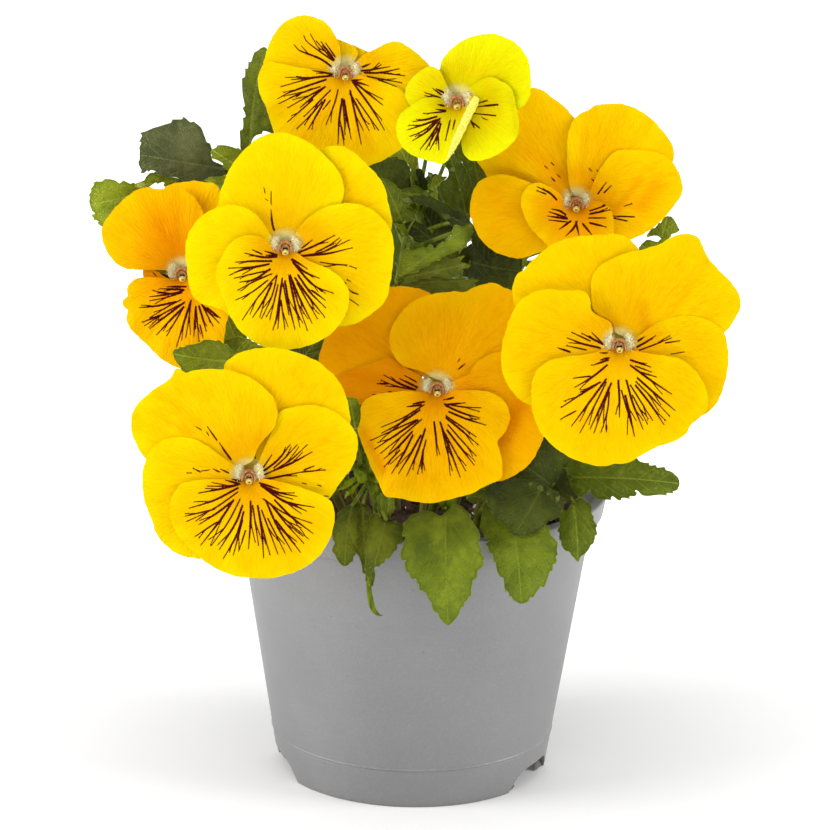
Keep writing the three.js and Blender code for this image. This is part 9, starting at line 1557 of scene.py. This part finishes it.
# ----------------------------------------------------------------------- pot
def pot():
    base, top_r = 42.45, 55.5
    slope = (top_r - base) / 82.9
    wall = lambda z: base + slope * z
    prof = [(0, 5.4), (20, 5.4), (40.9, 5.4), (40.35, 0.25), (40.6, 0.0), (42.1, 0.0), (42.42, 0.15), (wall(0.6), 0.6)]
    for z in np.arange(2.0, 11.9, 1.6):
        prof.append((wall(z), z))
    prof += [(wall(12.10), 12.10), (wall(12.3) - 0.10, 12.35), (wall(12.5) + 0.10, 12.55), (wall(12.8) + 0.24, 12.8),
             (wall(13.1) + 0.15, 13.1), (wall(13.35) + 0.02, 13.35)]
    for z in np.arange(15.0, 82.0, 3.2):
        prof.append((wall(z), z))
    prof += [(wall(82.4), 82.4), (55.6, 82.9), (57.3, 83.1), (58.2, 83.6), (58.75, 84.6), (59.0, 85.8), (59.4, 88.0),
             (59.85, 90.4), (59.9, 90.9), (59.6, 91.3), (59.2, 91.4), (57.2, 91.4), (56.6, 91.2), (56.3, 90.7), (55.9, 88.5),
             (55.2, 84.2), (54.1, 82.9)]
    for z in np.arange(78.0, 8.0, -10.0):
        prof.append((wall(z) - 1.5, z))
    prof += [(wall(7.6) - 1.6, 7.6), (wall(7.0) - 2.4, 7.0), (20, 7.0), (0, 7.0)]
    n = 192
    V, F = [], []
    idx = []
    for (r, z) in prof:
        if r == 0:
            idx.append([len(V)] * n)
            V.append((0, 0, z))
        else:
            idx.append(list(range(len(V), len(V) + n)))
            for k in range(n):
                a = 2 * math.pi * k / n
                V.append((r * math.cos(a), r * math.sin(a), z))
    for i in range(len(prof) - 1):
        for k in range(n):
            a, b, c, d = idx[i][k], idx[i][(k + 1) % n], idx[i + 1][(k + 1) % n], idx[i + 1][k]
            f = []
            for x in (a, b, c, d):
                if x not in f:
                    f.append(x)
            if len(f) > 2:
                F.append(tuple(f))
    me = bpy.data.meshes.new("pot_body")
    me.from_pydata([tuple((np.array(v) + OFFSET) * MM) for v in V], [], F)
    finish_mesh(me)
    ob = bpy.data.objects.new("pot_body", me)
    bpy.context.scene.collection.objects.link(ob)
    cutters = []
    half_b, half_t, h = 13.8, 6.5, 6.6
    shape = [(-half_b - 0.6, -1.0), (half_b + 0.6, -1.0), (half_b, 0.0), (half_b - 0.9, 1.2), (half_b - 2.0, 2.9), (half_t + 3.6, 4.7),
             (half_t + 1.9, 5.7), (half_t - 0.2, 6.3), (half_t - 2.4, h), (-half_t + 2.4, h), (-half_t + 0.2, 6.3), (-half_t - 1.9, 5.7),
             (-half_t - 3.6, 4.7), (-half_b + 2.0, 2.9), (-half_b + 0.9, 1.2), (-half_b, 0.0)]
    C = Soup()
    for az in (194.8, 334.4, 84.6):
        a = math.radians(az)
        rad, tan = np.array([math.cos(a), math.sin(a), 0]), np.array([-math.sin(a), math.cos(a), 0])
        P = [rad * R + tan * x + np.array([0, 0, z]) for R in (39.6, 47.0) for x, z in shape]
        m = len(shape)
        Fc = [tuple(range(m))[::-1], tuple(range(m, 2 * m))] + [(i, (i + 1) % m, m + (i + 1) % m, m + i) for i in range(m)]
        C.add(P, Fc)
    for i in range(7):
        a = 2 * math.pi * (i + 0.5) / 6
        cx, cy, r = (29 * math.cos(a), 29 * math.sin(a), 4.5) if i < 6 else (0, 0, 4.0)
        P = [(cx + r * math.cos(t), cy + r * math.sin(t), z) for z in (2.0, 8.5) for t in np.linspace(0, 2 * math.pi, 32, endpoint=False)]
        Fc = [tuple(range(32))[::-1], tuple(range(32, 64))] + [(j, (j + 1) % 32, 32 + (j + 1) % 32, 32 + j) for j in range(32)]
        C.add(P, Fc)
    cm = C.mesh("cutter")
    co = bpy.data.objects.new("cutter", cm)
    bpy.context.scene.collection.objects.link(co)
    mod = ob.modifiers.new("cut", "BOOLEAN")
    mod.operation = "DIFFERENCE"
    mod.solver = "EXACT"
    mod.object = co
    bpy.context.view_layer.update()
    dg = bpy.context.evaluated_depsgraph_get()
    new = bpy.data.meshes.new_from_object(ob.evaluated_get(dg))
    ob.modifiers.clear()
    ob.data = new
    bpy.data.objects.remove(co)
    me = new
    me.polygons.foreach_set("use_smooth", [True] * len(me.polygons))
    bm = bmesh.new()
    bm.from_mesh(me)
    for e in bm.edges:
        if len(e.link_faces) == 2 and e.calc_face_angle(0) > math.radians(28):
            e.smooth = False
    bm.to_mesh(me)
    bm.free()
    co = np.zeros(len(me.vertices) * 3)
    me.vertices.foreach_get("co", co)
    co = co.reshape(-1, 3) / MM - OFFSET
    z = co[:, 2]
    r = np.hypot(co[:, 0], co[:, 1])
    flash = np.exp(-((z - 13.1) / 0.15) ** 2) * (r > wall(12) - 0.5)
    # painted shade: darker along the foot's lower edge and in the recess under the floor
    painted_recess_shade = np.clip(np.exp(-(z / 0.5) ** 2) * 0.35 + (r < wall(z) - 0.8) * (z < 6.9) * 0.8 + (z < 5.6) * (r < 41.2) * 0.3, 0, 1)
    for k, val in (("flash", flash), ("painted_recess_shade", painted_recess_shade)):
        at = me.attributes.new(k, "FLOAT", "POINT")
        at.data.foreach_set("value", val.astype(np.float32))
    me.materials.clear()
    me.materials.append(pot_material())
    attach(ob, "root")
    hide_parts("pot")
    return ob


pot()

# ---------------------------------------------------------------------- soil
def soil():
    rng = np.random.default_rng(99)
    S = Soup()
    R, n = 53.1, 150
    rings = [0.0] + list(np.linspace(2.2, 51.3, 24)) + [52.4, R]
    f1, f2, f3 = noise2(501, 8, 0.2, 0.9), noise2(502, 10, 0.8, 2.2), noise2(503, 10, 1.8, 3.6)
    V, F = [], []
    ids = []
    for r in rings:
        m = n
        if r == 0:
            ids.append([0] * m)
            V.append((0, 0, 83.9))
            continue
        ids.append(list(range(len(V), len(V) + m)))
        for k in range(m):
            a = 2 * math.pi * k / m
            x, y = r * math.cos(a), r * math.sin(a)
            q = np.array([x]), np.array([y])
            z = 83.6 + 0.55 * f1(*q)[0] + 0.40 * f2(*q)[0] + 0.28 * f3(*q)[0] + rng.uniform(-0.18, 0.18)
            z -= 1.6 * float(smooth(r, 49.5, 53.1))
            V.append((x, y, min(z, 85.0)))
    wall = lambda z: 42.45 + 0.15742 * z - 1.5 - 0.6
    for zz in (60.0, 30.0, 7.6):
        ids.append(list(range(len(V), len(V) + n)))
        for k in range(n):
            a = 2 * math.pi * k / n
            rr = wall(zz)
            V.append((rr * math.cos(a), rr * math.sin(a), zz))
    ids.append([len(V)] * n)
    V.append((0, 0, 7.6))
    for i in range(len(ids) - 1):
        for k in range(n):
            a, b, c, d = ids[i][k], ids[i][(k + 1) % n], ids[i + 1][(k + 1) % n], ids[i + 1][k]
            f = []
            for x in (a, b, c, d):
                if x not in f:
                    f.append(x)
            if len(f) > 2:
                F.append(tuple(f))
    S.add(V, F, 0, bark=0.0)
    for j in range(560):
        r = 51.5 * math.sqrt(rng.random())
        a = rng.uniform(0, 2 * math.pi)
        s = rng.uniform(0.5, 1.5)
        perl = rng.random() < 0.09
        ax = rng.normal(size=3)
        ax /= np.linalg.norm(ax)
        e1 = np.cross(ax, [0.3, 0.5, 0.8])
        e1 /= np.linalg.norm(e1)
        e2 = np.cross(ax, e1)
        st = (1, 1, 1) if perl else (1.7, 0.7, 0.45)
        if perl:
            s *= 0.75
        P, Fc = ball((r * math.cos(a), r * math.sin(a), 84.0 + 0.2 * s), (ax * s * st[0], e1 * s * st[1], e2 * s * st[2]), 7, 5)
        P = [np.array(p) + rng.uniform(-0.16, 0.16, 3) * s for p in P]
        P = [np.array((p[0], p[1], min(p[2], 85.6))) for p in P]
        S.add(P, Fc, 1 if perl else 0, bark=float(rng.random() < 0.4) * 0.8)
    me = S.mesh("soil_surface")
    me.polygons.foreach_set("use_smooth", [False] * len(me.polygons))
    return place(me, "soil_surface", [soil_material(), perlite_material()], "growing_medium", "growing_medium")


soil()

# --------------------------------------------------------------------- stage
def stage():
    N = 40
    V, F = [], []
    for i in range(N + 1):
        for j in range(N + 1):
            V.append((-4 + 8 * i / N, -3 + 8 * j / N, 0.0))
    for i in range(N):
        for j in range(N):
            a = i * (N + 1) + j
            F.append((a, a + N + 1, a + N + 2, a + 1))
    me = bpy.data.meshes.new("floor")
    me.from_pydata(V, [], F)
    finish_mesh(me)
    ob = bpy.data.objects.new("floor", me)
    bpy.context.scene.collection.objects.link(ob)
    k = Nodes("floor_paper")
    o = k.obj()
    k.set(Base_Color=k.mix(k.noise(o, 3.0, 2.0, 0.5), lin(243, 243, 243), lin(247, 247, 247)), Roughness=k.rng(k.noise(o, 40.0, 2.0, 0.5), 0.3, 0.7, 0.85, 0.95, "LINEAR"))
    k.b.inputs["Specular IOR Level"].default_value = 0.1
    k.b.inputs["Emission Color"].default_value = (1.0, 1.0, 1.0, 1.0)
    far = k.t.nodes.new("ShaderNodeVectorMath")
    far.operation = "LENGTH"
    k.put(far.inputs[0], o)
    k.set(Emission_Strength=k.rng(far.outputs["Value"], 0.06, 0.42, 0.06, 0.60))
    me.materials.append(k.m)
    ob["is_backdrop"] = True


stage()

scene = bpy.context.scene
scene.view_settings.view_transform = "Standard"
scene.view_settings.look = "None"
scene.view_settings.exposure = 0.0
world = bpy.data.worlds.new("studio")
scene.world = world
world.use_nodes = True
bg = world.node_tree.nodes.get("Background") or world.node_tree.nodes.new("ShaderNodeBackground")
bg.inputs[0].default_value = (1.0, 1.0, 1.0, 1.0)
bg.inputs[1].default_value = 0.47


def area(name, loc, look, size, power):
    L = bpy.data.lights.new(name, "AREA")
    L.shape = "RECTANGLE"
    L.size, L.size_y = size
    L.energy = power
    ob = bpy.data.objects.new(name, L)
    ob.location = loc
    d = Vector(look) - Vector(loc)
    ob.rotation_euler = d.to_track_quat("-Z", "Y").to_euler()
    scene.collection.objects.link(ob)


area("softbox_left", (-1.25, -0.42, 0.62), (0, 0, 0.12), (0.7, 1.0), 16.0)
area("softbox_right", (1.30, -0.30, 0.52), (0, 0, 0.12), (0.7, 1.0), 13.5)
area("softbox_front", (-0.25, -1.20, 1.05), (0, 0, 0.14), (0.9, 0.7), 3.0)
area("softbox_top", (0.0, 0.10, 1.30), (0, 0, 0.12), (1.1, 0.9), 5.0)

cam = bpy.data.cameras.new("camera")
cam.sensor_fit = "HORIZONTAL"
cam.sensor_width = 36.0
cam.lens = 163.765
cam.clip_start = 0.05
cam.clip_end = 20.0
C = (np.array([-0.9495, -1130.6856, 435.6788]) + OFFSET) * MM
R = Vector((0.99987468, 0.00401073, 0.01531439))
Uc = Vector((-0.01582736, 0.27365144, 0.9616987))
Z = R.cross(Uc)
ob = bpy.data.objects.new("camera", cam)
ob.matrix_world = Matrix(((R.x, Uc.x, Z.x, C[0]), (R.y, Uc.y, Z.y, C[1]), (R.z, Uc.z, Z.z, C[2]), (0, 0, 0, 1)))
scene.collection.objects.link(ob)
scene.camera = ob

bpy.context.view_layer.update()
vis_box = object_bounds()
flat = lambda b: [[float(x) for x in b[0]], [float(x) for x in b[1]]]
{"cad": flat(cad_box), "visual": flat(vis_box)}
